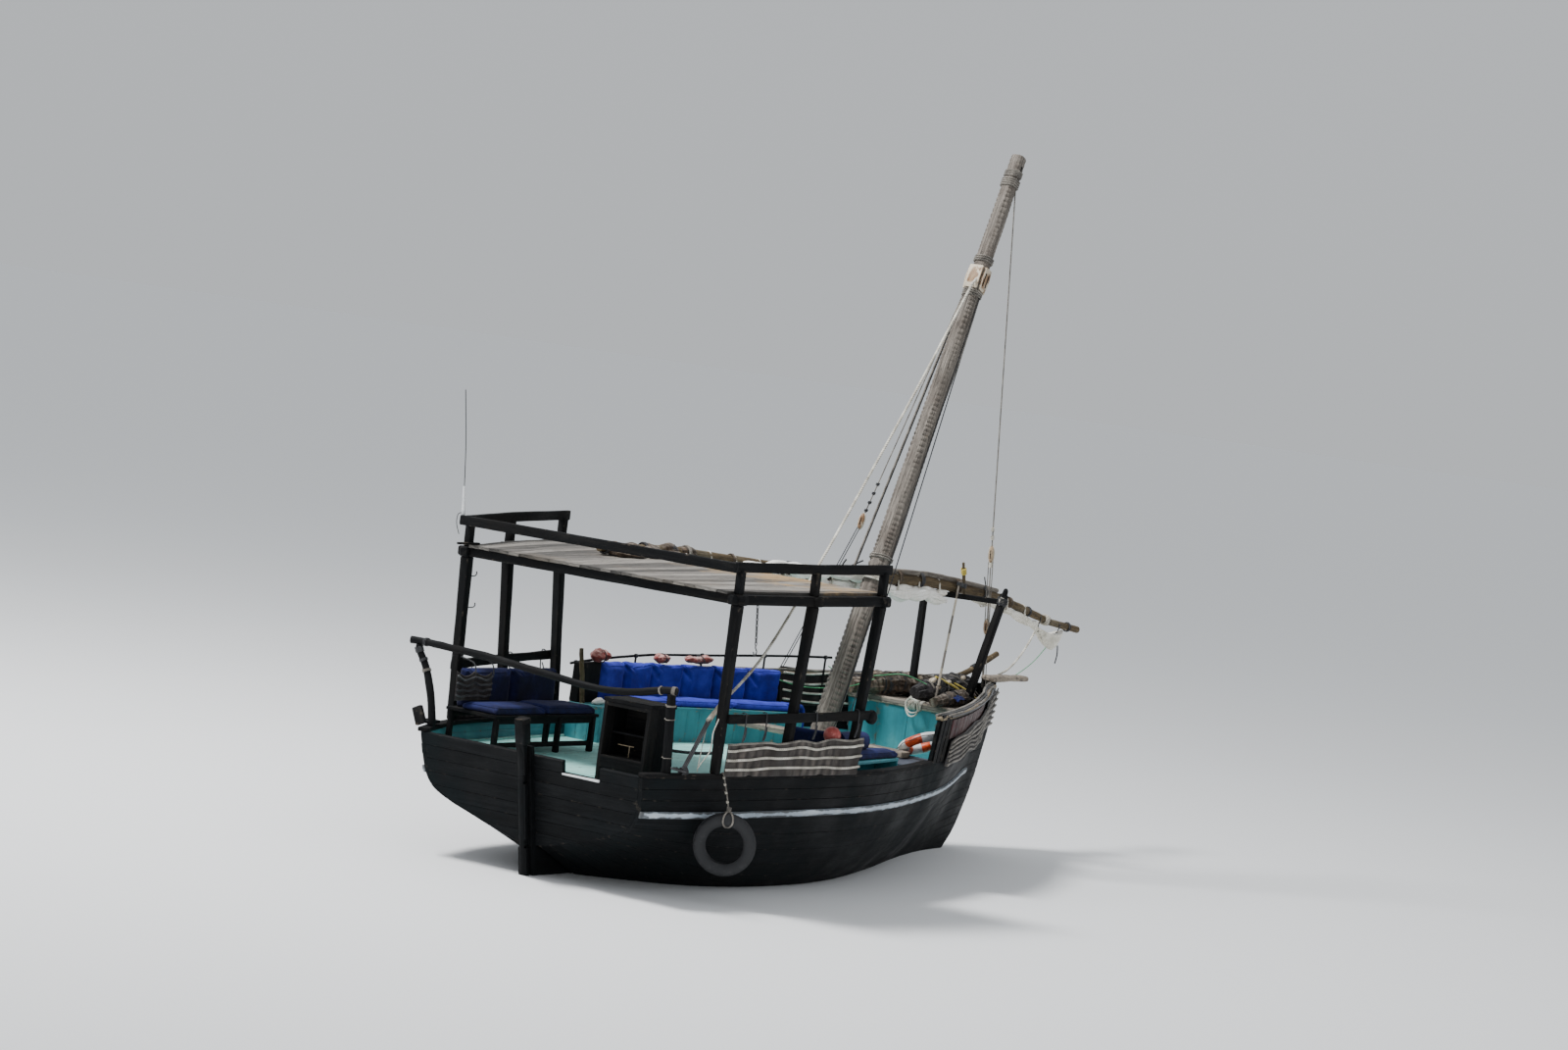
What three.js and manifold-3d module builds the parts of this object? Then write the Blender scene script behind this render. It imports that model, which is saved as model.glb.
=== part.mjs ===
// Dhow sailing boat: a planked, transom-sterned lateen boat with a deck, a raised bow,
// a roofed seating area aft, a forward-raked mast and a lowered yard with its furled sail.
// Millimetres. +X is forward, +Y is to port, +Z is up. The origin is on the centreline,
// at the waterline, where the aft edge of the rudder meets the water.
import * as THREE from 'three';
import { mergeVertices } from 'three/addons/utils/BufferGeometryUtils.js';
import Module from 'manifold-3d';

const wasm = await Module();
wasm.setup();

// Driving dimensions.
const seat = 0.3; // gap between timbers that rest on each other
const plankThick = 45;
const postHalf = 55; // half the width of keel, stem and sternpost
const sternRake = 0.249; // the stern leans aft by this much for each unit of height
const transomFoot = 155; // where the transom's plane meets the waterline level
const deckTop = 1070;
const deckThick = 35;
const foredeckTop = 1700;
const foredeckThick = 35;
const foredeckAft = 7200;
const bulwarkAft = 4950; // where the raised bow bulwark begins
const gunwaleThick = 45;
const canopyRake = THREE.MathUtils.degToRad(1.81); // the roof climbs towards the bow
const roofUnderside = 2957;
const beamDepth = 100;
const beamWide = 90;
const roofPlankThick = 28;
const upperRailTop = 3379;
const upperRailDeep = 100;
const upperRailThick = 45;
const mastFoot = new THREE.Vector3(5215, 0, deckTop);
const mastHead = new THREE.Vector3(7960, 0, 8010);
const mastFootHalf = 120;
const mastHeadHalf = 80;

const colours = {
  white: 0xe8e8e4, tar: 0x1c1a18, timber: 0x8c8274, deckPaint: 0x8fc7c9, teal: 0x3c8f8f, cushion: 0x1d2f7a,
  rope: 0xcfc8b8, sail: 0xe6e4dc, mat: 0x77726a, rubber: 0x222224, stripe: 0xb9c6d2,
  blackRope: 0x2a2a2c, yard: 0x6d5138,
};

const boat = new THREE.Group();
const canopy = new THREE.Group();
canopy.rotation.y = -canopyRake;
boat.add(canopy);

function add(name, geometry, colour, parent = boat, roughness = 0.8) {
  const material = new THREE.MeshStandardMaterial({ color: colour, roughness, metalness: 0 });
  const piece = new THREE.Mesh(geometry, material);
  piece.name = name;
  parent.add(piece);
  return piece;
}

// A closed geometry from points and triangles, turned so that its faces point out.
function closedGeometry(points, faces) {
  let volume = 0;
  for (const [a, b, c] of faces) {
    volume += points[a].dot(new THREE.Vector3().crossVectors(points[b], points[c]));
  }
  const ordered = volume < 0 ? faces.map(([a, b, c]) => [a, c, b]) : faces;
  const geometry = new THREE.BufferGeometry();
  geometry.setAttribute('position', new THREE.Float32BufferAttribute(points.flatMap((p) => [p.x, p.y, p.z]), 3));
  geometry.setIndex(ordered.flat());
  return geometry;
}

// A thick sheet between two grids of points with the same rows and columns.
function slab(outer, inner) {
  const rows = outer.length;
  const cols = outer[0].length;
  const points = [...outer.flat(), ...inner.flat()];
  const half = rows * cols;
  const at = (side, i, j) => side * half + i * cols + j;
  const faces = [];
  const quad = (a, b, c, d) => faces.push([a, b, c], [a, c, d]);
  for (let i = 0; i < rows - 1; i += 1) {
    for (let j = 0; j < cols - 1; j += 1) {
      quad(at(0, i, j), at(0, i, j + 1), at(0, i + 1, j + 1), at(0, i + 1, j));
      faces.push([at(1, i, j), at(1, i + 1, j + 1), at(1, i, j + 1)]);
      faces.push([at(1, i, j), at(1, i + 1, j), at(1, i + 1, j + 1)]);
    }
  }
  for (let i = 0; i < rows - 1; i += 1) {
    quad(at(0, i + 1, 0), at(1, i + 1, 0), at(1, i, 0), at(0, i, 0));
    quad(at(0, i + 1, cols - 1), at(0, i, cols - 1), at(1, i, cols - 1), at(1, i + 1, cols - 1));
  }
  for (let j = 0; j < cols - 1; j += 1) {
    quad(at(0, 0, j + 1), at(0, 0, j), at(1, 0, j), at(1, 0, j + 1));
    quad(at(0, rows - 1, j), at(0, rows - 1, j + 1), at(1, rows - 1, j + 1), at(1, rows - 1, j));
  }
  return closedGeometry(points, faces);
}

// A bar whose rings of points follow one another, closed by a fan at each end.
function rings(list) {
  const sides = list[0].length;
  const points = list.flat();
  const faces = [];
  for (let i = 0; i < list.length - 1; i += 1) {
    for (let j = 0; j < sides; j += 1) {
      const a = i * sides + j;
      const b = i * sides + ((j + 1) % sides);
      faces.push([a, b, b + sides], [a, b + sides, a + sides]);
    }
  }
  const last = (list.length - 1) * sides;
  for (let j = 1; j < sides - 1; j += 1) {
    faces.push([0, j + 1, j], [last, last + j, last + j + 1]);
  }
  return closedGeometry(points, faces);
}

// A round bar through the given [x, y, z, radius] stations.
function rod(stations, sides = 10) {
  const centres = stations.map(([x, y, z]) => new THREE.Vector3(x, y, z));
  return rings(centres.map((centre, i) => {
    const ahead = centres[Math.min(i + 1, centres.length - 1)];
    const behind = centres[Math.max(i - 1, 0)];
    const along = ahead.clone().sub(behind).normalize();
    return ringAround(centre, along, stations[i][3], sides);
  }));
}

// The ring of points of a round section that faces along a direction.
function ringAround(centre, along, radius, sides) {
  const helper = Math.abs(along.z) > 0.9 ? new THREE.Vector3(1, 0, 0) : new THREE.Vector3(0, 0, 1);
  const side = new THREE.Vector3().crossVectors(helper, along).normalize();
  const over = new THREE.Vector3().crossVectors(along, side);
  return Array.from({ length: sides }, (_, k) => {
    const angle = (2 * Math.PI * (k + 0.5)) / sides;
    return centre.clone()
      .addScaledVector(side, radius * Math.cos(angle))
      .addScaledVector(over, radius * Math.sin(angle));
  });
}

// A rope laid in a closed flat loop through the given points, whose plane has this normal.
function loopRope(points, normal, radius, sides = 8) {
  const count = points.length;
  const all = [];
  points.forEach((p, i) => {
    const along = points[(i + 1) % count].clone().sub(points[(i + count - 1) % count]).normalize();
    const out = new THREE.Vector3().crossVectors(along, normal).normalize();
    for (let k = 0; k < sides; k += 1) {
      const angle = (2 * Math.PI * k) / sides;
      all.push(p.clone().addScaledVector(out, radius * Math.cos(angle)).addScaledVector(normal, radius * Math.sin(angle)));
    }
  });
  const faces = [];
  for (let i = 0; i < count; i += 1) {
    for (let k = 0; k < sides; k += 1) {
      const a = i * sides + k;
      const b = i * sides + ((k + 1) % sides);
      const c = ((i + 1) % count) * sides + ((k + 1) % sides);
      const d = ((i + 1) % count) * sides + k;
      faces.push([a, b, c], [a, c, d]);
    }
  }
  return closedGeometry(all, faces);
}

// A straight squared bar between two points, wide across Y and deep across the other way.
function bar(from, to, wide, deep) {
  const along = to.clone().sub(from).normalize();
  const helper = Math.abs(along.y) > 0.7 ? new THREE.Vector3(0, 0, 1) : new THREE.Vector3(0, 1, 0);
  const over = new THREE.Vector3().crossVectors(along, helper).normalize();
  const side = new THREE.Vector3().crossVectors(over, along).normalize();
  const corner = (centre, a, b) => centre.clone()
    .addScaledVector(side, (a * wide) / 2).addScaledVector(over, (b * deep) / 2);
  return rings([from, to].map((p) => [corner(p, -1, -1), corner(p, 1, -1), corner(p, 1, 1), corner(p, -1, 1)]));
}

function block(x0, x1, y0, y1, z0, z1) {
  const geometry = new THREE.BoxGeometry(x1 - x0, y1 - y0, z1 - z0);
  geometry.translate((x0 + x1) / 2, (y0 + y1) / 2, (z0 + z1) / 2);
  return geometry;
}

// A plate of one thickness across Y, cut to an outline in the X-Z plane.
function plate(outline, y0, y1) {
  const shape = new THREE.Shape(outline.map(([x, z]) => new THREE.Vector2(x, z)));
  const geometry = new THREE.ExtrudeGeometry(shape, { depth: y1 - y0, bevelEnabled: false, curveSegments: 8 });
  geometry.rotateX(Math.PI / 2);
  geometry.translate(0, y1, 0);
  return geometry;
}

function solid(geometry) {
  const bare = geometry.clone();
  bare.deleteAttribute('normal');
  bare.deleteAttribute('uv');
  const merged = mergeVertices(bare, 1e-3);
  return new wasm.Manifold(new wasm.Mesh({
    numProp: 3,
    vertProperties: new Float32Array(merged.attributes.position.array),
    triVerts: new Uint32Array(merged.index.array),
  }));
}

function geometryOf(manifold) {
  const mesh = manifold.getMesh();
  const geometry = new THREE.BufferGeometry();
  geometry.setAttribute('position', new THREE.Float32BufferAttribute(mesh.vertProperties, 3));
  geometry.setIndex([...mesh.triVerts]);
  return geometry;
}

const joined = (...parts) => geometryOf(parts.map(solid).reduce((a, b) => a.add(b)));
const cut = (body, ...tools) => geometryOf(tools.map(solid).reduce((a, b) => a.subtract(b), solid(body)));

// The hull's lines. Each row is one station, named by where it meets the sheer.
// x: station; keelZ: rabbet height; bilgeY, bilgeZ: the corner that the section bends round;
// full: how closely it follows that corner; sheerY, sheerZ: half-breadth and height at the sheer.
const stationColumns = ['x', 'keelZ', 'bilgeY', 'bilgeZ', 'full', 'sheerY', 'sheerZ'];
const stationTable = [
  [-160, 300, 1340, 640, 3.6, 1365, 1265],
  [650, -60, 1500, 420, 2.5, 1640, 1285],
  [1450, -290, 1560, 150, 2.0, 1750, 1295],
  [2300, -400, 1600, 0, 1.8, 1850, 1300],
  [3300, -430, 1600, -60, 1.7, 1900, 1310],
  [4200, -440, 1480, -80, 1.6, 1800, 1325],
  [5050, -440, 1260, -90, 1.4, 1620, 1345],
  [5900, -435, 980, -100, 1.2, 1390, 1375],
  [6700, -420, 680, -90, 1.0, 1090, 1410],
  [7450, -395, 400, -60, 0.9, 750, 1450],
  [8150, -340, 200, 0, 0.9, 390, 1490],
  [8870, -200, 96, 200, 1.0, 97, 1530],
];
const stations = stationTable.map((row) => Object.fromEntries(row.map((v, i) => [stationColumns[i], v])));

// The value of a column at x, on a smooth curve through the table's stations.
function column(name, x) {
  const last = stations.length - 1;
  let i = stations.findIndex((s) => s.x > x) - 1;
  if (i < 0) i = x <= stations[0].x ? 0 : last - 1;
  const slope = (k) => {
    const a = stations[Math.max(k - 1, 0)];
    const b = stations[Math.min(k + 1, last)];
    return (b[name] - a[name]) / (b.x - a.x);
  };
  const here = stations[i];
  const next = stations[i + 1];
  const span = next.x - here.x;
  const t = (x - here.x) / span;
  const t2 = t * t;
  const t3 = t2 * t;
  return (2 * t3 - 3 * t2 + 1) * here[name] + (t3 - 2 * t2 + t) * span * slope(i)
    + (3 * t2 - 2 * t3) * next[name] + (t3 - t2) * span * slope(i + 1);
}

// Where the transom's plane and the stem's rabbet stand at a height.
const transomX = (z) => transomFoot - sternRake * z;
const stemCurve = new THREE.SplineCurve([[7150, -520], [7700, -380], [8060, -180], [8260, 20], [8470, 240],
  [8710, 670], [8860, 1060], [8960, 1400], [9040, 1960]].map(([x, z]) => new THREE.Vector2(x, z)));
const stemLine = stemCurve.getPoints(64);
function stemX(z) {
  const k = stemLine.findIndex((p) => p.y >= z);
  const above = stemLine[Math.max(k, 1)];
  const below = stemLine[Math.max(k, 1) - 1];
  return below.x + ((above.x - below.x) * (z - below.y)) / (above.y - below.y);
}
const hoodEnd = 60; // planks stop this far behind the stem's face

// A point on a station's line at a height: stations lean with the transom aft and with the stem forward.
const sheerLength = stationTable[stationTable.length - 1][0] - stationTable[0][0];
function stationX(x, z) {
  const share = (x - stationTable[0][0]) / sheerLength;
  return transomX(z) + (stemX(z) - hoodEnd - transomX(z)) * share;
}

// The half section at a station: a conic from the keel round the bilge corner to the sheer.
const garboardY = 100;
function sectionPoint(x, t) {
  const full = column('full', x);
  const a = (1 - t) * (1 - t);
  const b = 2 * full * t * (1 - t);
  const c = t * t;
  return new THREE.Vector2(
    (a * garboardY + b * column('bilgeY', x) + c * column('sheerY', x)) / (a + b + c),
    (a * column('keelZ', x) + b * column('bilgeZ', x) + c * column('sheerZ', x)) / (a + b + c),
  );
}
function sectionAtHeight(x, z) {
  let low = 0;
  let high = 1;
  for (let i = 0; i < 40; i += 1) {
    const middle = (low + high) / 2;
    if (sectionPoint(x, middle).y < z) low = middle;
    else high = middle;
  }
  return low;
}

// The rubbing strake's lower edge, and the rows of the planking grid from the keel up.
const strakeDeep = 70;
const strakeZ = (x) => 810 + 0.0115 * (x + 160);
const bilgeRows = 8;
const stationStep = 270;
const stationCount = Math.round(sheerLength / stationStep);
const gridX = Array.from({ length: stationCount + 1 }, (_, i) => stationTable[0][0] + (sheerLength * i) / stationCount);

function hullRow(x) {
  const low = sectionAtHeight(x, strakeZ(x));
  const outer = [];
  const inner = [];
  for (let j = 0; j <= bilgeRows; j += 1) {
    const t = (low * j) / bilgeRows;
    const p = sectionPoint(x, t);
    const q = sectionPoint(x, Math.max(t - 0.005, 0));
    const r = sectionPoint(x, t + 0.005);
    const normal = new THREE.Vector2(q.y - r.y, r.x - q.x).normalize();
    outer.push([p.x, p.y]);
    inner.push([p.x + normal.x * plankThick, p.y + normal.y * plankThick]);
  }
  const planksTop = column('sheerZ', x) - gunwaleThick - seat;
  for (const z of [strakeZ(x) + strakeDeep, deckTop - deckThick, deckTop, planksTop]) {
    const p = sectionPoint(x, sectionAtHeight(x, z));
    outer.push([p.x, z]);
    inner.push([p.x - plankThick, z]);
  }
  inner[bilgeRows] = [outer[bilgeRows][0] - plankThick, outer[bilgeRows][1]];
  const place = ([y, z]) => new THREE.Vector3(stationX(x, z), Math.max(y, postHalf + seat), z);
  return { outer: outer.map(place), inner: inner.map(place) };
}

// The planks' inner half-breadth at a true x and height.
function insideAt(trueX, z) {
  const share = (trueX - transomX(z)) / (stemX(z) - hoodEnd - transomX(z));
  const x = stationTable[0][0] + sheerLength * share;
  return sectionPoint(x, sectionAtHeight(x, z)).x - plankThick;
}

const hullRows = gridX.map(hullRow);
const mirrored = (grid) => grid.map((row) => row.map((p) => new THREE.Vector3(p.x, -p.y, p.z)));
const shifted = (p, dx, dy, dz) => new THREE.Vector3(p.x + dx, p.y + dy, p.z + dz);
const rowOf = { strakeLow: bilgeRows, strakeHigh: bilgeRows + 1, deckLow: bilgeRows + 2, deckHigh: bilgeRows + 3 };
rowOf.sheer = bilgeRows + 4;

// Adds the same sheet to both sides of the boat.
function pair(name, outer, inner, colour) {
  add(`${name}_port`, slab(outer, inner), colour);
  add(`${name}_starboard`, slab(mirrored(outer), mirrored(inner)), colour);
}

pair('hull_planking', hullRows.map((r) => r.outer), hullRows.map((r) => r.inner), colours.tar);

const strakeProud = 28;
const strakeRows = hullRows.slice(0, -2);
pair(
  'rub_strake',
  strakeRows.map((r) => [r.outer[rowOf.strakeLow], r.outer[rowOf.strakeHigh]].map((p) => shifted(p, 0, strakeProud, 0))),
  strakeRows.map((r) => [r.outer[rowOf.strakeLow], r.outer[rowOf.strakeHigh]].map((p) => shifted(p, 0, seat, 0))),
  colours.stripe,
);

// The gunwale caps the planks from the transom to the raised bow.
const capOut = 35;
const capIn = 85;
const gunwaleGrid = gridX.filter((x) => x < bulwarkAft - 60).concat([bulwarkAft - 6]).map((x) => {
  const row = hullRow(x);
  const top = row.outer[rowOf.sheer];
  return { x: top.x, y: top.y, z: top.z + seat };
});
pair(
  'gunwale',
  gunwaleGrid.map((p) => [new THREE.Vector3(p.x, p.y - capIn, p.z), new THREE.Vector3(p.x, p.y + capOut, p.z)]),
  gunwaleGrid.map((p) => [
    new THREE.Vector3(p.x, p.y - capIn, p.z + gunwaleThick), new THREE.Vector3(p.x, p.y + capOut, p.z + gunwaleThick)]),
  colours.tar,
);

// The transom: its edge follows the planks' inner face, with a notch on the starboard side.
const aftRow = hullRows[0].inner;
const transomThick = 50;
const transomOutline = aftRow.slice(1).map((p) => [p.y - seat, p.z]);
const transomTop = transomOutline[transomOutline.length - 1];
transomTop[1] -= seat;
const notch = { from: 400, to: 850, sill: 1100 };
const transomLoop = [
  ...transomOutline,
  ...transomOutline.slice().reverse().map(([y, z]) => [-y, z]),
];
function transomPlate() {
  const shape = new THREE.Shape(transomLoop.map(([y, z]) => new THREE.Vector2(y, z)));
  const geometry = new THREE.ExtrudeGeometry(shape, { depth: transomThick, bevelEnabled: false });
  // Shape X becomes boat Y, shape Y becomes boat Z, and the depth runs forward from the raked plane.
  const position = geometry.attributes.position;
  for (let i = 0; i < position.count; i += 1) {
    const y = position.getX(i);
    const z = position.getY(i);
    position.setXYZ(i, transomX(z) + position.getZ(i), y, z);
  }
  return geometry;
}
add('transom', cut(transomPlate(), block(-400, 400, -notch.to, -notch.from, notch.sill, 1400)), colours.tar);

// The sternpost stands on the transom's after face, and carries the rudder's eyes.
const sternpostDeep = 65;
const sternpostFoot = -550;
const sternpostTop = 1310;
const rudderGap = 8;
const noseRadius = 48; // the rudder's rounded leading edge, centred on its hinge
const axisBack = seat + sternpostDeep + rudderGap + noseRadius;
const axisX = (z) => transomX(z) - axisBack;
const hingeAxis = new THREE.Vector3(-sternRake, 0, 1).normalize();
const pinRadius = 14;
const eyeInner = 15;
const eyeOuter = 30;
const eyeHigh = 60;
const notchRoom = 15;
const eyeHeights = [-330, 330, 980];

// A cylinder along the hinge line, centred at a height.
function onHinge(z, radius, high, sides = 24) {
  const geometry = new THREE.CylinderGeometry(radius, radius, high, sides);
  geometry.applyQuaternion(new THREE.Quaternion().setFromUnitVectors(new THREE.Vector3(0, 1, 0), hingeAxis));
  geometry.translate(axisX(z), 0, z);
  return geometry;
}
// A block whose sides lean with the stern; x is measured from the hinge line, z along it.
function leaning(x0, x1, y0, y1, z, high) {
  const geometry = block(x0, x1, y0, y1, -high / 2, high / 2);
  geometry.applyQuaternion(new THREE.Quaternion().setFromUnitVectors(new THREE.Vector3(0, 0, 1), hingeAxis));
  geometry.translate(axisX(z), 0, z);
  return geometry;
}
const postPlate = plate([
  [transomX(sternpostFoot) - seat, sternpostFoot],
  [transomX(sternpostTop) - seat, sternpostTop],
  [transomX(sternpostTop) - seat - sternpostDeep, sternpostTop],
  [transomX(sternpostFoot) - seat - sternpostDeep, sternpostFoot],
], -postHalf - 5, postHalf + 5);
let post = solid(postPlate);
for (const z of eyeHeights) {
  const arm = solid(leaning(0, noseRadius + rudderGap + 20, -22, 22, z, eyeHigh));
  const eye = solid(onHinge(z, eyeOuter, eyeHigh)).add(arm).subtract(solid(onHinge(z, eyeInner, eyeHigh * 2)));
  post = post.add(eye);
}
add('stern_post', geometryOf(post), colours.tar);

// The rudder: a slim stock that widens into the blade below the water.
const stockBack = 34; // how far the stock reaches behind the hinge
const rudderTop = 1560;
const rudderFoot = -520;
const bladeBack = [[1560, 60], [1290, 48], [1230, stockBack], [-40, stockBack], [-140, 170], [-300, 330],
  [-460, 360], [rudderFoot, 320]];
const stockHalf = noseRadius;
const bladePlate = plate([
  [axisX(rudderFoot), rudderFoot],
  [axisX(rudderTop), rudderTop],
  ...bladeBack.map(([z, back]) => [axisX(z) - back, z]),
], -stockHalf, stockHalf);
const stockHigh = (rudderTop - rudderFoot) * Math.sqrt(1 + sternRake * sternRake);
let rudder = solid(bladePlate).add(solid(onHinge((rudderTop + rudderFoot) / 2, noseRadius, stockHigh - 60)));
for (const z of eyeHeights) {
  const high = eyeHigh + 2 * notchRoom;
  const room = solid(leaning(-eyeOuter - 8, noseRadius + 20, -stockHalf - 5, stockHalf + 5, z, high));
  rudder = rudder.subtract(room);
  rudder = rudder.add(solid(onHinge(z, pinRadius, high + 60)));
}
// A shoulder on each pin rests on its eye and carries the rudder.
const shoulder = notchRoom - seat;
for (const z of eyeHeights) {
  const middle = z + (eyeHigh / 2 + seat + shoulder / 2 + 2) * hingeAxis.z;
  rudder = rudder.add(solid(onHinge(middle, eyeOuter - 4, shoulder + 4 - 2 * seat)));
}
add('rudder', geometryOf(rudder), colours.tar);

// Keel and deadwood below the planks, cut off where the stem begins.
const keelScarf = 7000;
const keelTop = gridX.filter((x) => x > 100 && x < 7300).map((x) => {
  const z = column('keelZ', x);
  return [stationX(x, z), z + 55];
}).filter(([x]) => x > 330 && x < keelScarf - 60);
const keelZAt = (x) => keelTop[keelTop.length - 1][1];
add('keel', plate([
  [transomX(-550), -550],
  [transomX(330), 330],
  ...keelTop,
  [keelScarf, keelZAt(keelScarf)],
  [keelScarf, -520],
], -postHalf, postHalf), colours.tar);

// The stem: outer edge on the stem's curve, inner edge behind the planks' ends.
const stemHead = 1950;
const stemDeep = 175;
const stemOuter = stemLine.filter((p) => p.y > -515 && p.y < stemHead - 5 && p.x > keelScarf + 40).map((p) => [p.x, p.y]);
const stemInnerHeights = [stemHead, 1500, 1000, 500, 100, -120];
add('stem_post', plate([
  [keelScarf + seat, -520],
  ...stemOuter,
  [stemX(stemHead), stemHead],
  ...stemInnerHeights.map((z) => [stemX(z) - stemDeep, z]),
  [7750, -300],
  [7300, keelZAt(7300)],
  [keelScarf + seat, keelZAt(7300)],
], -postHalf, postHalf), colours.tar);

// Main deck: one sheet of planks between the sides, cut round the mast's foot by a small gap.
const deckRows = hullRows.slice(0, -2).map((r, i) => ({
  low: r.inner[rowOf.deckLow], high: r.inner[rowOf.deckHigh], first: i === 0,
}));
const deckStart = transomThick + seat;
const deckEdge = (p, side, first) => new THREE.Vector3(p.x + (first ? deckStart : 0), side * (p.y - seat), p.z);
add('main_deck', slab(
  deckRows.map((r) => [deckEdge(r.high, -1, r.first), deckEdge(r.high, 1, r.first)]),
  deckRows.map((r) => [deckEdge(r.low, -1, r.first), deckEdge(r.low, 1, r.first)]),
), colours.deckPaint);

// Raised bow bulwark: planks that stand on the hull's top strake, from the cut aft end to the stem.
const railAft = 1790;
const railFore = 1900;
const bulwarkThick = 40;
const flare = 0.12; // outward lean of the bulwark for each unit of height
const bulwarkX = [bulwarkAft, ...gridX.filter((x) => x > bulwarkAft + 60)];
const railShare = (x) => (x - bulwarkAft) / (stationTable[stationTable.length - 1][0] - bulwarkAft);
const railZ = (x) => railAft + (railFore - railAft) * railShare(x);
const bulwarkGrid = bulwarkX.map((x) => {
  const base = hullRow(x).outer[rowOf.sheer];
  const heights = [base.z + seat, foredeckTop - foredeckThick, foredeckTop, railZ(x)];
  const lean = flare * (1 - railShare(x) ** 6);
  const outer = heights.map((z) => new THREE.Vector3(stationX(x, z), base.y + lean * (z - base.z), z));
  const inner = outer.map((p) => new THREE.Vector3(p.x, Math.max(p.y - bulwarkThick, postHalf + seat), p.z));
  return { x, outer, inner };
});
pair('bow_bulwark', bulwarkGrid.map((r) => r.outer), bulwarkGrid.map((r) => r.inner), colours.tar);

// Foredeck planks between the bulwarks, the beam across their after end and the bulkhead under it.
const foredeckGrid = bulwarkGrid.filter((r) => r.x > foredeckAft - 60 && r.x < 8500);
const edge = (p, side) => new THREE.Vector3(p.x, side * (p.y - seat), p.z);
add('foredeck', slab(
  foredeckGrid.map((r) => [edge(r.inner[2], -1), edge(r.inner[2], 1)]),
  foredeckGrid.map((r) => [edge(r.inner[1], -1), edge(r.inner[1], 1)]),
), colours.timber);
const foredeckEdgeX = foredeckGrid[0].inner[1].x;
const foredeckHalf = foredeckGrid[0].inner[1].y;
const capDeep = 110;
add('foredeck_beam', block(foredeckEdgeX - capDeep - 12, foredeckEdgeX - 12, -foredeckHalf + 6, foredeckHalf - 6,
  foredeckTop - 70, foredeckTop + 12), colours.timber);
const bulkheadThick = 30;
const bulkheadX = foredeckEdgeX - 12 - capDeep + 20;
const bulkheadTop = foredeckTop - 70 - seat;
const bulkheadHalf = (z) => (z > deckTop ? foredeckHalf - 20 : insideAt(bulkheadX + bulkheadThick, z) - 8);
const bulkheadShape = new THREE.Shape([
  [-bulkheadHalf(deckTop), deckTop + seat], [bulkheadHalf(deckTop), deckTop + seat],
  [bulkheadHalf(bulkheadTop), bulkheadTop], [-bulkheadHalf(bulkheadTop), bulkheadTop],
].map(([y, z]) => new THREE.Vector2(y, z)));
const bulkhead = new THREE.ExtrudeGeometry(bulkheadShape, { depth: bulkheadThick, bevelEnabled: false });
bulkhead.rotateX(Math.PI / 2);
bulkhead.rotateZ(Math.PI / 2);
bulkhead.translate(bulkheadX, 0, 0);
add('foredeck_bulkhead', bulkhead, colours.teal);

// Canopy posts, in the roof's own raked frame: x, half-width of the roof there, and its number.
const postColumns = ['x', 'topY'];
const canopyPosts = [[754, 1667], [1784, 1901], [2895, 2025]]
  .map((row) => Object.fromEntries(row.map((v, i) => [postColumns[i], v])));
const sin = Math.sin(canopyRake);
const cos = Math.cos(canopyRake);
const worldX = (x, z) => x * cos - z * sin;
const gunwaleTopAt = (x) => column('sheerZ', x);
const postWide = 100;
const footWide = 84;
for (const station of canopyPosts) {
  const atX = worldX(station.x, 1300);
  station.footY = column('sheerY', atX) - 22;
  station.footZ = (gunwaleTopAt(atX) + seat + 0.4 - (station.x - footWide / 2) * sin) / cos;
}
canopyPosts.forEach((station, i) => {
  const { x: footX, footY, footZ } = station;
  for (const [sideName, side] of [['port', 1], ['starboard', -1]]) {
    const ring = (z, y, wide) => [[-1, -1], [1, -1], [1, 1], [-1, 1]].map(([a, b]) => (
      new THREE.Vector3(footX + (a * wide) / 2, side * y + (b * wide) / 2, z)));
    add(`canopy_post_${sideName}_${i + 1}`, rings([
      ring(footZ, footY, footWide), ring(roofUnderside - seat, station.topY, postWide),
    ]), colours.tar, canopy);
  }
});

// The roof frame: two long beams over the posts, and a beam across at each pair.
const roofAft = canopyPosts[0].x - 110;
const roofFore = canopyPosts[2].x + 110;
const roofHalfAt = (x) => {
  const [a, b, c] = canopyPosts;
  const [p, q] = x < b.x ? [a, b] : [b, c];
  return p.topY + ((q.topY - p.topY) * (x - p.x)) / (q.x - p.x);
};
const beamTop = roofUnderside + beamDepth;
function longBeam(side, half, y0, z0, z1) {
  const xs = [roofAft, canopyPosts[1].x, roofFore];
  const at = (x, dy, z) => new THREE.Vector3(x, side * (roofHalfAt(x) + y0 + dy), z);
  return rings(xs.map((x) => [at(x, -half, z0), at(x, half, z0), at(x, half, z1), at(x, -half, z1)]));
}
const crossBeams = canopyPosts.map(({ x }) => (
  block(x - beamWide / 2, x + beamWide / 2, -roofHalfAt(x) - 100, roofHalfAt(x) + 100, roofUnderside, beamTop)));
add('roof_frame', joined(
  longBeam(1, beamWide / 2, 0, roofUnderside, beamTop), longBeam(-1, beamWide / 2, 0, roofUnderside, beamTop),
  ...crossBeams,
), colours.tar, canopy);
const plankInset = 55;
const roofOutline = [roofAft + 10, canopyPosts[1].x, roofFore - 10];
const roofEdge = (x, side, z) => new THREE.Vector3(x, side * (roofHalfAt(x) - plankInset), z);
const planksLow = beamTop + seat;
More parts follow.
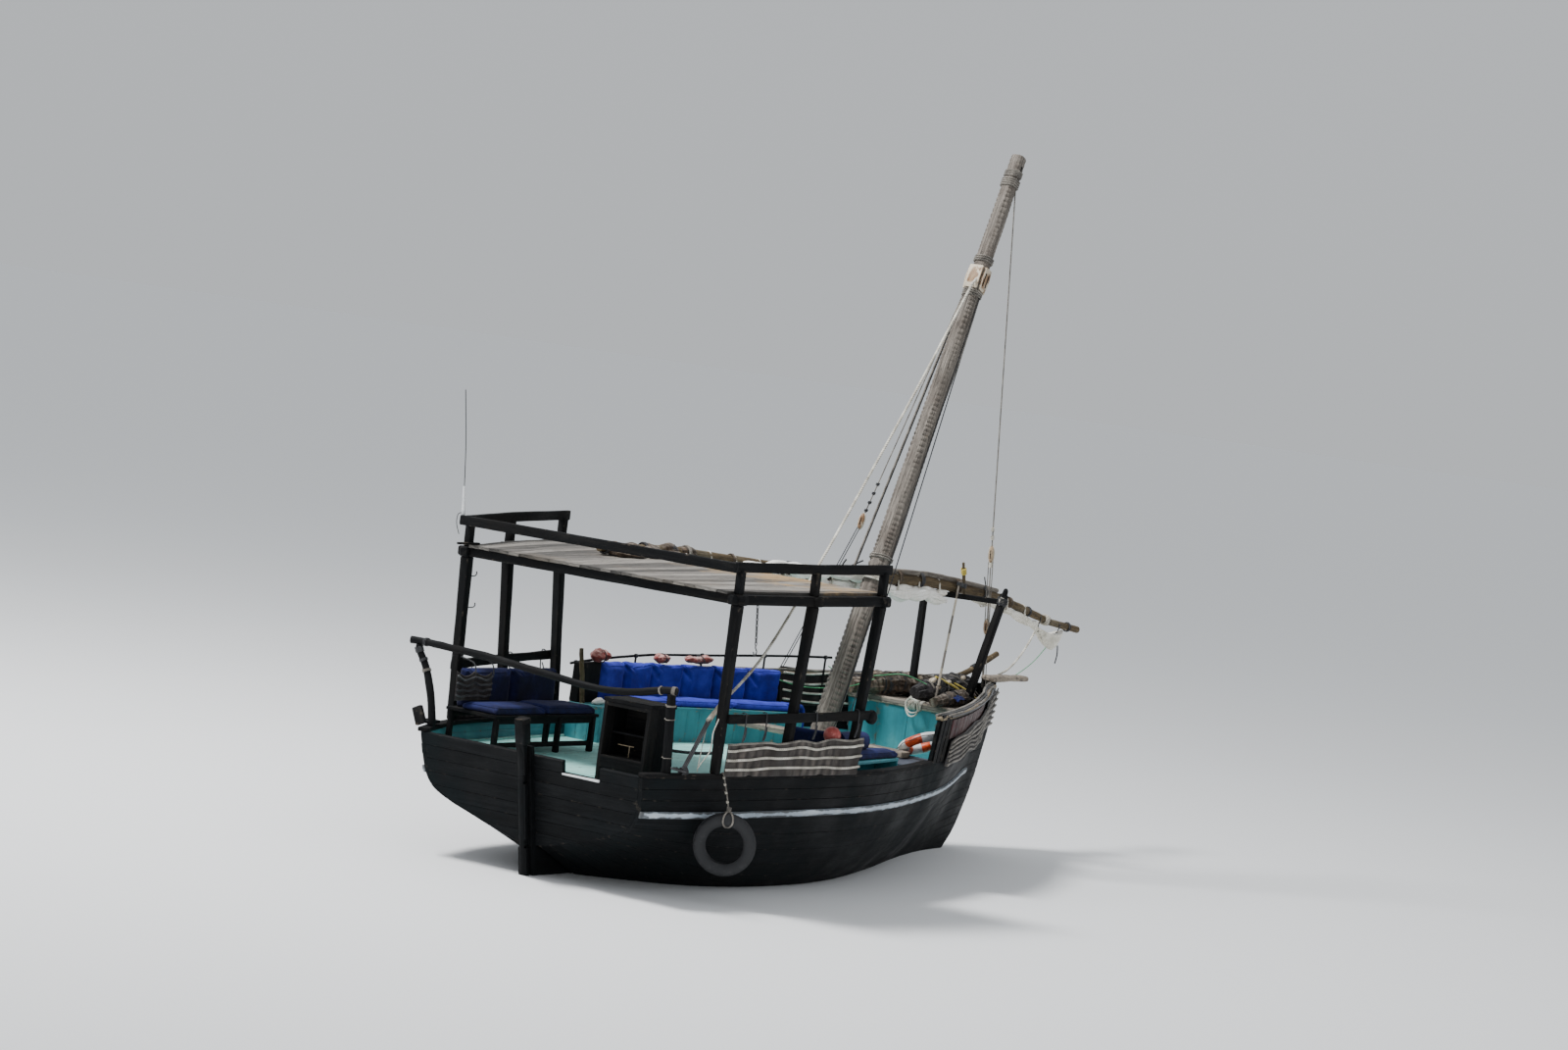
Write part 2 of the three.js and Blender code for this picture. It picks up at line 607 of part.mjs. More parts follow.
add('roof_planks', slab(
  roofOutline.map((x) => [roofEdge(x, -1, planksLow + roofPlankThick), roofEdge(x, 1, planksLow + roofPlankThick)]),
  roofOutline.map((x) => [roofEdge(x, -1, planksLow), roofEdge(x, 1, planksLow)]),
), colours.timber, canopy);

// The upper rail: a plank along each side on three short posts, and one across the after end.
const railLow = upperRailTop - upperRailDeep;
for (const [sideName, side] of [['port', 1], ['starboard', -1]]) {
  const stubs = canopyPosts.map(({ x, topY }) => (
    block(x - 38, x + 38, side * topY - 40, side * topY + 40, beamTop + seat, railLow + 20)));
  const plank = longBeam(side, upperRailThick / 2, 0, railLow, upperRailTop);
  add(`roof_rail_${sideName}`, joined(plank, ...stubs), colours.tar, canopy);
}
const aftRailX = roofAft - seat;
add('roof_rail_aft', block(aftRailX - upperRailThick, aftRailX, -roofHalfAt(roofAft) - 60, roofHalfAt(roofAft) + 60,
  railLow, upperRailTop), colours.tar, canopy);

// Side rails at elbow height, outside the posts, from the first post to just past the third.
const sideRailZ = 1775;
const sideRailDeep = 95;
const sideRailThick = 42;
const matThick = 16;
const postShare = (i, z) => (z - canopyPosts[i].footZ) / (roofUnderside - canopyPosts[i].footZ);
const postHalfAt = (i, z) => (footWide + (postWide - footWide) * postShare(i, z)) / 2;
function postOuterY(i, z) {
  const { footY, topY } = canopyPosts[i];
  return footY + (topY - footY) * postShare(i, z) + postHalfAt(i, z);
}
// A sheet outside the posts clears each post's after corner, because the sides widen forward.
function railY(i, z) {
  const behind = Math.max(i - 1, 0);
  const ahead = behind + 1;
  const slope = (postOuterY(ahead, z) - postOuterY(behind, z)) / (canopyPosts[ahead].x - canopyPosts[behind].x);
  return postOuterY(i, z) + (i > 0 ? slope * postHalfAt(i, z) : 0);
}
function railSheet(side, thick, z0, z1, xs, clearance) {
  const y = (x, z) => {
    const [i, j] = x < canopyPosts[1].x ? [0, 1] : [1, 2];
    const share = (x - canopyPosts[i].x) / (canopyPosts[j].x - canopyPosts[i].x);
    return railY(i, z) + (railY(j, z) - railY(i, z)) * share + clearance;
  };
  const at = (x, z, out) => new THREE.Vector3(x, side * (y(x, z) + out), z);
  return slab(xs.map((x) => [at(x, z0, thick), at(x, z1, thick)]), xs.map((x) => [at(x, z0, 0), at(x, z1, 0)]));
}
const railXs = [canopyPosts[0].x + 10, canopyPosts[1].x, canopyPosts[2].x + 110];
const matXs = [canopyPosts[0].x + 70, canopyPosts[1].x, canopyPosts[2].x + 30];
for (const [sideName, side] of [['port', 1], ['starboard', -1]]) {
  add(`side_rail_${sideName}`, railSheet(side, sideRailThick, sideRailZ, sideRailZ + sideRailDeep, railXs, 2 * seat),
    colours.tar, canopy);
  add(`side_mat_${sideName}`, railSheet(side, matThick, 1330, 1600, matXs, 2 * seat), colours.mat, canopy);
}

// Crooked posts on the quarters, and the pole lashed across their heads.
const quarterFoot = (x, thick) => gunwaleTopAt(x + thick) + seat;
const quarterPosts = {
  port: { head: [50, 1660, 2060], thick: 40 },
  starboard: { head: [125, -1395, 2040], thick: 46 },
};
add('quarter_post_port', rod([[40, 1385, quarterFoot(40, 42), 42], [40, 1385, quarterFoot(40, 42) + 60, 42], [45, 1450, 1600, 40],
  [60, 1560, 1850, 38], [50, 1660, 2010, 36], [...quarterPosts.port.head, 36]]), colours.tar);
add('quarter_post_starboard', rod([[150, -1425, quarterFoot(150, 50), 50], [150, -1425, quarterFoot(150, 50) + 80, 50],
  [145, -1410, 1600, 48], [125, -1395, 1980, 46], [...quarterPosts.starboard.head, 46]]), colours.tar);
// The pole rests on both heads, where it runs level for a hand's breadth.
const poleThick = 36;
const poleOver = (post) => post.head[2] + poleThick + seat;
add('stern_pole_rail', rod([[25, 1760, poleOver(quarterPosts.port), poleThick],
  [60, 1590, poleOver(quarterPosts.port), poleThick], [30, 1300, 2075, 38], [10, 700, 2030, 40], [10, 60, 1960, 38],
  [40, -480, 1910, 36], [70, -900, 1950, 36], [110, -1330, poleOver(quarterPosts.starboard), poleThick],
  [135, -1450, poleOver(quarterPosts.starboard), poleThick]]), colours.tar);

// The open-fronted locker at the starboard quarter.
const lockerShell = block(120, 560, -1180, -620, deckTop + seat, 1900);
const lockerRoom = block(60, 500, -1140, -660, 1330, 1820);
add('stern_locker', cut(lockerShell, lockerRoom), colours.tar);

// Benches: boxes against the sides, and a legged bench aft on the port side.
const benchTop = 1450;
const benchPort = [[2900, 1290], [4100, 1290], [5200, 1050], [6150, 760]];
const benchBack = 60;
add('bench_port', slab(
  benchPort.map(([x, y]) => [new THREE.Vector3(x, y, benchTop), new THREE.Vector3(x, insideAt(x, deckTop) - benchBack, benchTop)]),
  benchPort.map(([x, y]) => [
    new THREE.Vector3(x, y, deckTop + seat), new THREE.Vector3(x, insideAt(x, deckTop) - benchBack, deckTop + seat)]),
), colours.teal);
add('bench_starboard', slab(
  [[3050, 1420], [4300, 1330]].map(([x, y]) => [
    new THREE.Vector3(x, -y, 1380), new THREE.Vector3(x, -insideAt(x, deckTop) + benchBack, 1380)]),
  [[3050, 1420], [4300, 1330]].map(([x, y]) => [
    new THREE.Vector3(x, -y, deckTop + seat), new THREE.Vector3(x, -insideAt(x, deckTop) + benchBack, deckTop + seat)]),
), colours.teal);
const benchAftTop = block(330, 2150, 800, 1440, 1430, 1465);
const benchLegs = [[380, 830], [1480, 830], [2090, 830], [380, 1400], [2090, 1400]];
add('bench_aft', joined(benchAftTop, ...benchLegs.map(([x, y]) => (
  block(x - 28, x + 28, y - 28, y + 28, deckTop + seat, 1440)))), colours.teal);

// Cushions: seat pads on each bench and backs against the side.
const padThick = 70;
const padOf = (name, path, y0, y1, z0, z1) => add(name, slab(
  path.map(([x, a]) => [new THREE.Vector3(x, a + y0, z1), new THREE.Vector3(x, a + y1, z1)]),
  path.map(([x, a]) => [new THREE.Vector3(x, a + y0, z0), new THREE.Vector3(x, a + y1, z0)]),
), colours.cushion);
padOf('seat_cushions_port', benchPort, 6, 330, benchTop + seat, benchTop + padThick);
padOf('back_cushions_port', benchPort, 335, 450, benchTop + seat, 1900);
add('seat_cushion_aft', block(345, 2140, 805, 1290, 1465 + seat, 1465 + padThick), colours.cushion);
add('back_cushion_aft', block(420, 2050, 1295, 1420, 1465 + seat, 1880), colours.cushion);
add('seat_cushion_starboard', slab(
  [[3060, 1425], [4290, 1335]].map(([x, y]) => [new THREE.Vector3(x, -y, 1450), new THREE.Vector3(x, -y - 300, 1450)]),
  [[3060, 1425], [4290, 1335]].map(([x, y]) => [
    new THREE.Vector3(x, -y, 1380 + seat), new THREE.Vector3(x, -y - 300, 1380 + seat)]),
), colours.cushion);

// The mast: a squared tapering spar that leans forward, and the beam that holds it at the deck.
const mastAlong = mastHead.clone().sub(mastFoot).normalize();
const mastFore = new THREE.Vector3(mastAlong.z, 0, -mastAlong.x);
const onMast = (z) => mastFoot.clone().addScaledVector(mastAlong, (z - mastFoot.z) / mastAlong.z);
const mastHalfAt = (z) => mastFootHalf + ((mastHeadHalf - mastFootHalf) * (z - mastFoot.z)) / (mastHead.z - mastFoot.z);
function mastRing(centre, half) {
  const bevel = half * 0.55;
  return [[half, bevel], [bevel, half], [-bevel, half], [-half, bevel], [-half, -bevel], [-bevel, -half],
    [bevel, -half], [half, -bevel]].map(([f, y]) => centre.clone().addScaledVector(mastFore, f).add(new THREE.Vector3(0, y, 0)));
}
// The foot's ring lies flat on the deck.
const footRing = mastRing(mastFoot, mastFootHalf).map((p) => {
  const up = (mastFoot.z + seat - p.z) / mastAlong.z;
  return p.addScaledVector(mastAlong, up);
});
const mastSpar = rings([footRing, mastRing(onMast(2200), mastHalfAt(2200)), mastRing(onMast(5000), mastHalfAt(5000)),
  mastRing(mastHead, mastHeadHalf)]);
// Cheeks bolted to both faces below the head, where the stays and the halyard's block meet.
const cheekLow = 6420;
const cheekHigh = 6680;
const cheekHalf = 118;
const cheeks = rings([cheekLow, cheekHigh].map((z) => mastRing(onMast(z), cheekHalf)));
add('mast', joined(mastSpar, cheeks), colours.timber);
const thwartLow = 1300;
const thwartFore = onMast(thwartLow).x - mastHalfAt(thwartLow) / mastAlong.z - seat;
add('mast_thwart', block(thwartFore - 180, thwartFore, -1250, 900, thwartLow, 1370), colours.timber);

// Gallows at the bow: two leaning posts and the bar that the yard rests on.
const gallowsBarTop = 2950;
const gallowsBarHalf = 32;
const gallows = joined(
  bar(new THREE.Vector3(7700, 305, foredeckTop - 60), new THREE.Vector3(7900, 420, 2930), 75, 75),
  bar(new THREE.Vector3(7980, -270, foredeckTop - 60), new THREE.Vector3(8330, -390, 3010), 85, 85),
  bar(new THREE.Vector3(7905, 470, gallowsBarTop - gallowsBarHalf),
    new THREE.Vector3(8330, -440, gallowsBarTop - gallowsBarHalf), 2 * gallowsBarHalf, 2 * gallowsBarHalf),
);
add('gallows', cut(gallows, block(7500, 8500, -700, 700, foredeckTop - 300, foredeckTop + seat)), colours.tar);

// The lowered yard: a crooked spar that lies on the roof and on the gallows, to port of the mast.
const yardSides = 12;
const flat = Math.cos(Math.PI / yardSides); // from a section's centre to its flat, for each unit of radius
const roofEdgeX = worldX(roofFore - 10, planksLow + roofPlankThick);
const roofEdgeZ = (planksLow + roofPlankThick) * cos + (roofFore - 10) * sin;
const yardColumns = ['x', 'y', 'z', 'radius'];
const yardTable = [
  [1760, 812, 3222, 38],
  [roofEdgeX, 680, roofEdgeZ + 1.5 * seat + 55 * flat, 55],
  [4500, 489, 3130, 62],
  [6100, 300, 3085, 68],
  [7500, 200, 3060, 62],
  [8120, 160, gallowsBarTop + seat + 60, 57],
  [9100, 96, 2905, 52],
  [9750, 60, 2760, 46],
  [10300, 30, 2640, 40],
  [10950, 0, 2560, 44],
].map((row) => Object.fromEntries(row.map((v, i) => [yardColumns[i], v])));
// Straight between the table's rows, so that what lies along the yard can follow it.
function yardAt(x) {
  const i = Math.max(yardTable.findIndex((row) => row.x >= x), 1);
  const [a, b] = [yardTable[i - 1], yardTable[i]];
  const share = (x - a.x) / (b.x - a.x);
  return Object.fromEntries(yardColumns.map((name) => [name, a[name] + (b[name] - a[name]) * share]));
}
add('yard', rod(yardTable.map(({ x, y, z, radius }) => [x, y, z, radius]), yardSides), colours.yard);
// The furled sail: a long roll under the yard, with its clew bundle near the fore end.
const underYard = (x, radius, slack = 0) => {
  const { y, z, radius: spar } = yardAt(x);
  return [x, y, z - (spar + radius) * flat - 3 * seat - slack, radius];
};
add('furled_sail', rod([[3250, 44], [4500, 62], [6100, 66], [7500, 60], [7900, 40]].map(([x, r]) => underYard(x, r)),
  yardSides), colours.sail);
add('sail_tack', rod([underYard(8450, 30), underYard(9100, 46, 4), underYard(9750, 52, 22), [10200, 35, 2470, 88],
  [10480, 18, 2440, 70], [10640, 10, 2500, 30]], yardSides), colours.sail);

// The parrel: a rope loop round the mast that holds the yard to it.
const parrelRadius = 12;
const parrelAt = onMast(3085);
const yardSide = yardAt(parrelAt.x).y - yardAt(parrelAt.x).radius * flat;
const parrelPort = yardSide - parrelRadius - 2.5 * seat;
const parrelHalf = 150;
const parrelPath = Array.from({ length: 20 }, (_, k) => {
  const angle = (2 * Math.PI * k) / 20;
  return parrelAt.clone().addScaledVector(mastFore, parrelHalf * Math.cos(angle))
    .add(new THREE.Vector3(0, (parrelPort - parrelHalf) / 2 + ((parrelPort + parrelHalf) / 2) * Math.sin(angle), 0));
});
add('parrel', loopRope(parrelPath, mastAlong, parrelRadius), colours.rope);

// Main stays: forestay with its tackle, the backstay pair and the port shroud.
const stayRadius = 10;
const mastRoom = rings([mastRing(onMast(cheekLow - 200), cheekHalf + seat), mastRing(onMast(cheekHigh + 60), cheekHalf + seat)]);
const headRoom = rings([mastRing(onMast(7000), mastHalfAt(7000) + seat), mastRing(mastHead, mastHeadHalf + seat)]);
const under = (z) => block(-500, 11000, -2500, 2500, z - 400, z);
const forestay = rod([[onMast(7760).x, 0, 7760, stayRadius], [8085, -5, 7700, stayRadius], [8520, -25, 3560, stayRadius],
  [8532, -26, 3500, 38], [8548, -27, 3360, 38], [8556, -28, 3300, stayRadius], [8640, -30, 2700, stayRadius],
  [8650, -30, 2640, 34], [8668, -30, 2520, 34], [8676, -28, 2460, stayRadius], [8870, 32, stemHead - 60, stayRadius]], 8);
add('forestay', cut(forestay, headRoom, under(stemHead + seat)), colours.blackRope);
const backstayFoot = [480, -1555, 120]; // x, y, and how far its slanting end reaches forward
const backstay = rod([[7370, -20, 6600, 30], [7120, -90, 6480, 28], [7060, -100, 6420, 16], [5900, -345, 5395, 16],
  [4700, -600, 4400, 16], [3450, -860, 3380, 16], [2150, -1130, 2420, 16], [1250, -1330, 1880, 16],
  [760, -1480, 1500, 18], [backstayFoot[0], backstayFoot[1], 1200, 26]], 8);
add('backstay', cut(backstay, mastRoom, under(gunwaleTopAt(backstayFoot[0] + backstayFoot[2]) + seat)), colours.rope);
const shroudFootX = 6370;
const shroudFootTop = railZ(shroudFootX) + seat;
const shroud = rod([[7340, 20, 6560, 14], [7300, 90, 6420, 14], [6800, 700, 3760, 12], [6792, 712, 3720, 38],
  [6772, 736, 3600, 38], [6764, 748, 3560, 12], [6431, 1178, 2080, 12],
  [shroudFootX - 18, 1279, shroudFootTop - 100, 14]], 8);
add('port_shroud', cut(shroud, mastRoom, under(shroudFootTop)), colours.blackRope);

// Short spar and plank over the stem.
add('bow_spar', cut(rod([[7950, 200, 1690, 60], [9160, 60, 2250, 52]], 10), under(foredeckTop + seat)), colours.timber);
add('bow_plank', block(8700, 9620, -185, 5, stemHead + seat, stemHead + 40), colours.timber);

// A sounding pole that stands on the foredeck and leans on the gallows bar.
const poleRadius = 16;
add('sounding_pole', cut(rod([[7562, -105, 1660, poleRadius], [8046, 62, 3090, poleRadius]], 8), under(foredeckTop + seat)),
  colours.timber);

// The whip antenna on the roof's after port corner.
const antennaFoot = new THREE.Vector3(640, 1690, upperRailTop);
const antennaX = worldX(antennaFoot.x, antennaFoot.z);
const antennaZ = (antennaFoot.x + 22) * sin + upperRailTop * cos + seat;
add('whip_antenna', rod([[antennaX, antennaFoot.y, antennaZ, 20], [antennaX, antennaFoot.y, antennaZ + 60, 20],
  [antennaX - 45, antennaFoot.y, antennaZ + 290, 17], [antennaX - 50, antennaFoot.y, antennaZ + 310, 7],
  [antennaX - 240, antennaFoot.y, 4675, 4]], 8), colours.white);

// The tyre fender that hangs on the starboard side, on a line looped round it.
const tyreOuter = 312;
const tyreRim = 188;
const tyreHalf = 84;
const tyreCentre = new THREE.Vector3(800, -1800, 610);
const tyreTurn = THREE.MathUtils.degToRad(55); // from athwart towards fore-and-aft
const tyre = new THREE.LatheGeometry([[tyreRim, -tyreHalf * 0.8], [tyreRim + 40, -tyreHalf], [tyreOuter - 35, -tyreHalf],
  [tyreOuter, -tyreHalf * 0.55], [tyreOuter, tyreHalf * 0.55], [tyreOuter - 35, tyreHalf], [tyreRim + 40, tyreHalf],
  [tyreRim, tyreHalf * 0.8], [tyreRim, -tyreHalf * 0.8]].map(([r, h]) => new THREE.Vector2(r, h)), 32);
tyre.rotateZ(-tyreTurn);
tyre.translate(...tyreCentre.toArray());
add('tyre_fender', tyre, colours.rubber);
const lineRadius = 9;
const lineOff = lineRadius + seat;
const tyreAxle = new THREE.Vector3(Math.sin(tyreTurn), Math.cos(tyreTurn), 0);
const besideTyre = (across, up) => tyreCentre.clone().addScaledVector(tyreAxle, across).add(new THREE.Vector3(0, 0, up));
const lineTop = new THREE.Vector3(770, -1700, gunwaleTopAt(900) + lineRadius - 1);
const tyreHalfLoop = [[28, tyreOuter + 24], [60, tyreOuter + 13], [tyreHalf + lineOff, tyreOuter - 22],
  [tyreHalf + lineOff, tyreRim + 24], [tyreHalf, tyreRim - lineOff]];
const tyreLoop = [...tyreHalfLoop.map(([across, up]) => besideTyre(-across, up)),
  ...tyreHalfLoop.toReversed().map(([across, up]) => besideTyre(across, up))];
const loopNormal = new THREE.Vector3().crossVectors(tyreAxle, new THREE.Vector3(0, 0, 1));
const fenderLine = joined(
  loopRope(tyreLoop, loopNormal, lineRadius),
  rod([besideTyre(0, tyreOuter + 20), lineTop, new THREE.Vector3(850, -1640, lineTop.z)]
    .map((p) => [...p.toArray(), lineRadius]), 8),
);
add('fender_line', fenderLine, colours.rope);

export default boat;
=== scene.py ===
# A lateen-rigged dhow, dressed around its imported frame: tarred planks, painted deck and seats,
# weathered spars, rope and canvas. Metres throughout; +X is forward, +Y is to port, +Z is up.
import bpy
import numpy as np
from mathutils import Matrix, Vector
from mathutils.bvhtree import BVHTree


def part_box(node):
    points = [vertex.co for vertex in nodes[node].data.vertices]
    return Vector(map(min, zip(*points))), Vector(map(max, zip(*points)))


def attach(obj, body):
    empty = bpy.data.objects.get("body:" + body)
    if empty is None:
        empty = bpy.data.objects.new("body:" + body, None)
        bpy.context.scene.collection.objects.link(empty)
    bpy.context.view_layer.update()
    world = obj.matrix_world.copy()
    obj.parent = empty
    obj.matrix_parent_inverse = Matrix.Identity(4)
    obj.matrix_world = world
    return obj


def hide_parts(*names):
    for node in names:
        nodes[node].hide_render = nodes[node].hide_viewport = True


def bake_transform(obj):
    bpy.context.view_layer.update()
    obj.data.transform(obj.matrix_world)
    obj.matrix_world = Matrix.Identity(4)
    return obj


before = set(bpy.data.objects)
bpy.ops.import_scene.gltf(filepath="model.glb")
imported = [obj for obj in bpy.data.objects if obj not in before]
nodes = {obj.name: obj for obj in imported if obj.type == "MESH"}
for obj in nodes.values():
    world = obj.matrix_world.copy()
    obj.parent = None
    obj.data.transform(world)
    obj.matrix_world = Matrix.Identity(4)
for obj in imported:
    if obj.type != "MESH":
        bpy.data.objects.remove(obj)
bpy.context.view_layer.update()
print("frame loaded:", len(nodes), "nodes")


# Camera, floor and light

# The camera stands off the starboard quarter. It leans by the heel that the boat has in the
# photograph, so that the boat itself stays upright in its own frame.
cameraLook = {
    "place": (-34.150, -23.801, 5.869),
    "aim": (3.986, 0.0, 3.635),
    "leanDegrees": 7.73,
    "lensMm": 96.55,
    "sensorMm": 36.0,
}


def makeCamera(look):
    data = bpy.data.cameras.new("camera")
    data.sensor_width = look["sensorMm"]
    data.lens = look["lensMm"]
    data.clip_end = 600
    camera = bpy.data.objects.new("camera", data)
    ahead = Vector(look["aim"]) - Vector(look["place"])
    turn = ahead.to_track_quat("-Z", "Y").to_matrix().to_4x4()
    lean = Matrix.Rotation(np.radians(look["leanDegrees"]), 4, "Z")
    camera.matrix_world = Matrix.Translation(look["place"]) @ turn @ lean
    bpy.context.scene.collection.objects.link(camera)
    bpy.context.scene.camera = camera


# An sRGB hex code as a linear colour: each channel c becomes ((c + 0.055) / 1.055) to the power 2.4.
def hexColour(code):
    srgb = np.array([int(code[i:i + 2], 16) for i in (1, 3, 5)]) / 255
    linear = np.where(srgb <= 0.04045, srgb / 12.92, ((srgb + 0.055) / 1.055) ** 2.4)
    return (*linear.tolist(), 1.0)


# Adds a shader node. Settings name its properties or inputs, and "stops" are a ramp's colours by
# place. Links name the inputs that other nodes or sockets feed.
def addNode(tree, kind, settings=None, links=None):
    node = tree.nodes.new("ShaderNode" + kind)
    for key, value in (settings or {}).items():
        if key == "stops":
            elements = node.color_ramp.elements
            while len(elements) < len(value):
                elements.new(0.5)
            for element, (place, code) in zip(elements, value):
                element.position = place
                element.color = hexColour(code)
        elif isinstance(key, str) and hasattr(node, key):
            setattr(node, key, value)
        else:
            node.inputs[key].default_value = value
    for key, source in (links or {}).items():
        if isinstance(source, bpy.types.Node):
            source = next(socket for socket in source.outputs if socket.enabled)
        tree.links.new(source, node.inputs[key])
    return node


# The colour sockets of a Mix node.
mixA = 6
mixB = 7


def newMaterial(name):
    material = bpy.data.materials.new(name)
    material.use_nodes = True
    tree = material.node_tree
    return material, tree, tree.nodes["Principled BSDF"]


stageLook = {
    "floorColour": "#f0f1f2",
    "floorHalf": 300.0,
    "skyColour": "#e8ecf0",
    "skyStrength": 0.88,
    "horizonShare": 0.818,
    "keyPlace": (-4.0, 9.0, 24.0),
    "keyAim": (4.0, 0.0, 1.5),
    "keySize": 5.0,
    "keyPower": 9000.0,
    "fillPlace": (-26.0, -22.0, 8.0),
    "fillSize": 14.0,
    "fillPower": 700.0,
}


# The floor runs out to a far horizon. The sky fades from the zenith down to the tone that the floor
# has there, brightness = h + (1 - h) x the sine of the height angle, so that no edge shows.
def makeStage(look):
    half = look["floorHalf"]
    mesh = bpy.data.meshes.new("floor")
    corners = [(-half, -half, 0), (half, -half, 0), (half, half, 0), (-half, half, 0)]
    mesh.from_pydata(corners, [], [(0, 1, 2, 3)])
    floor = bpy.data.objects.new("floor", mesh)
    material, _, shader = newMaterial("matt floor paper")
    shader.inputs["Base Color"].default_value = hexColour(look["floorColour"])
    shader.inputs["Roughness"].default_value = 0.95
    shader.inputs["Specular IOR Level"].default_value = 0.1
    mesh.materials.append(material)
    bpy.context.scene.collection.objects.link(floor)
    world = bpy.data.worlds.new("studio")
    world.use_nodes = True
    tree = world.node_tree
    background = tree.nodes["Background"]
    background.inputs["Color"].default_value = hexColour(look["skyColour"])
    direction = addNode(tree, "TexCoord").outputs["Generated"]
    height = addNode(tree, "SeparateXYZ", links={"Vector": direction}).outputs["Z"]
    fade = addNode(tree, "MapRange", {"To Min": look["horizonShare"] * look["skyStrength"],
                                      "To Max": look["skyStrength"]}, {"Value": height})
    tree.links.new(fade.outputs[0], background.inputs["Strength"])
    bpy.context.scene.world = world
    for name in ("key", "fill"):
        data = bpy.data.lights.new(name, "AREA")
        data.size = look[name + "Size"]
        data.energy = look[name + "Power"]
        lamp = bpy.data.objects.new(name, data)
        ahead = Vector(look["keyAim"]) - Vector(look[name + "Place"])
        lamp.rotation_mode = "QUATERNION"
        lamp.rotation_quaternion = ahead.to_track_quat("-Z", "Y")
        lamp.location = look[name + "Place"]
        bpy.context.scene.collection.objects.link(lamp)


makeCamera(cameraLook)
makeStage(stageLook)
print("camera, floor and light set")


# Surfaces

def unit(vectors):
    return vectors / np.maximum(np.linalg.norm(vectors, axis=-1, keepdims=True), 1e-9)


# Unevenness at points, from about -1 to 1: a sum of sine waves of about the given size, whose
# directions and phases come from the seed.
def ripple(points, size, seed, waves=7):
    dice = np.random.default_rng(seed)
    heading = unit(dice.normal(size=(waves, 3)))
    number = 2 * np.pi / (size * dice.uniform(0.6, 1.7, waves))
    phase = dice.uniform(0, 2 * np.pi, waves)
    return np.sin(points @ (heading * number[:, None]).T + phase).sum(-1) / waves ** 0.5 * 0.7


# Points at an even step along a line of points. Further columns, such as a radius, go with them.
def resample(path, step):
    path = np.asarray(path, float)
    reach = np.concatenate([[0], np.cumsum(np.linalg.norm(np.diff(path[:, :3], axis=0), axis=1))])
    at = np.linspace(0, reach[-1], max(int(round(reach[-1] / step)), 1) + 1)
    return np.stack([np.interp(at, reach, column) for column in path.T], axis=1)


# A smooth line through points: a Catmull-Rom curve with its end points doubled.
def smooth(points, steps=8):
    points = np.asarray(points, float)
    padded = np.concatenate([points[:1], points, points[-1:]])
    t = np.linspace(0, 1, steps, endpoint=False)[:, None]
    spans = [
        b + 0.5 * t * (c - a) + t * t * (a - 2.5 * b + 2 * c - 0.5 * d)
        + t ** 3 * (1.5 * b - 0.5 * a - 1.5 * c + 0.5 * d)
        for a, b, c, d in zip(padded, padded[1:], padded[2:], padded[3:])
    ]
    return np.concatenate([*spans, points[-1:]])


# One grid of points as a part of a piece. Its rows follow its length. A closed part goes all round,
# a looped one also joins its last row to its first, and caps fill the ends of any other. Wear and
# tint are shares, and skin is the number of its material.
def part(points, closed=True, caps=True, loop=False, wear=0.0, tint=0.5, skin=0, cord=None):
    return dict(points=points, closed=closed, caps=caps and not loop, loop=loop, wear=wear, tint=tint,
                skin=skin, cord=cord)


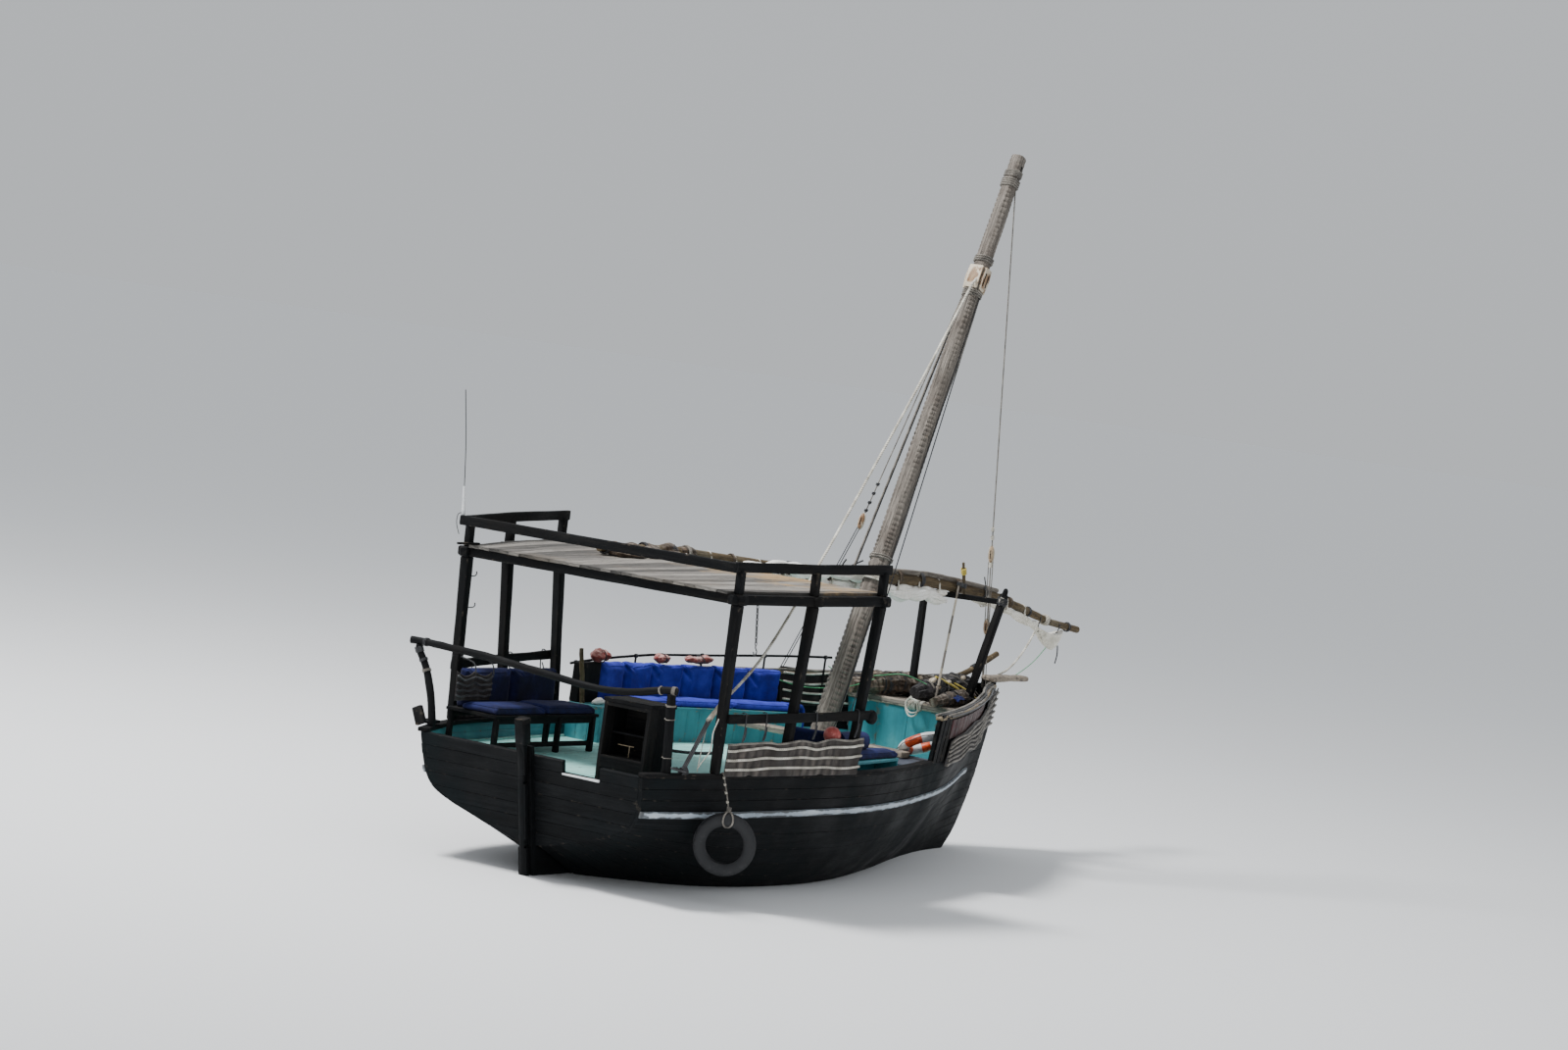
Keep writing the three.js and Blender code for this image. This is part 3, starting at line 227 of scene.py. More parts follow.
# Joins parts into one mesh that rides on a body. Its "grain" map is in metres, along and round each
# part, or for a cord in diameters along and shares of a turn round.
def makePiece(name, parts, materials, body="root", stands=(), crease=40):
    verts, uvs, wears, tints, corners, starts, skins = [], [], [], [], [], [], []
    base = 0
    cornerCount = 0
    for number, p in enumerate(parts):
        points = np.asarray(p["points"], float)
        rows, cols = points.shape[:2]
        ring = np.concatenate([points, points[:, :1]], axis=1) if p["closed"] else points
        run = np.concatenate([points, points[:1]]) if p["loop"] else points
        lengths = np.linalg.norm(np.diff(run, axis=0), axis=2).mean(1)
        widths = np.linalg.norm(np.diff(ring, axis=1), axis=2).mean(0)
        u = np.concatenate([[0], np.cumsum(lengths)])
        v = np.concatenate([[0], np.cumsum(widths)])
        if p["cord"]:
            u, v = u / p["cord"], v / v[-1]
        u = u + 3.7 * number
        i, j = np.meshgrid(np.arange(len(u) - 1), np.arange(len(v) - 1), indexing="ij")
        i, j = i.ravel(), j.ravel()
        after = (i + 1) % rows
        quads = np.stack([i * cols + j, i * cols + (j + 1) % cols,
                          after * cols + (j + 1) % cols, after * cols + j], axis=1)
        quadUv = np.stack([np.stack([u[i], v[j]], 1), np.stack([u[i], v[j + 1]], 1),
                           np.stack([u[i + 1], v[j + 1]], 1), np.stack([u[i + 1], v[j]], 1)], axis=1)
        flat = points.reshape(-1, 3)
        capped = p["closed"] and p["caps"]
        if p["closed"]:
            a, b, c, d = (flat[quads[:, k]] for k in range(4))
            volume = (a * (np.cross(b, c) + np.cross(c, d))).sum()
            for end, sign in ((0, -1), (rows - 1, 1)):
                fan = points[end]
                if capped:
                    volume += sign * (fan[0] * np.cross(fan[1:-1], fan[2:]).sum(0)).sum()
            if volume < 0:
                quads = quads[:, ::-1]
                quadUv = quadUv[:, ::-1]
        corners.append(quads.ravel() + base)
        uvs.append(quadUv.reshape(-1, 2))
        starts.append(cornerCount + 4 * np.arange(len(quads)))
        cornerCount += 4 * len(quads)
        skins.append(np.full(len(quads), p["skin"]))
        if capped:
            for end, turned in ((0, volume > 0), (rows - 1, volume < 0)):
                order = np.arange(cols)[::-1] if turned else np.arange(cols)
                local = points[end] - points[end].mean(0)
                across = unit(local[0])
                over = unit(np.cross(np.cross(across, local[cols // 3]), across))
                corners.append(order + end * cols + base)
                uvs.append(np.stack([local @ across, local @ over], 1)[order] + u[0])
                starts.append(np.array([cornerCount]))
                cornerCount += cols
                skins.append(np.array([p["skin"]]))
        verts.append(flat)
        wears.append(np.broadcast_to(p["wear"], (rows, cols)).ravel())
        tints.append(np.broadcast_to(p["tint"], (rows, cols)).ravel())
        base += len(flat)
    verts = np.concatenate(verts)
    mesh = bpy.data.meshes.new(name)
    mesh.vertices.add(len(verts))
    mesh.vertices.foreach_set("co", verts.astype(np.float32).ravel())
    mesh.loops.add(cornerCount)
    mesh.loops.foreach_set("vertex_index", np.concatenate(corners).astype(np.int32))
    starts = np.concatenate(starts).astype(np.int32)
    mesh.polygons.add(len(starts))
    mesh.polygons.foreach_set("loop_start", starts)
    mesh.update(calc_edges=True)
    mesh.polygons.foreach_set("material_index", np.concatenate(skins).astype(np.int32))
    grain = mesh.uv_layers.new(name="grain")
    grain.data.foreach_set("uv", np.concatenate(uvs).astype(np.float32).ravel())
    for title, values in (("wear", wears), ("tint", tints)):
        attribute = mesh.attributes.new(title, "FLOAT", "POINT")
        attribute.data.foreach_set("value", np.concatenate(values).astype(np.float32))
    mesh.shade_smooth()
    mesh.set_sharp_from_angle(angle=np.radians(crease))
    for material in materials:
        mesh.materials.append(material)
    piece = bpy.data.objects.new(name, mesh)
    bpy.context.scene.collection.objects.link(piece)
    if body:
        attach(piece, body)
    if stands:
        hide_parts(*stands)
    return piece


# Carries a section along a path. The section is in metres, sideways and upwards, one for the whole
# path or one for each of its points.
def sweep(path, section, up=None, **settings):
    path = np.asarray(path, float)[:, :3]
    along = unit(np.gradient(path, axis=0))
    if up is None:
        up = np.linalg.svd(path - path.mean(0), full_matrices=False)[2][-1]
    side = unit(np.cross(along, up))
    over = np.cross(side, along)
    section = np.broadcast_to(section, (len(path), *np.shape(section)[-2:]))
    points = path[:, None] + side[:, None] * section[..., :1] + over[:, None] * section[..., 1:]
    return part(points, **settings)


# The places round a rounded rectangle: shares of the half width and half depth inside the corner
# radius, the direction out, and 1 on the corners.
def boxPattern(perCorner=4, perFace=2):
    signs = [(1, 1), (-1, 1), (-1, -1), (1, -1)]
    rows = []
    for turn, here in enumerate(signs):
        there = signs[(turn + 1) % 4]
        for angle in np.pi / 2 * (turn + np.linspace(0, 1, perCorner)):
            rows.append((*here, np.cos(angle), np.sin(angle), 1))
        for share in np.arange(1, perFace + 1) / (perFace + 1):
            middle = [a + (b - a) * share for a, b in zip(here, there)]
            rows.append((*middle, np.cos(np.pi / 2 * (turn + 1)), np.sin(np.pi / 2 * (turn + 1)), 0))
    return np.array(rows)


boxShape = boxPattern()


# A squared timber along a path, with rounded worn corners and slightly uneven faces. Wide is its
# size sideways and deep its size upwards, as one number or one for each point of the path.
def timber(path, wide, deep, up=(0, 0, 1), corner=0.16, uneven=0.003, seed=0, step=0.15, **settings):
    path = np.asarray(path, float)
    sizes = [np.broadcast_to(size, len(path)) for size in (wide, deep)]
    rows = resample(np.column_stack([path, *sizes]), step)
    radius = corner * min(rows[:, 3].min(), rows[:, 4].min())
    ends = [rows[0] + (rows[1] - rows[0]) * 0.02, rows[-1] + (rows[-2] - rows[-1]) * 0.02]
    if len(rows) > 1 and np.linalg.norm(rows[1, :3] - rows[0, :3]) > 4 * radius:
        lengthStep = np.linalg.norm(rows[1, :3] - rows[0, :3])
        ends = [rows[0] + (rows[1] - rows[0]) * radius / lengthStep,
                rows[-1] + (rows[-2] - rows[-1]) * radius / lengthStep]
    rows = np.concatenate([rows[:1], [ends[0]], rows[1:-1], [ends[1]], rows[-1:]])
    fx, fy, ax, ay, edge = boxShape.T
    half = rows[:, 3:, None] / 2
    shrink = np.ones(len(rows))
    shrink[[0, -1]] = 1 - 0.7 * radius / half.min()
    section = np.stack([fx * (half[:, 0] - radius) + ax * radius,
                        fy * (half[:, 1] - radius) + ay * radius], axis=-1) * shrink[:, None, None]
    wear = np.broadcast_to(edge, (len(rows), len(edge))).copy()
    wear[[0, 1, -2, -1]] = 1
    made = sweep(rows, section, up=np.asarray(up, float), **{"wear": wear, **settings})
    centre = rows[:, None, :3]
    points = made["points"]
    made["points"] = points + unit(points - centre) * (uneven * ripple(points, 0.5, seed))[..., None]
    return made


# A round bar along a path, with one radius or one for each point.
def tube(path, radius, sides=12, step=None, uneven=0.0, size=0.3, seed=0, up=None, **settings):
    path = np.asarray(path, float)
    rows = np.column_stack([path[:, :3], np.broadcast_to(radius, len(path))])
    if step:
        rows = resample(rows, step)
    angles = 2 * np.pi * np.arange(sides) / sides
    circle = np.stack([np.cos(angles), np.sin(angles)], axis=1)
    made = sweep(rows, rows[:, 3, None, None] * circle, up=up, **settings)
    if uneven:
        points = made["points"]
        out = unit(points - rows[:, None, :3])
        made["points"] = points + out * (uneven * ripple(points, size, seed))[..., None]
    return made


strandPitch = 3.5
strandFrom = 0.026


# A laid rope. One at least 26 mm thick has three strands, which turn once in 3.5 diameters; a
# thinner one is round, and its material shows the lay.
def rope(path, diameter, **settings):
    thick = diameter >= strandFrom
    rows = resample(np.asarray(path, float)[:, :3], diameter * (0.4 if thick else 1.6))
    angles = 2 * np.pi * np.arange(12 if thick else 7) / (12 if thick else 7)
    circle = np.stack([np.cos(angles), np.sin(angles)], axis=1)
    radius = np.full((len(rows), len(angles)), diameter / 2)
    if thick:
        turn = np.arange(len(rows)) * 0.4 / strandPitch * 2 * np.pi
        radius *= 0.82 + 0.2 * np.abs(np.cos(1.5 * (angles + turn[:, None])))
    return sweep(rows, radius[..., None] * circle, cord=diameter, **settings)


# Turns of rope round a bar: a helix about a centre, one diameter apart.
def lashing(centre, along, half, diameter, turns, **settings):
    along = unit(np.asarray(along, float))
    side = unit(np.cross(along, (0.3, 1, 0.2)))
    over = np.cross(along, side)
    angle = np.linspace(0, 2 * np.pi * turns, int(14 * turns) + 1)
    reach = half + diameter * 0.45
    lift = (angle / (2 * np.pi) - turns / 2) * diameter * 1.05
    path = np.asarray(centre, float) + along * lift[:, None] + reach * (
        side * np.cos(angle)[:, None] + over * np.sin(angle)[:, None])
    angles = 2 * np.pi * np.arange(7) / 7
    circle = np.stack([np.cos(angles), np.sin(angles)], axis=1) * diameter / 2
    return sweep(path, circle, up=along, cord=diameter, **settings)


# A board whose outer face is a grid of points, with rounded worn edges. Down is the direction of
# its thickness, one for the board or one for each row, and cup is how far its middle stands proud.
def board(face, down, thick, edge=0.005, cup=0.0, uneven=0.0015, seed=0, **settings):
    face = np.asarray(face, float)
    down = np.broadcast_to(down, (len(face), 3))
    first = unit(face[:, 1] - face[:, 0])
    last = unit(face[:, -1] - face[:, -2])
    share = np.linspace(-1, 1, face.shape[1])
    rise = cup * (1 - share ** 2) + uneven * ripple(face, 0.4, seed)
    face = face - down[:, None] * rise[..., None]
    columns = [face[:, 0] + down * thick, face[:, 0] + down * edge, face[:, 0] + first * edge,
               *face[:, 1:-1].transpose(1, 0, 2),
               face[:, -1] - last * edge, face[:, -1] + down * edge, face[:, -1] + down * thick]
    points = np.stack(columns, axis=1)
    wear = np.zeros(points.shape[:2])
    wear[:, [1, 2, -3, -2]] = 1
    wear[[0, -1]] = 1
    tint = np.random.default_rng(seed + 900).uniform()
    return part(points, **{"wear": wear, "tint": tint, **settings})


# A flat board between corners a, b, c, d, where a to b is its length and a to d its width.
def plank(a, b, c, d, down, thick, rows=12, cols=3, **settings):
    a, b, c, d = (np.asarray(p, float) for p in (a, b, c, d))
    s = np.linspace(0, 1, rows)[:, None, None]
    t = np.linspace(0, 1, cols)[None, :, None]
    face = (a * (1 - s) + b * s) * (1 - t) + (d * (1 - s) + c * s) * t
    return board(face, unit(np.asarray(down, float)), thick, **settings)


def mirrored(parts):
    return [{**p, "points": np.asarray(p["points"]) * (1, -1, 1)} for p in parts]


print("shape helpers ready")


# Materials

# Timber along its grain: fibres and long streaks between three colours, broad stains, a tint for
# each board, drying cracks darkened as painted shade of their depth, and edges worn to another
# colour. A coat of paint, where there is one, covers all this and is chipped where the timber is worn.
# Lengths in the looks are in metres.
def woodMaterial(name, look, grainAxis=None):
    material, tree, shader = newMaterial(name)
    body = addNode(tree, "TexCoord").outputs["Object"]
    place = body
    order = [0, 1, 2]
    if grainAxis is None:
        place = addNode(tree, "UVMap", {"uv_map": "grain"})
    else:
        order = [grainAxis, *[axis for axis in range(3) if axis != grainAxis]]

    # Noise whose spots have one size along the grain and another across it.
    def drawn(along, across, detail):
        scale = [1 / across] * 3
        scale[order[0]] = 1 / along
        spread = addNode(tree, "Mapping", {"Scale": scale}, {"Vector": place})
        return addNode(tree, "TexNoise", {"Scale": 1.0, "Detail": detail, "Roughness": 0.6},
                       {"Vector": spread})

    fibres = drawn(*look.get("fibre", (0.12, 0.006)), 3.0)
    streaks = drawn(*look.get("streak", (0.9, 0.05)), 5.0)
    cracks = drawn(*look.get("crack", (0.7, 0.045)), 2.0)
    patches = addNode(tree, "TexNoise", {"Scale": 1 / look.get("patch", 0.7), "Detail": 7.0,
                                         "Roughness": 0.62}, {"Vector": body})
    chips = addNode(tree, "TexNoise", {"Scale": 1 / look.get("chip", 0.09), "Detail": 6.0,
                                       "Roughness": 0.65}, {"Vector": body})
    tint = addNode(tree, "Attribute", {"attribute_name": "tint"}).outputs["Fac"]
    wear = addNode(tree, "Attribute", {"attribute_name": "wear"}).outputs["Fac"]

    boardTint = look.get("boardTint", 0.25)
    shade = addNode(tree, "Math", {"operation": "MULTIPLY_ADD", 1: boardTint, 2: -boardTint / 2}, {0: tint})
    shade = addNode(tree, "Math", {"operation": "MULTIPLY_ADD", 1: look.get("fibreShare", 0.6)},
                    {0: fibres, 2: shade})
    shade = addNode(tree, "Math", {"operation": "MULTIPLY_ADD", 1: 1.0}, {0: streaks, 2: shade})
    middle = 0.5 + 0.5 * look.get("fibreShare", 0.6)
    shade = addNode(tree, "MapRange", {"From Min": middle - 0.3, "From Max": middle + 0.3}, {"Value": shade})
    colour = addNode(tree, "ValToRGB", {"stops": list(zip((0.0, 0.5, 1.0), look["wood"]))}, {"Fac": shade})

    stainShare = addNode(tree, "MapRange", {"From Min": look.get("stainFrom", 0.5),
                                            "From Max": look.get("stainTo", 0.66),
                                            "To Max": look.get("stainMost", 0.7)}, {"Value": patches})
    colour = addNode(tree, "Mix", {"data_type": "RGBA", mixB: hexColour(look["stain"])},
                     {0: stainShare, mixA: colour})
    crackLine = addNode(tree, "Math", {"operation": "SUBTRACT", 1: 0.5}, {0: cracks})
    crackLine = addNode(tree, "Math", {"operation": "ABSOLUTE"}, {0: crackLine})
    crackLine = addNode(tree, "MapRange", {"From Min": 0.0, "From Max": look.get("crackWide", 0.012),
                                           "To Min": 1.0, "To Max": 0.0}, {"Value": crackLine})
    # The crack lines take the darkest wood colour: painted shade of the cracks' depth.
    crackShade = addNode(tree, "Math", {"operation": "MULTIPLY", 1: look.get("crackShadeMost", 0.6)},
                         {0: crackLine})
    colour = addNode(tree, "Mix", {"data_type": "RGBA", mixB: hexColour(look["wood"][0])},
                     {0: crackShade, mixA: colour})

    worn = addNode(tree, "Math", {"operation": "MULTIPLY_ADD", 1: look.get("wearGain", 0.35)},
                   {0: wear, 2: chips})
    wearFrom = look.get("wearFrom", 0.72)
    worn = addNode(tree, "MapRange", {"From Min": wearFrom,
                                      "From Max": wearFrom + look.get("wearSoft", 0.12)}, {"Value": worn})
    wornShare = addNode(tree, "Math", {"operation": "MULTIPLY", 1: look.get("wearMost", 0.8)}, {0: worn})
    height = addNode(tree, "Math", {"operation": "SUBTRACT"}, {0: shade, 1: crackLine})
    if "coat" in look:
        bare = colour
        coatStops = list(zip((0.3, 0.5, 0.72), look["coat"]))
        colour = addNode(tree, "ValToRGB", {"stops": coatStops}, {"Fac": patches})
        grime = addNode(tree, "MapRange", {"From Min": 0.35, "From Max": 0.75,
                                           "To Max": look.get("grime", 0.25)}, {"Value": streaks})
        colour = addNode(tree, "Mix", {"data_type": "RGBA", mixB: hexColour(look["stain"])},
                         {0: grime, mixA: colour})
        colour = addNode(tree, "Mix", {"data_type": "RGBA"}, {0: wornShare, mixA: colour, mixB: bare})
        soft = addNode(tree, "Math", {"operation": "MULTIPLY", 1: look.get("throughCoat", 0.3)}, {0: height})
        height = addNode(tree, "Math", {"operation": "SUBTRACT"}, {0: soft, 1: worn})
    else:
        colour = addNode(tree, "Mix", {"data_type": "RGBA", mixB: hexColour(look["worn"])},
                         {0: wornShare, mixA: colour})
    rough = addNode(tree, "MapRange", {"From Min": 0.35, "From Max": 0.65, "To Min": look["rough"][0],
                                       "To Max": look["rough"][1]}, {"Value": patches})
    bump = addNode(tree, "Bump", {"Strength": 0.6, "Distance": look.get("relief", 0.0015)},
                   {"Height": height})
    tree.links.new(colour.outputs[2 if colour.bl_idname == "ShaderNodeMix" else 0],
                   shader.inputs["Base Color"])
    tree.links.new(rough.outputs[0], shader.inputs["Roughness"])
    tree.links.new(bump.outputs[0], shader.inputs["Normal"])
    shader.inputs["Specular IOR Level"].default_value = look.get("specular", 0.4)
    return material


# Woven cloth: a weave of crossing threads, broad creases, a colour lighter where the cloth faces up and
# darker where it faces down, partly sun fading and partly painted top light and underside shade, and
# stains. Sheen is the pale edge that nap and dust give it.
def clothMaterial(name, look):
    material, tree, shader = newMaterial(name)
    body = addNode(tree, "TexCoord").outputs["Object"]
    turned = addNode(tree, "Mapping", {"Rotation": look.get("turn", (0.3, 0.2, 0.5))}, {"Vector": body})
    patches = addNode(tree, "TexNoise", {"Scale": 1 / look.get("patch", 0.25), "Detail": 7.0,
                                         "Roughness": 0.65}, {"Vector": body})
    creases = addNode(tree, "TexNoise", {"Scale": 1 / look.get("crease", 0.09), "Detail": 3.0,
                                         "Distortion": 1.2}, {"Vector": body})
    warp = addNode(tree, "TexWave", {"Scale": 0.05 / look["thread"], "bands_direction": "X"},
                   {"Vector": turned})
    weft = addNode(tree, "TexWave", {"Scale": 0.05 / look["thread"], "bands_direction": "Y"},
                   {"Vector": turned})
    weave = addNode(tree, "Math", {"operation": "MAXIMUM"}, {0: warp, 1: weft})
    normal = addNode(tree, "NewGeometry").outputs["Normal"]
    upward = addNode(tree, "SeparateXYZ", links={"Vector": normal}).outputs["Z"]
    tint = addNode(tree, "Attribute", {"attribute_name": "tint"}).outputs["Fac"]
    # Faces that point up are made lighter and faces that point down darker: partly sun fading, partly
    # painted top light and underside shade.
    shade = addNode(tree, "Math", {"operation": "MULTIPLY_ADD", 1: look.get("fadeAndTopLight", 0.3)},
                    {0: upward, 2: patches})
    shade = addNode(tree, "Math", {"operation": "MULTIPLY_ADD", 1: look.get("pieceTint", 0.1)},
                    {0: tint, 2: shade})
    colour = addNode(tree, "ValToRGB", {"stops": list(zip((0.3, 0.55, 0.95), look["cloth"]))},
                     {"Fac": shade})
    thread = addNode(tree, "MapRange", {"To Min": 0.0, "To Max": look.get("weaveShare", 0.12)},
                     {"Value": weave})
    colour = addNode(tree, "Mix", {"data_type": "RGBA", mixB: hexColour(look["cloth"][0])},
                     {0: thread, mixA: colour})
    stain = addNode(tree, "MapRange", {"From Min": 0.56, "From Max": 0.7,
                                       "To Max": look.get("stainMost", 0.3)}, {"Value": creases})
    colour = addNode(tree, "Mix", {"data_type": "RGBA", mixB: hexColour(look["stain"])},
                     {0: stain, mixA: colour})
    fine = addNode(tree, "Bump", {"Strength": 0.35, "Distance": look["thread"] * 0.4}, {"Height": weave})
    broad = addNode(tree, "Bump", {"Strength": 0.5, "Distance": look.get("creaseDeep", 0.01)},
                    {"Height": creases, "Normal": fine})
    tree.links.new(colour.outputs[2], shader.inputs["Base Color"])
    tree.links.new(broad.outputs[0], shader.inputs["Normal"])
    shader.inputs["Roughness"].default_value = look["rough"]
    shader.inputs["Sheen Weight"].default_value = look.get("sheen", 0.2)
    shader.inputs["Sheen Roughness"].default_value = 0.5
    shader.inputs["Specular IOR Level"].default_value = 0.25
    return material


# Laid rope on the "grain" map, in diameters along and turns round: three strands a turn every 3.5
# diameters, darker in the grooves where they meet as painted shade, with fuzz and grime along the length.
def ropeMaterial(name, look):
    material, tree, shader = newMaterial(name)
    place = addNode(tree, "UVMap", {"uv_map": "grain"})
    axes = addNode(tree, "SeparateXYZ", links={"Vector": place})
    body = addNode(tree, "TexCoord").outputs["Object"]
    turns = addNode(tree, "Math", {"operation": "MULTIPLY_ADD", 1: 1 / strandPitch}, {0: axes.outputs["X"],
                                                                                     2: axes.outputs["Y"]})
    phase = addNode(tree, "Math", {"operation": "MULTIPLY", 1: 3 * np.pi}, {0: turns})
    strand = addNode(tree, "Math", {"operation": "COSINE"}, {0: phase})
    strand = addNode(tree, "Math", {"operation": "ABSOLUTE"}, {0: strand})
    grime = addNode(tree, "TexNoise", {"Scale": 1 / look.get("patch", 0.12), "Detail": 6.0,
                                       "Roughness": 0.6}, {"Vector": body})
    fuzz = addNode(tree, "TexNoise", {"Scale": 900.0, "Detail": 2.0}, {"Vector": body})
    # The colour follows the strands and is darker in the grooves between them: painted shade.
    shade = addNode(tree, "Math", {"operation": "MULTIPLY_ADD", 1: 0.3}, {0: strand, 2: grime})
    colour = addNode(tree, "ValToRGB", {"stops": list(zip((0.4, 0.68, 0.95), look["fibre"]))},
                     {"Fac": shade})
    height = addNode(tree, "Math", {"operation": "MULTIPLY_ADD", 1: 0.15}, {0: fuzz, 2: strand})
    bump = addNode(tree, "Bump", {"Strength": 0.7, "Distance": look.get("relief", 0.002)},
                   {"Height": height})
    tree.links.new(colour.outputs[0], shader.inputs["Base Color"])
    tree.links.new(bump.outputs[0], shader.inputs["Normal"])
    shader.inputs["Roughness"].default_value = look["rough"]
    shader.inputs["Sheen Weight"].default_value = 0.15
    shader.inputs["Specular IOR Level"].default_value = 0.3
    return material


# A smooth hard or rubbery surface with dust, scuffs and small pits.
def hardMaterial(name, look):
    material, tree, shader = newMaterial(name)
    body = addNode(tree, "TexCoord").outputs["Object"]
    dust = addNode(tree, "TexNoise", {"Scale": 1 / look.get("patch", 0.08), "Detail": 8.0, "Roughness": 0.7},
                   {"Vector": body})
    pits = addNode(tree, "TexNoise", {"Scale": 1 / look.get("pit", 0.006), "Detail": 3.0}, {"Vector": body})
    colour = addNode(tree, "ValToRGB", {"stops": list(zip((0.36, 0.55, 0.74), look["colours"]))},
                     {"Fac": dust})
    rough = addNode(tree, "MapRange", {"From Min": 0.35, "From Max": 0.7, "To Min": look["rough"][0],
                                       "To Max": look["rough"][1]}, {"Value": dust})
    bump = addNode(tree, "Bump", {"Strength": 0.4, "Distance": look.get("relief", 0.0006)}, {"Height": pits})
    tree.links.new(colour.outputs[0], shader.inputs["Base Color"])
    tree.links.new(rough.outputs[0], shader.inputs["Roughness"])
    tree.links.new(bump.outputs[0], shader.inputs["Normal"])
    shader.inputs["Metallic"].default_value = look.get("metal", 0.0)
    return material


# Tar and old engine oil on planks: nearly black with a blue cast, glossy in patches, and rubbed to
# grey brown where ropes and hulls touch it.
tarLook = {
    "wood": ("#060708", "#0c0e10", "#191b1d"), "stain": "#141b1d", "worn": "#4d463e", "rough": (0.5, 0.85),
    "boardTint": 0.2, "wearFrom": 0.9, "wearMost": 0.45, "relief": 0.0015, "patch": 0.8, "specular": 0.12,
}
# Teak left to the sun: silver grey with sandy and orange streaks.
silverLook = {
    "wood": ("#2f2b28", "#706961", "#a39a90"), "stain": "#5c524b", "worn": "#b5a693",
    "rough": (0.7, 0.92), "boardTint": 0.45, "wearFrom": 0.74, "wearMost": 0.5, "relief": 0.004,
    "streak": (0.9, 0.025), "crackWide": 0.018, "crackShadeMost": 0.8,
}
# The roof boards: grey with brown streaks, and sandy where feet have taken the surface off.
roofLook = {
    "wood": ("#393735", "#68645f", "#928d86"), "stain": "#7d7366", "worn": "#a88a60", "rough": (0.8, 0.98),
    "stainFrom": 0.5, "stainTo": 0.66, "stainMost": 0.5, "boardTint": 0.5, "wearFrom": 0.78, "wearSoft": 0.2,
    "wearGain": 0.5, "chip": 0.5, "relief": 0.004, "patch": 0.9, "streak": (1.1, 0.03), "crackWide": 0.02,
    "crackShadeMost": 0.8,
}
# Thin gloss paint on boards, chalky and scuffed: the wood shows at chipped edges.
tealLook = {
    "wood": ("#3c342b", "#6f6252", "#94876f"), "stain": "#2a5157", "coat": ("#2c7480", "#3a8a95", "#64a9ad"),
    "rough": (0.4, 0.65), "wearFrom": 0.88, "wearMost": 0.9, "grime": 0.3, "relief": 0.001, "patch": 0.6,
}
deckLook = {
    "wood": ("#4a4238", "#7c715f", "#9d927e"), "stain": "#5f9592", "coat": ("#7fbfba", "#9bd6ce", "#bcece2"),
    "rough": (0.5, 0.75), "wearFrom": 0.86, "wearMost": 0.85, "grime": 0.4, "relief": 0.001, "patch": 0.9,
}
stripeLook = {
    "wood": ("#1c1d1f", "#3a3a39", "#5a5650"), "stain": "#6f7a82",
    "coat": ("#8f9ca8", "#b9c6d2", "#dfe5e8"), "rough": (0.5, 0.75), "wearFrom": 0.7, "wearMost": 0.9,
    "grime": 0.5, "relief": 0.001, "patch": 0.5, "chip": 0.16,
}
# Palm and mangrove poles with bark left on: brown, cracked and silvered in places.
barkLook = {
    "wood": ("#211b13", "#51432d", "#7d6a4c"), "stain": "#6f6858", "worn": "#948468", "rough": (0.75, 0.95),
    "streak": (0.35, 0.03), "fibre": (0.09, 0.008), "relief": 0.005, "stainMost": 0.8, "wearFrom": 0.66,
    "boardTint": 0.1,
}
# Boards and poles dark with tar but dry on top, and greyer all over than the wet tar.
dryTarLook = {
    "wood": ("#08090a", "#111214", "#24221f"), "stain": "#1d1b1a", "worn": "#5f564b", "rough": (0.6, 0.9),
    "boardTint": 0.3, "wearFrom": 0.93, "wearMost": 0.6, "relief": 0.002, "specular": 0.12,
}

greyBarkLook = {**barkLook, "wood": ("#2f2a25", "#69625a", "#968e83"), "stain": "#5e4a36"}

tarredPlanks = woodMaterial("tarred planking", tarLook)
tarredAlong = woodMaterial("tarred keel timber", tarLook, grainAxis=0)
tarredUpright = woodMaterial("tarred rudder timber", tarLook, grainAxis=2)
dryTarred = woodMaterial("dry tarred timber", dryTarLook)
silverWood = woodMaterial("sun-silvered teak", silverLook)
roofWood = woodMaterial("weathered roof boards", roofLook)
tealBoards = woodMaterial("teal painted boards", tealLook)
deckBoards = woodMaterial("pale aqua deck paint", deckLook)
stripeBoards = woodMaterial("worn pale stripe paint", stripeLook)
barkPole = woodMaterial("barked pole wood", barkLook)
greyBark = woodMaterial("greyed pole wood", greyBarkLook)
paleBark = woodMaterial("pale peeled pole wood", {
    "wood": ("#8a8173", "#bdb3a2", "#ddd5c6"), "stain": "#a08d74", "worn": "#e2dccf", "rough": (0.6, 0.85),
    "relief": 0.0015, "streak": (0.4, 0.02)})
corkFloat = woodMaterial("weathered net cork", {
    "wood": ("#6d5a45", "#a78f70", "#d4c3a4"), "stain": "#8a7458", "worn": "#e0d6c2", "rough": (0.8, 0.95),
    "relief": 0.002, "patch": 0.03, "streak": (0.05, 0.02), "wearFrom": 0.6})
blueGreyBoards = woodMaterial("dusty blue-grey paint", {
    "wood": ("#1c1d20", "#36373a", "#5a5854"), "stain": "#2b3038", "coat": ("#30353f", "#454c59", "#646c78"),
    "rough": (0.5, 0.8), "wearFrom": 0.86, "wearMost": 0.7, "grime": 0.5, "relief": 0.001, "patch": 0.5})
blockWood = woodMaterial("oiled block wood", {
    "wood": ("#4f3826", "#8a6a4c", "#b59a78"), "stain": "#c3b59c", "worn": "#d8cdb8", "rough": (0.45, 0.7),
    "relief": 0.001, "wearFrom": 0.7,
})
redBoards = woodMaterial("worn dark red paint", {
    "wood": ("#1d1412", "#3b2522", "#5a4038"), "stain": "#1c1113", "coat": ("#2a0c11", "#451219", "#66222b"),
    "rough": (0.5, 0.8), "wearFrom": 0.74, "wearMost": 0.85, "grime": 0.6, "relief": 0.0015, "patch": 0.3,
})
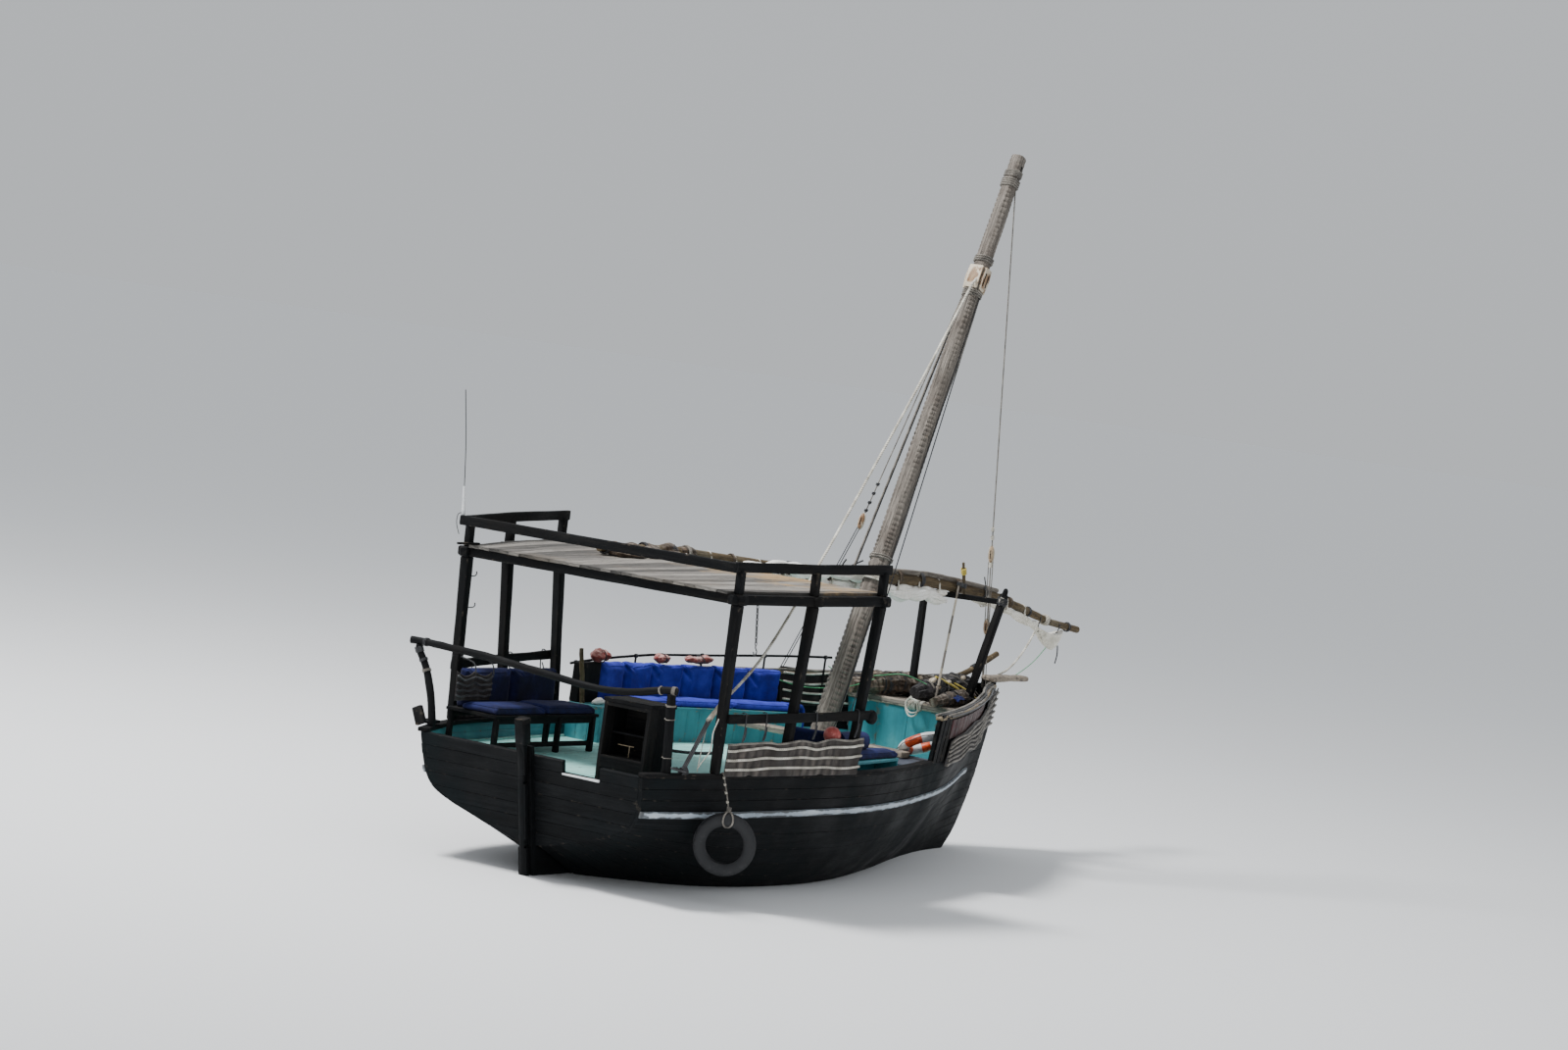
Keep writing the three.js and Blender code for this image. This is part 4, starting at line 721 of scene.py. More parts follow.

# Acrylic boat canvas over foam, lighter on top and darker below: partly sun fading, partly painted top light
# and underside shade.
# The navy is darker than the canvas's own colour, as painted shade for the canopy that the aft and starboard
# cushions sit under.
navyCanvasWithPaintedShade = clothMaterial("navy boat canvas with painted shade", {
    "cloth": ("#060920", "#0b1036", "#1c2763"), "stain": "#070a20", "thread": 0.0022, "rough": 0.85,
    "fadeAndTopLight": 0.22, "stainMost": 0.35, "crease": 0.14, "creaseDeep": 0.012, "sheen": 0.03,
})
royalCanvas = clothMaterial("royal blue boat canvas", {
    "cloth": ("#0f155a", "#1a218c", "#3c49c0"), "stain": "#0d124a", "thread": 0.0022, "rough": 0.82,
    "fadeAndTopLight": 0.3, "stainMost": 0.3, "crease": 0.14, "creaseDeep": 0.012, "sheen": 0.06,
})
# Heavy cotton sailcloth: off-white, greyed and mildewed in its folds.
sailCanvas = clothMaterial("cotton sailcloth", {
    "cloth": ("#d9d4c8", "#f6f3eb", "#ffffff"), "stain": "#bdb5a6", "thread": 0.0016, "rough": 0.9,
    "fadeAndTopLight": 0.12, "crease": 0.07, "creaseDeep": 0.008, "sheen": 0.1, "stainMost": 0.3,
    "weaveShare": 0.05,
})
creamCanvas = clothMaterial("yellowed cotton sailcloth", {
    "cloth": ("#b9b5a6", "#e6e2d4", "#fbf9f2"), "stain": "#9a9482", "thread": 0.0016, "rough": 0.9,
    "fadeAndTopLight": 0.25, "crease": 0.07, "creaseDeep": 0.02, "sheen": 0.1, "stainMost": 0.3,
    "weaveShare": 0.05,
})
# Fishing net in a heap: twine in many crossing lines, brown with grey and white floats of twine.
netTwine = clothMaterial("heaped net twine", {
    "cloth": ("#2a211b", "#6c5a49", "#a39c92"), "stain": "#1d1814", "thread": 0.012, "rough": 0.95,
    "fadeAndTopLight": 0.12, "weaveShare": 0.75, "crease": 0.045, "creaseDeep": 0.03, "patch": 0.09,
    "stainMost": 0.6, "sheen": 0.1,
})
darkNet = clothMaterial("dark wet net twine", {
    "cloth": ("#131215", "#2c282b", "#57524f"), "stain": "#0c0c0e", "thread": 0.012, "rough": 0.9,
    "fadeAndTopLight": 0.12, "weaveShare": 0.7, "crease": 0.05, "creaseDeep": 0.03, "patch": 0.1,
    "stainMost": 0.6,
})
# Woven palm mat, greyed by the sun, with upright ribs. At the bow it is darker with tar.
matWeave = clothMaterial("grey woven palm mat", {
    "cloth": ("#24201e", "#57504b", "#8b837a"), "stain": "#2b2624", "thread": 0.02, "rough": 0.92,
    "fadeAndTopLight": 0.1, "turn": (0.0, 0.0, 0.0), "weaveShare": 0.85, "crease": 0.06, "creaseDeep": 0.006,
    "patch": 0.12, "stainMost": 0.4,
})
darkMat = clothMaterial("tarred woven palm mat", {
    "cloth": ("#141010", "#2b2423", "#4c423c"), "stain": "#0f0c0b", "thread": 0.02, "rough": 0.92,
    "fadeAndTopLight": 0.1, "turn": (0.0, 0.0, 0.0), "weaveShare": 0.7, "crease": 0.06, "creaseDeep": 0.006,
    "patch": 0.12, "stainMost": 0.4,
})
# Life jackets bleached from red to pink and white, lighter where they face up and darker where they face
# down: partly sun fading, partly painted light and shade.
jacketCloth = clothMaterial("faded red life jacket cloth", {
    "cloth": ("#4a1a1c", "#93403c", "#e8c4ba"), "stain": "#2a1214", "thread": 0.002, "rough": 0.8,
    "crease": 0.05, "creaseDeep": 0.012, "patch": 0.06, "fadeAndTopLight": 0.2, "stainMost": 0.6,
})

paleRope = ropeMaterial("sun-bleached laid rope", {"fibre": ("#6f6a60", "#bcb6a8", "#efece2"),
                                                   "rough": 0.85})
greyRope = ropeMaterial("weathered grey laid rope", {"fibre": ("#3b3835", "#6f6a63", "#a39c91"),
                                                     "rough": 0.85})
darkRope = ropeMaterial("tarred laid rope", {"fibre": ("#101012", "#25262a", "#4a4a4c"), "rough": 0.7})
tealRope = ropeMaterial("green nylon rope", {"fibre": ("#1d5236", "#3b8f5a", "#8fcf9f"), "rough": 0.6})
yellowRope = ropeMaterial("yellow nylon rope", {"fibre": ("#7a6a24", "#cdb64a", "#efe08a"), "rough": 0.6})

tyreRubber = hardMaterial("old tyre rubber", {
    "colours": ("#101114", "#1d1e21", "#3a3a3b"), "rough": (0.6, 0.85), "pit": 0.01, "relief": 0.0012})
gelcoat = hardMaterial("white glass-fibre gelcoat", {"colours": ("#c9ccce", "#e6e8e8", "#f6f7f6"),
                                                     "rough": (0.25, 0.45)})
zincSteel = hardMaterial("galvanised steel", {
    "colours": ("#2a2826", "#4a4a4b", "#77797b"), "rough": (0.4, 0.75), "metal": 0.6, "patch": 0.03})
coralPlastic = hardMaterial("sun-bleached red float plastic", {
    "colours": ("#8f3634", "#b85650", "#dba29a"), "rough": (0.35, 0.6)})
floatPlastic = hardMaterial("orange float plastic", {"colours": ("#b2350f", "#e2521f", "#f28a5c"),
                                                     "rough": (0.3, 0.55)})
print("materials made:", len(bpy.data.materials))


# Hull

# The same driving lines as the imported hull's, in metres; full is a number. Each column is one
# station: keelZ is the rabbet, the bilge is the corner that a section bends round, and the sheer is
# the top of the side.
hullLines = {
    "x": (-0.16, 0.65, 1.45, 2.30, 3.30, 4.20, 5.05, 5.90, 6.70, 7.45, 8.15, 8.87),
    "keelZ": (0.30, -0.06, -0.29, -0.40, -0.43, -0.44, -0.44, -0.435, -0.42, -0.395, -0.34, -0.20),
    "bilgeY": (1.34, 1.50, 1.56, 1.60, 1.60, 1.48, 1.26, 0.98, 0.68, 0.40, 0.20, 0.096),
    "bilgeZ": (0.64, 0.42, 0.15, 0.0, -0.06, -0.08, -0.09, -0.10, -0.09, -0.06, 0.0, 0.20),
    "full": (3.6, 2.5, 2.0, 1.8, 1.7, 1.6, 1.4, 1.2, 1.0, 0.9, 0.9, 1.0),
    "sheerY": (1.365, 1.64, 1.75, 1.85, 1.90, 1.80, 1.62, 1.39, 1.09, 0.75, 0.39, 0.097),
    "sheerZ": (1.265, 1.285, 1.295, 1.30, 1.31, 1.325, 1.345, 1.375, 1.41, 1.45, 1.49, 1.53),
}
hullSize = {
    "garboardY": 0.1, "postHalf": 0.0553, "plankThick": 0.045, "gunwaleThick": 0.045, "seat": 0.0003,
    "sternRake": 0.249, "transomFoot": 0.155, "hoodEnd": 0.06, "strakeDeep": 0.07, "strakeProud": 0.028,
    "deckTop": 1.07, "foredeckTop": 1.70, "bulwarkAft": 4.95, "bulwarkThick": 0.04, "flare": 0.12,
    "railAft": 1.79, "railFore": 1.90,
}
hullLook = {
    "planksBelow": 11, "planksAbove": 3, "step": 0.1, "seam": 0.006, "butt": 2.6,
    "deckPlank": 0.155, "liningPlanks": 2, "bulwarkPlanks": 3,
}
stemLine = smooth([(7.15, -0.52), (7.70, -0.38), (8.06, -0.18), (8.26, 0.02), (8.47, 0.24), (8.71, 0.67),
                   (8.86, 1.06), (8.96, 1.40), (9.04, 1.96)], 8)
firstX, lastX = hullLines["x"][0], hullLines["x"][-1]


# A line of the hull at stations x: a cubic through the table, whose slope at each station is that
# between its neighbours.
def lineAt(name, x):
    xs, ys = np.array(hullLines["x"]), np.array(hullLines[name])
    slope = np.concatenate([[(ys[1] - ys[0]) / (xs[1] - xs[0])], (ys[2:] - ys[:-2]) / (xs[2:] - xs[:-2]),
                            [(ys[-1] - ys[-2]) / (xs[-1] - xs[-2])]])
    i = np.clip(np.searchsorted(xs, x, side="right") - 1, 0, len(xs) - 2)
    span = xs[i + 1] - xs[i]
    t = (x - xs[i]) / span
    return ((2 * t ** 3 - 3 * t ** 2 + 1) * ys[i] + (t ** 3 - 2 * t ** 2 + t) * span * slope[i]
            + (3 * t ** 2 - 2 * t ** 3) * ys[i + 1] + (t ** 3 - t ** 2) * span * slope[i + 1])


def transomX(z):
    return hullSize["transomFoot"] - hullSize["sternRake"] * z


def stemX(z):
    return np.interp(z, stemLine[:, 1], stemLine[:, 0])


# A station leans aft with the transom and forward with the stem, in proportion to where it stands.
def trueX(station, z):
    share = (station - firstX) / (lastX - firstX)
    return transomX(z) + (stemX(z) - hullSize["hoodEnd"] - transomX(z)) * share


def stationOf(x, z):
    return firstX + (lastX - firstX) * (x - transomX(z)) / (stemX(z) - hullSize["hoodEnd"] - transomX(z))


def strakeZ(station):
    return 0.81 + 0.0115 * (station - firstX)


# Points on the port side: level 0 is the rabbet, 1 the strake's lower edge along the girth, and 2
# the top of the side. A section is a conic from the keel round the bilge corner to the sheer.
def hullSide(stations, levels):
    stations, levels = np.asarray(stations, float), np.asarray(levels, float)
    t = np.linspace(0, 1, 200)
    full = lineAt("full", stations)[:, None]
    a, b, c = (1 - t) ** 2, 2 * full * t * (1 - t), t * t
    y = (a * hullSize["garboardY"] + b * lineAt("bilgeY", stations)[:, None]
         + c * lineAt("sheerY", stations)[:, None]) / (a + b + c)
    z = (a * lineAt("keelZ", stations)[:, None] + b * lineAt("bilgeZ", stations)[:, None]
         + c * lineAt("sheerZ", stations)[:, None]) / (a + b + c)
    made = np.empty((len(stations), len(levels), 3))
    top = lineAt("sheerZ", stations) - hullSize["gunwaleThick"] - hullSize["seat"]
    for row, (ys, zs, strake) in enumerate(zip(y, z, strakeZ(stations))):
        girth = np.concatenate([[0], np.cumsum(np.hypot(np.diff(ys), np.diff(zs)))])
        below = np.interp(np.minimum(levels, 1) * np.interp(strake, zs, girth), girth, zs)
        heights = np.where(levels <= 1, below, strake + (levels - 1) * (top[row] - strake))
        made[row, :, 1] = np.interp(heights, zs, ys)
        made[row, :, 2] = heights
    made[..., 0] = trueX(stations[:, None], made[..., 2])
    made[..., 1] = np.maximum(made[..., 1], hullSize["postHalf"])
    return made


# The planks' inner half-breadth at true x and a height.
def insideHalf(x, z):
    stations = stationOf(np.atleast_1d(x), z)
    strake = strakeZ(stations)
    top = lineAt("sheerZ", stations) - hullSize["gunwaleThick"] - hullSize["seat"]
    levels = 1 + (z - strake) / (top - strake)
    side = np.array([hullSide([s], [level])[0, 0, 1] for s, level in zip(stations, levels)])
    return side - hullSize["plankThick"]


# The direction into the hull at each row of a plank on the port side.
def inward(face):
    rise = face[:, -1] - face[:, 0]
    return unit(np.stack([np.zeros(len(rise)), -rise[:, 2], rise[:, 1]], axis=1))


def hullPlanks(look):
    parts = []
    stations = np.arange(firstX, lastX, look["step"])
    stations = np.append(stations, lastX)
    strakeTop = 1 + hullSize["strakeDeep"] / (lineAt("sheerZ", 3.0) - hullSize["gunwaleThick"]
                                              - strakeZ(3.0))
    levels = [*np.linspace(0, 1, look["planksBelow"] + 1), *np.linspace(strakeTop, 2,
                                                                        look["planksAbove"] + 1)]
    for number, (low, high) in enumerate(zip(levels, levels[1:])):
        face = hullSide(stations, np.linspace(low, high, 5))
        made = board(face, inward(face), hullSize["plankThick"], edge=look["seam"], seed=number,
                     uneven=0.002)
        dice = np.random.default_rng(number + 50)
        butt = np.floor((stations + dice.uniform(0, look["butt"])) / look["butt"])
        made["tint"] = (np.sin(butt * 12.9 + number * 7.1) * 0.5 + 0.5)[:, None]
        parts.append(made)
    return parts


sidePlanks = hullPlanks(hullLook)
makePiece("planking_port", sidePlanks, [tarredPlanks], stands=["hull_planking_port"])
makePiece("planking_starboard", mirrored(sidePlanks), [tarredPlanks], stands=["hull_planking_starboard"])


# The rubbing strake: a proud pale band along the upper side.
def strakeBoards():
    stations = np.arange(firstX, lastX - 0.55, 0.12)
    top = lineAt("sheerZ", stations) - hullSize["gunwaleThick"] - hullSize["seat"]
    faces = []
    for station, high in zip(stations, top):
        levels = 1 + np.array([0, 0.5, 1]) * hullSize["strakeDeep"] / (high - strakeZ(station))
        faces.append(hullSide([station], levels)[0])
    face = np.array(faces) + (0, hullSize["strakeProud"], 0)
    return [board(face, (0, -1, 0), hullSize["strakeProud"] - hullSize["seat"], edge=0.008, cup=0.004,
                  seed=31)]


strake = strakeBoards()
makePiece("strake_port", strake, [stripeBoards], stands=["rub_strake_port"])
makePiece("strake_starboard", mirrored(strake), [stripeBoards], stands=["rub_strake_starboard"])


# The gunwale caps the side from the transom to the raised bow.
def gunwaleCap():
    stations = np.append(np.arange(firstX, hullSize["bulwarkAft"] - 0.06, 0.12),
                         hullSize["bulwarkAft"] - 0.006)
    sheer = hullSide(stations, [2.0])[:, 0]
    line = sheer + (0, -0.025, hullSize["seat"] + hullSize["gunwaleThick"] / 2)
    return [timber(line, 0.12, hullSize["gunwaleThick"], corner=0.3, uneven=0.002, seed=5)]


cap = gunwaleCap()
makePiece("gunwale_cap_port", cap, [dryTarred], stands=["gunwale_port"])
makePiece("gunwale_cap_starboard", mirrored(cap), [dryTarred], stands=["gunwale_starboard"])


# The transom: planks across the stern, shaped to the sides, with a notch to starboard.
transomLook = {"thick": 0.05, "notchFrom": 0.40, "notchTo": 0.85, "notchSill": 1.10, "planks": 7}


def transomBoards(look):
    column = hullSide([firstX], np.linspace(0.02, 2, 80))[0]
    inner = column[:, 1] - hullSize["plankThick"] - 0.002
    heights = column[:, 2]
    bounds = np.linspace(heights[0], look["notchSill"], look["planks"])
    bounds = np.append(bounds, heights[-1] - 0.0006)
    parts = []
    for number, (low, high) in enumerate(zip(bounds, bounds[1:])):
        zs = np.linspace(low, high, 5)
        half = np.maximum(np.interp(zs, heights, inner), 0.06)
        spans = [(-1.0, 1.0)]
        if low >= look["notchSill"] - 1e-6:
            spans = [(-1.0, -look["notchTo"] / half.mean()), (-look["notchFrom"] / half.mean(), 1.0)]
        for first, last in spans:
            share = np.linspace(first, last, 24)[:, None]
            y = share * half
            z = np.broadcast_to(zs, y.shape)
            face = np.stack([transomX(z), y, z], axis=-1)
            parts.append(board(face, unit(np.array((1, 0, hullSize["sternRake"]))), look["thick"],
                               edge=0.004, seed=70 + number))
    sill = [timber([(transomX(1.1) - 0.004, -look["notchTo"], 1.094), (transomX(1.1) - 0.004,
                                                                       -look["notchFrom"], 1.094)], 0.034,
                   0.024, corner=0.3, skin=1, seed=3, wear=0.0)]
    return parts + sill


makePiece("transom_planks", transomBoards(transomLook), [tarredPlanks, gelcoat], stands=["transom"])


# Lining boards inside the sides, above the deck.
def liningBoards(look):
    parts = []
    low, high = hullSize["deckTop"] + 0.004, 1.25
    bounds = np.linspace(low, high, look["liningPlanks"] + 1)
    x = np.arange(0.0, 8.0, 0.2)
    for number, (a, b) in enumerate(zip(bounds, bounds[1:])):
        zs = np.linspace(a, b, 3)
        face = np.stack([np.stack([x, insideHalf(x, z) - 0.014, np.full(len(x), z)], 1) for z in zs], axis=1)
        parts.append(board(face, (0, 1, 0), 0.012, edge=0.004, seed=110 + number))
    return parts


lining = liningBoards(hullLook)
makePiece("lining_port", lining, [tealBoards])
makePiece("lining_starboard", mirrored(lining), [tealBoards])


# Deck planks laid fore and aft, with a covering board along each side.
def deckPlanks(look):
    parts = []
    x = np.arange(0.0, 8.15, 0.1)
    z = hullSize["deckTop"]
    half = insideHalf(x, z) - 0.002
    x[0] = transomX(z) + 0.052
    count = int(half.max() / look["deckPlank"]) + 1
    for k in range(-count, count):
        low, high = k * look["deckPlank"], (k + 1) * look["deckPlank"]
        near, far = (low, high) if k >= 0 else (-high, -low)
        kept = half > near + 0.02
        if not kept.any():
            continue
        xs, edge = x[kept], np.minimum(half[kept], far)
        sign = 1 if k >= 0 else -1
        face = np.stack([np.stack([xs, np.full(len(xs), sign * (near + 0.001)), np.full(len(xs), z)], 1),
                         np.stack([xs, sign * (near + edge) / 2, np.full(len(xs), z)], 1),
                         np.stack([xs, sign * edge, np.full(len(xs), z)], 1)], axis=1)
        parts.append(board(face, (0, 0, -1), 0.033, edge=0.004, uneven=0.001, seed=130 + k + count))
    for sign in (1, -1):
        line = np.stack([x, sign * (half - 0.04), np.full(len(x), z + 0.008)], 1)
        parts.append(timber(line, 0.07, 0.02, corner=0.3, uneven=0.001, seed=170))
    return parts


makePiece("deck_planks", deckPlanks(hullLook), [deckBoards], stands=["main_deck"])


# The raised bow: bulwark planks under a cap rail, upright staves at the after end, and boards with
# cords stretched along them.
def bulwarkSide(stations, shares):
    stations, shares = np.asarray(stations, float), np.asarray(shares, float)
    base = hullSide(stations, [2.0])[:, 0]
    along = (stations - hullSize["bulwarkAft"]) / (lastX - hullSize["bulwarkAft"])
    rail = hullSize["railAft"] + (hullSize["railFore"] - hullSize["railAft"]) * along
    lean = hullSize["flare"] * (1 - along ** 6)
    z = base[:, 2:] + 0.0003 + shares * (rail - base[:, 2])[:, None]
    y = base[:, 1:2] + lean[:, None] * (z - base[:, 2:])
    return np.stack([trueX(stations[:, None], z), y, z], axis=-1)


bulwarkLook = {"staves": 3, "staveWide": 0.13, "redFrom": 5.42, "redTo": 7.3, "capRopes": 4}


def bulwarkBoards(look, side):
    parts = []
    stations = np.append(np.arange(hullSize["bulwarkAft"], lastX, 0.1), lastX)
    shares = np.linspace(0, 1, hullLook["bulwarkPlanks"] + 1)
    for number, (low, high) in enumerate(zip(shares, shares[1:])):
        face = bulwarkSide(stations, np.linspace(low, high, 4))
        parts.append(board(face, (0, -1, 0), hullSize["bulwarkThick"], edge=0.005,
                           seed=200 + number + 10 * side))
    top = bulwarkSide(stations[:-3], [1.0])[:, 0]
    parts.append(timber(top + (0, -0.02, 0.012), 0.085, 0.04, corner=0.3, uneven=0.006, seed=6 + side,
                        skin=3))
    for k in range(look["capRopes"]):
        wave = 0.016 * np.sin(stations[:-3] * 4.1 + 2 * k + side) + 0.008 * np.sin(stations[:-3] * 11 + k)
        line = top + np.stack([0 * wave, 0.034 * k - 0.06 + 0.5 * wave, 0.044 - 0.008 * k + 0.3 * wave],
                              axis=1)
        parts.append(rope(smooth(line[k:len(line) - k], 3), 0.03 - 0.003 * k, skin=4 + k % 2))
    first = hullSize["bulwarkAft"]
    for k in range(look["staves"]):
        at = [first + 0.02 + k * (look["staveWide"] + 0.008), first + (k + 1) * (look["staveWide"] + 0.008)]
        rise = 1.05 + 0.07 * np.sin(k * 2.3 + side)
        face = bulwarkSide(at, np.linspace(0.02, rise, 8)).transpose(1, 0, 2) + (0, 0.02, 0)
        parts.append(board(face, (0, -1, 0), 0.018, edge=0.005, uneven=0.004, seed=220 + k, skin=1))
    for number, start in enumerate(np.arange(look["redFrom"], look["redTo"], 0.16)):
        at = [start, start + 0.15]
        face = bulwarkSide(at, np.linspace(0.5, 0.93, 6)).transpose(1, 0, 2) + (0, 0.012, 0)
        parts.append(board(face, (0, -1, 0), 0.012, edge=0.004, uneven=0.003, seed=240 + number + side,
                           skin=2))
    return parts


bulwarkSkins = [tarredPlanks, dryTarred, redBoards, greyBark, greyRope, darkRope]
makePiece("bulwark_port", bulwarkBoards(bulwarkLook, 0), bulwarkSkins, stands=["bow_bulwark_port"])
makePiece("bulwark_starboard", mirrored(bulwarkBoards(bulwarkLook, 1)), bulwarkSkins,
          stands=["bow_bulwark_starboard"])


matLook = {"thick": 0.012, "ridge": 0.026, "sway": 0.012}


# A woven mat against a bulwark, its cords in waves along it: height + sway x two sines of x. It goes
# from the low share of the bulwark's height to the first and then the second of the high ones, and
# the offset is how far its middle stands out from the bulwark's outer face.
def bulwarkMat(look, first, last, low, high, offset, ridges, seed):

    # A line along the mat at a share of its height.
    def along(at, share):
        top = np.interp(at, (first, last), high)
        return bulwarkSide(at, (low + (top - low) * share)[:, None])[:, 0]

    at = np.arange(first, last, 0.06)
    sag = 0.02 * np.sin((at - at[0]) * 2.3 + seed) + 0.01 * np.sin(at * 7.1 + seed)
    face = np.stack([along(at, share) for share in np.linspace(0, 1, 10)], axis=1)
    face[..., 1] += offset + np.sign(offset) * 0.008 * (1 + ripple(face, 0.35, seed))
    face[..., 2] += sag[:, None]
    parts = [board(face, (0, -np.sign(offset), 0), look["thick"], edge=0.004, uneven=0.003, seed=seed)]
    fine = np.arange(first + 0.02, last - 0.06, 0.03)
    for k in range(ridges):
        line = along(fine, (k + 0.5) / ridges)
        sway = look["sway"] * (np.sin(fine * 3.2 + 0.7 * k + seed) + 0.5 * np.sin(fine * 7 + k))
        line[:, 1] += offset + np.sign(offset) * (0.02 + 0.3 * np.abs(sway))
        line[:, 2] += np.interp(fine, at, sag) + sway
        parts.append(rope(line, look["ridge"], skin=1))
    return parts


starboardMat = mirrored(bulwarkMat(matLook, 5.42, 8.82, -0.12, (0.45, 0.95), 0.034, 6, 31))
makePiece("bow_mat_starboard", starboardMat, [darkMat, greyRope])
portMat = bulwarkMat(matLook, 6.3, 8.0, 0.25, (1.12, 1.12), -hullSize["bulwarkThick"] - 0.012, 4, 33)
makePiece("bow_mat_port", portMat, [darkMat, paleRope])


# Foredeck planks across its width, the worn beam at their after edge and the painted bulkhead.
def foredeckBoards():
    parts = []
    low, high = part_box("foredeck")
    z = hullSize["foredeckTop"]
    stations = np.linspace(stationOf(low.x + 0.01, z), stationOf(high.x - 0.01, z), 14)
    top = lineAt("sheerZ", stations) - hullSize["gunwaleThick"]
    along = (stations - hullSize["bulwarkAft"]) / (lastX - hullSize["bulwarkAft"])
    base = hullSide(stations, [2.0])[:, 0, 1]
    half = base + hullSize["flare"] * (1 - along ** 6) * (z - top) - hullSize["bulwarkThick"] - 0.002
    x = trueX(stations, z)
    count = 9
    for k in range(count):
        shares = np.array([2 * k / count - 1, (2 * k + 1) / count - 1, 2 * (k + 1) / count - 1])
        face = np.stack([np.stack([x, share * half, np.full(len(x), z)], 1) for share in shares], axis=1)
        parts.append(board(face, (0, 0, -1), 0.033, edge=0.004, uneven=0.002, seed=260 + k))
    return parts


makePiece("foredeck_planks", foredeckBoards(), [silverWood], stands=["foredeck"])


def foredeckEnd():
    low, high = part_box("foredeck_beam")
    middle = (low + high) / 2
    beam = timber([(middle.x, low.y, middle.z), (middle.x, high.y, middle.z)], high.x - low.x,
                  high.z - low.z, corner=0.22, uneven=0.006, seed=8)
    return [beam]


makePiece("foredeck_end_beam", foredeckEnd(), [silverWood], stands=["foredeck_beam"])


# Upright boards with a rail, painted on their after side.
def bulkheadBoards():
    low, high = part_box("foredeck_bulkhead")
    parts = []
    count = 4
    edges = np.linspace(low.y, high.y, count + 1)
    wide = insideHalf(low.x + 0.03, hullSize["deckTop"] + 0.1)[0] - 0.008
    for number, (a, b) in enumerate(zip(edges, edges[1:])):
        squeeze = wide / high.y
        parts.append(plank((low.x, a * squeeze, low.z), (low.x, a, high.z), (low.x, b, high.z),
                           (low.x, b * squeeze, low.z), (1, 0, 0), high.x - low.x, rows=8,
                           seed=280 + number))
    return parts


makePiece("bulkhead_boards", bulkheadBoards(), [tealBoards], stands=["foredeck_bulkhead"])

# The keel, stem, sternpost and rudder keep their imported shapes.
for name, material in (("keel", tarredAlong), ("stem_post", tarredUpright), ("stern_post", tarredUpright),
                       ("rudder", tarredUpright)):
    nodes[name].data.materials.clear()
    nodes[name].data.materials.append(material)
print("hull built")


# Roofed after part

# The canopy stands in its own frame, which climbs towards the bow.
canopySize = {
    "rakeDegrees": 1.81, "postX": (0.754, 1.784, 2.895), "topY": (1.667, 1.901, 2.025),
    "underside": 2.957, "beamDepth": 0.1, "beamWide": 0.09, "boardThick": 0.028, "railTop": 3.379,
    "railDeep": 0.1, "railThick": 0.045, "postWide": 0.1, "footWide": 0.084, "overhang": 0.11,
}
canopyLook = {"boards": 25, "boardSlip": 0.016}
rake = np.radians(canopySize["rakeDegrees"])
postX = np.array(canopySize["postX"])
topY = np.array(canopySize["topY"])
beamTop = canopySize["underside"] + canopySize["beamDepth"]
roofAft = postX[0] - canopySize["overhang"]
roofFore = postX[2] + canopySize["overhang"]


def toBoat(points):
    points = np.asarray(points, float)
    x, y, z = np.moveaxis(points, -1, 0)
    return np.stack([x * np.cos(rake) - z * np.sin(rake), y, z * np.cos(rake) + x * np.sin(rake)], axis=-1)


def leaned(parts):
    return [{**p, "points": toBoat(p["points"])} for p in parts]


# The roof's half-width at x, straight between the posts and beyond them.
def roofHalf(x):
    slopes = np.diff(topY) / np.diff(postX)
    x = np.asarray(x, float)
    return np.where(x < postX[1], topY[0] + slopes[0] * (x - postX[0]), topY[1] + slopes[1] * (x - postX[1]))


footAt = toBoat(np.stack([postX, 0 * postX, 0 * postX + 1.3], 1))[:, 0]
footY = lineAt("sheerY", footAt) - 0.022
footZ = (lineAt("sheerZ", footAt) + 0.0007 - (postX - canopySize["footWide"] / 2)
         * np.sin(rake)) / np.cos(rake)


def canopyPosts():
    for sideName, side in (("port", 1), ("starboard", -1)):
        for k in range(3):
            path = [(postX[k], side * footY[k], footZ[k]), (postX[k], side * topY[k],
                                                            canopySize["underside"])]
            wide = (canopySize["footWide"], canopySize["postWide"])
            post = timber(path, wide, wide, up=(0, 1, 0), corner=0.14, uneven=0.0025, seed=300 + k)
            name = f"canopy_post_{sideName}_{k + 1}"
            makePiece(f"post_{sideName}_{k + 1}", leaned([post]), [dryTarred], stands=[name])


canopyPosts()


def roofBeams():
    parts = []
    middle = canopySize["underside"] + canopySize["beamDepth"] / 2
    for side in (1, -1):
        xs = np.array([roofAft, postX[1], roofFore])
        path = np.stack([xs, side * roofHalf(xs), 0 * xs + middle], 1)
        parts.append(timber(path, canopySize["beamWide"], canopySize["beamDepth"], uneven=0.003,
                            seed=310 + side))
    for k in range(3):
        half = topY[k] + 0.1
        path = [(postX[k], -half, middle), (postX[k], half, middle)]
        parts.append(timber(path, canopySize["beamWide"], canopySize["beamDepth"] - 0.001, uneven=0.003,
                            seed=315 + k))
    return leaned(parts)


makePiece("roof_beams", roofBeams(), [dryTarred], stands=["roof_frame"])


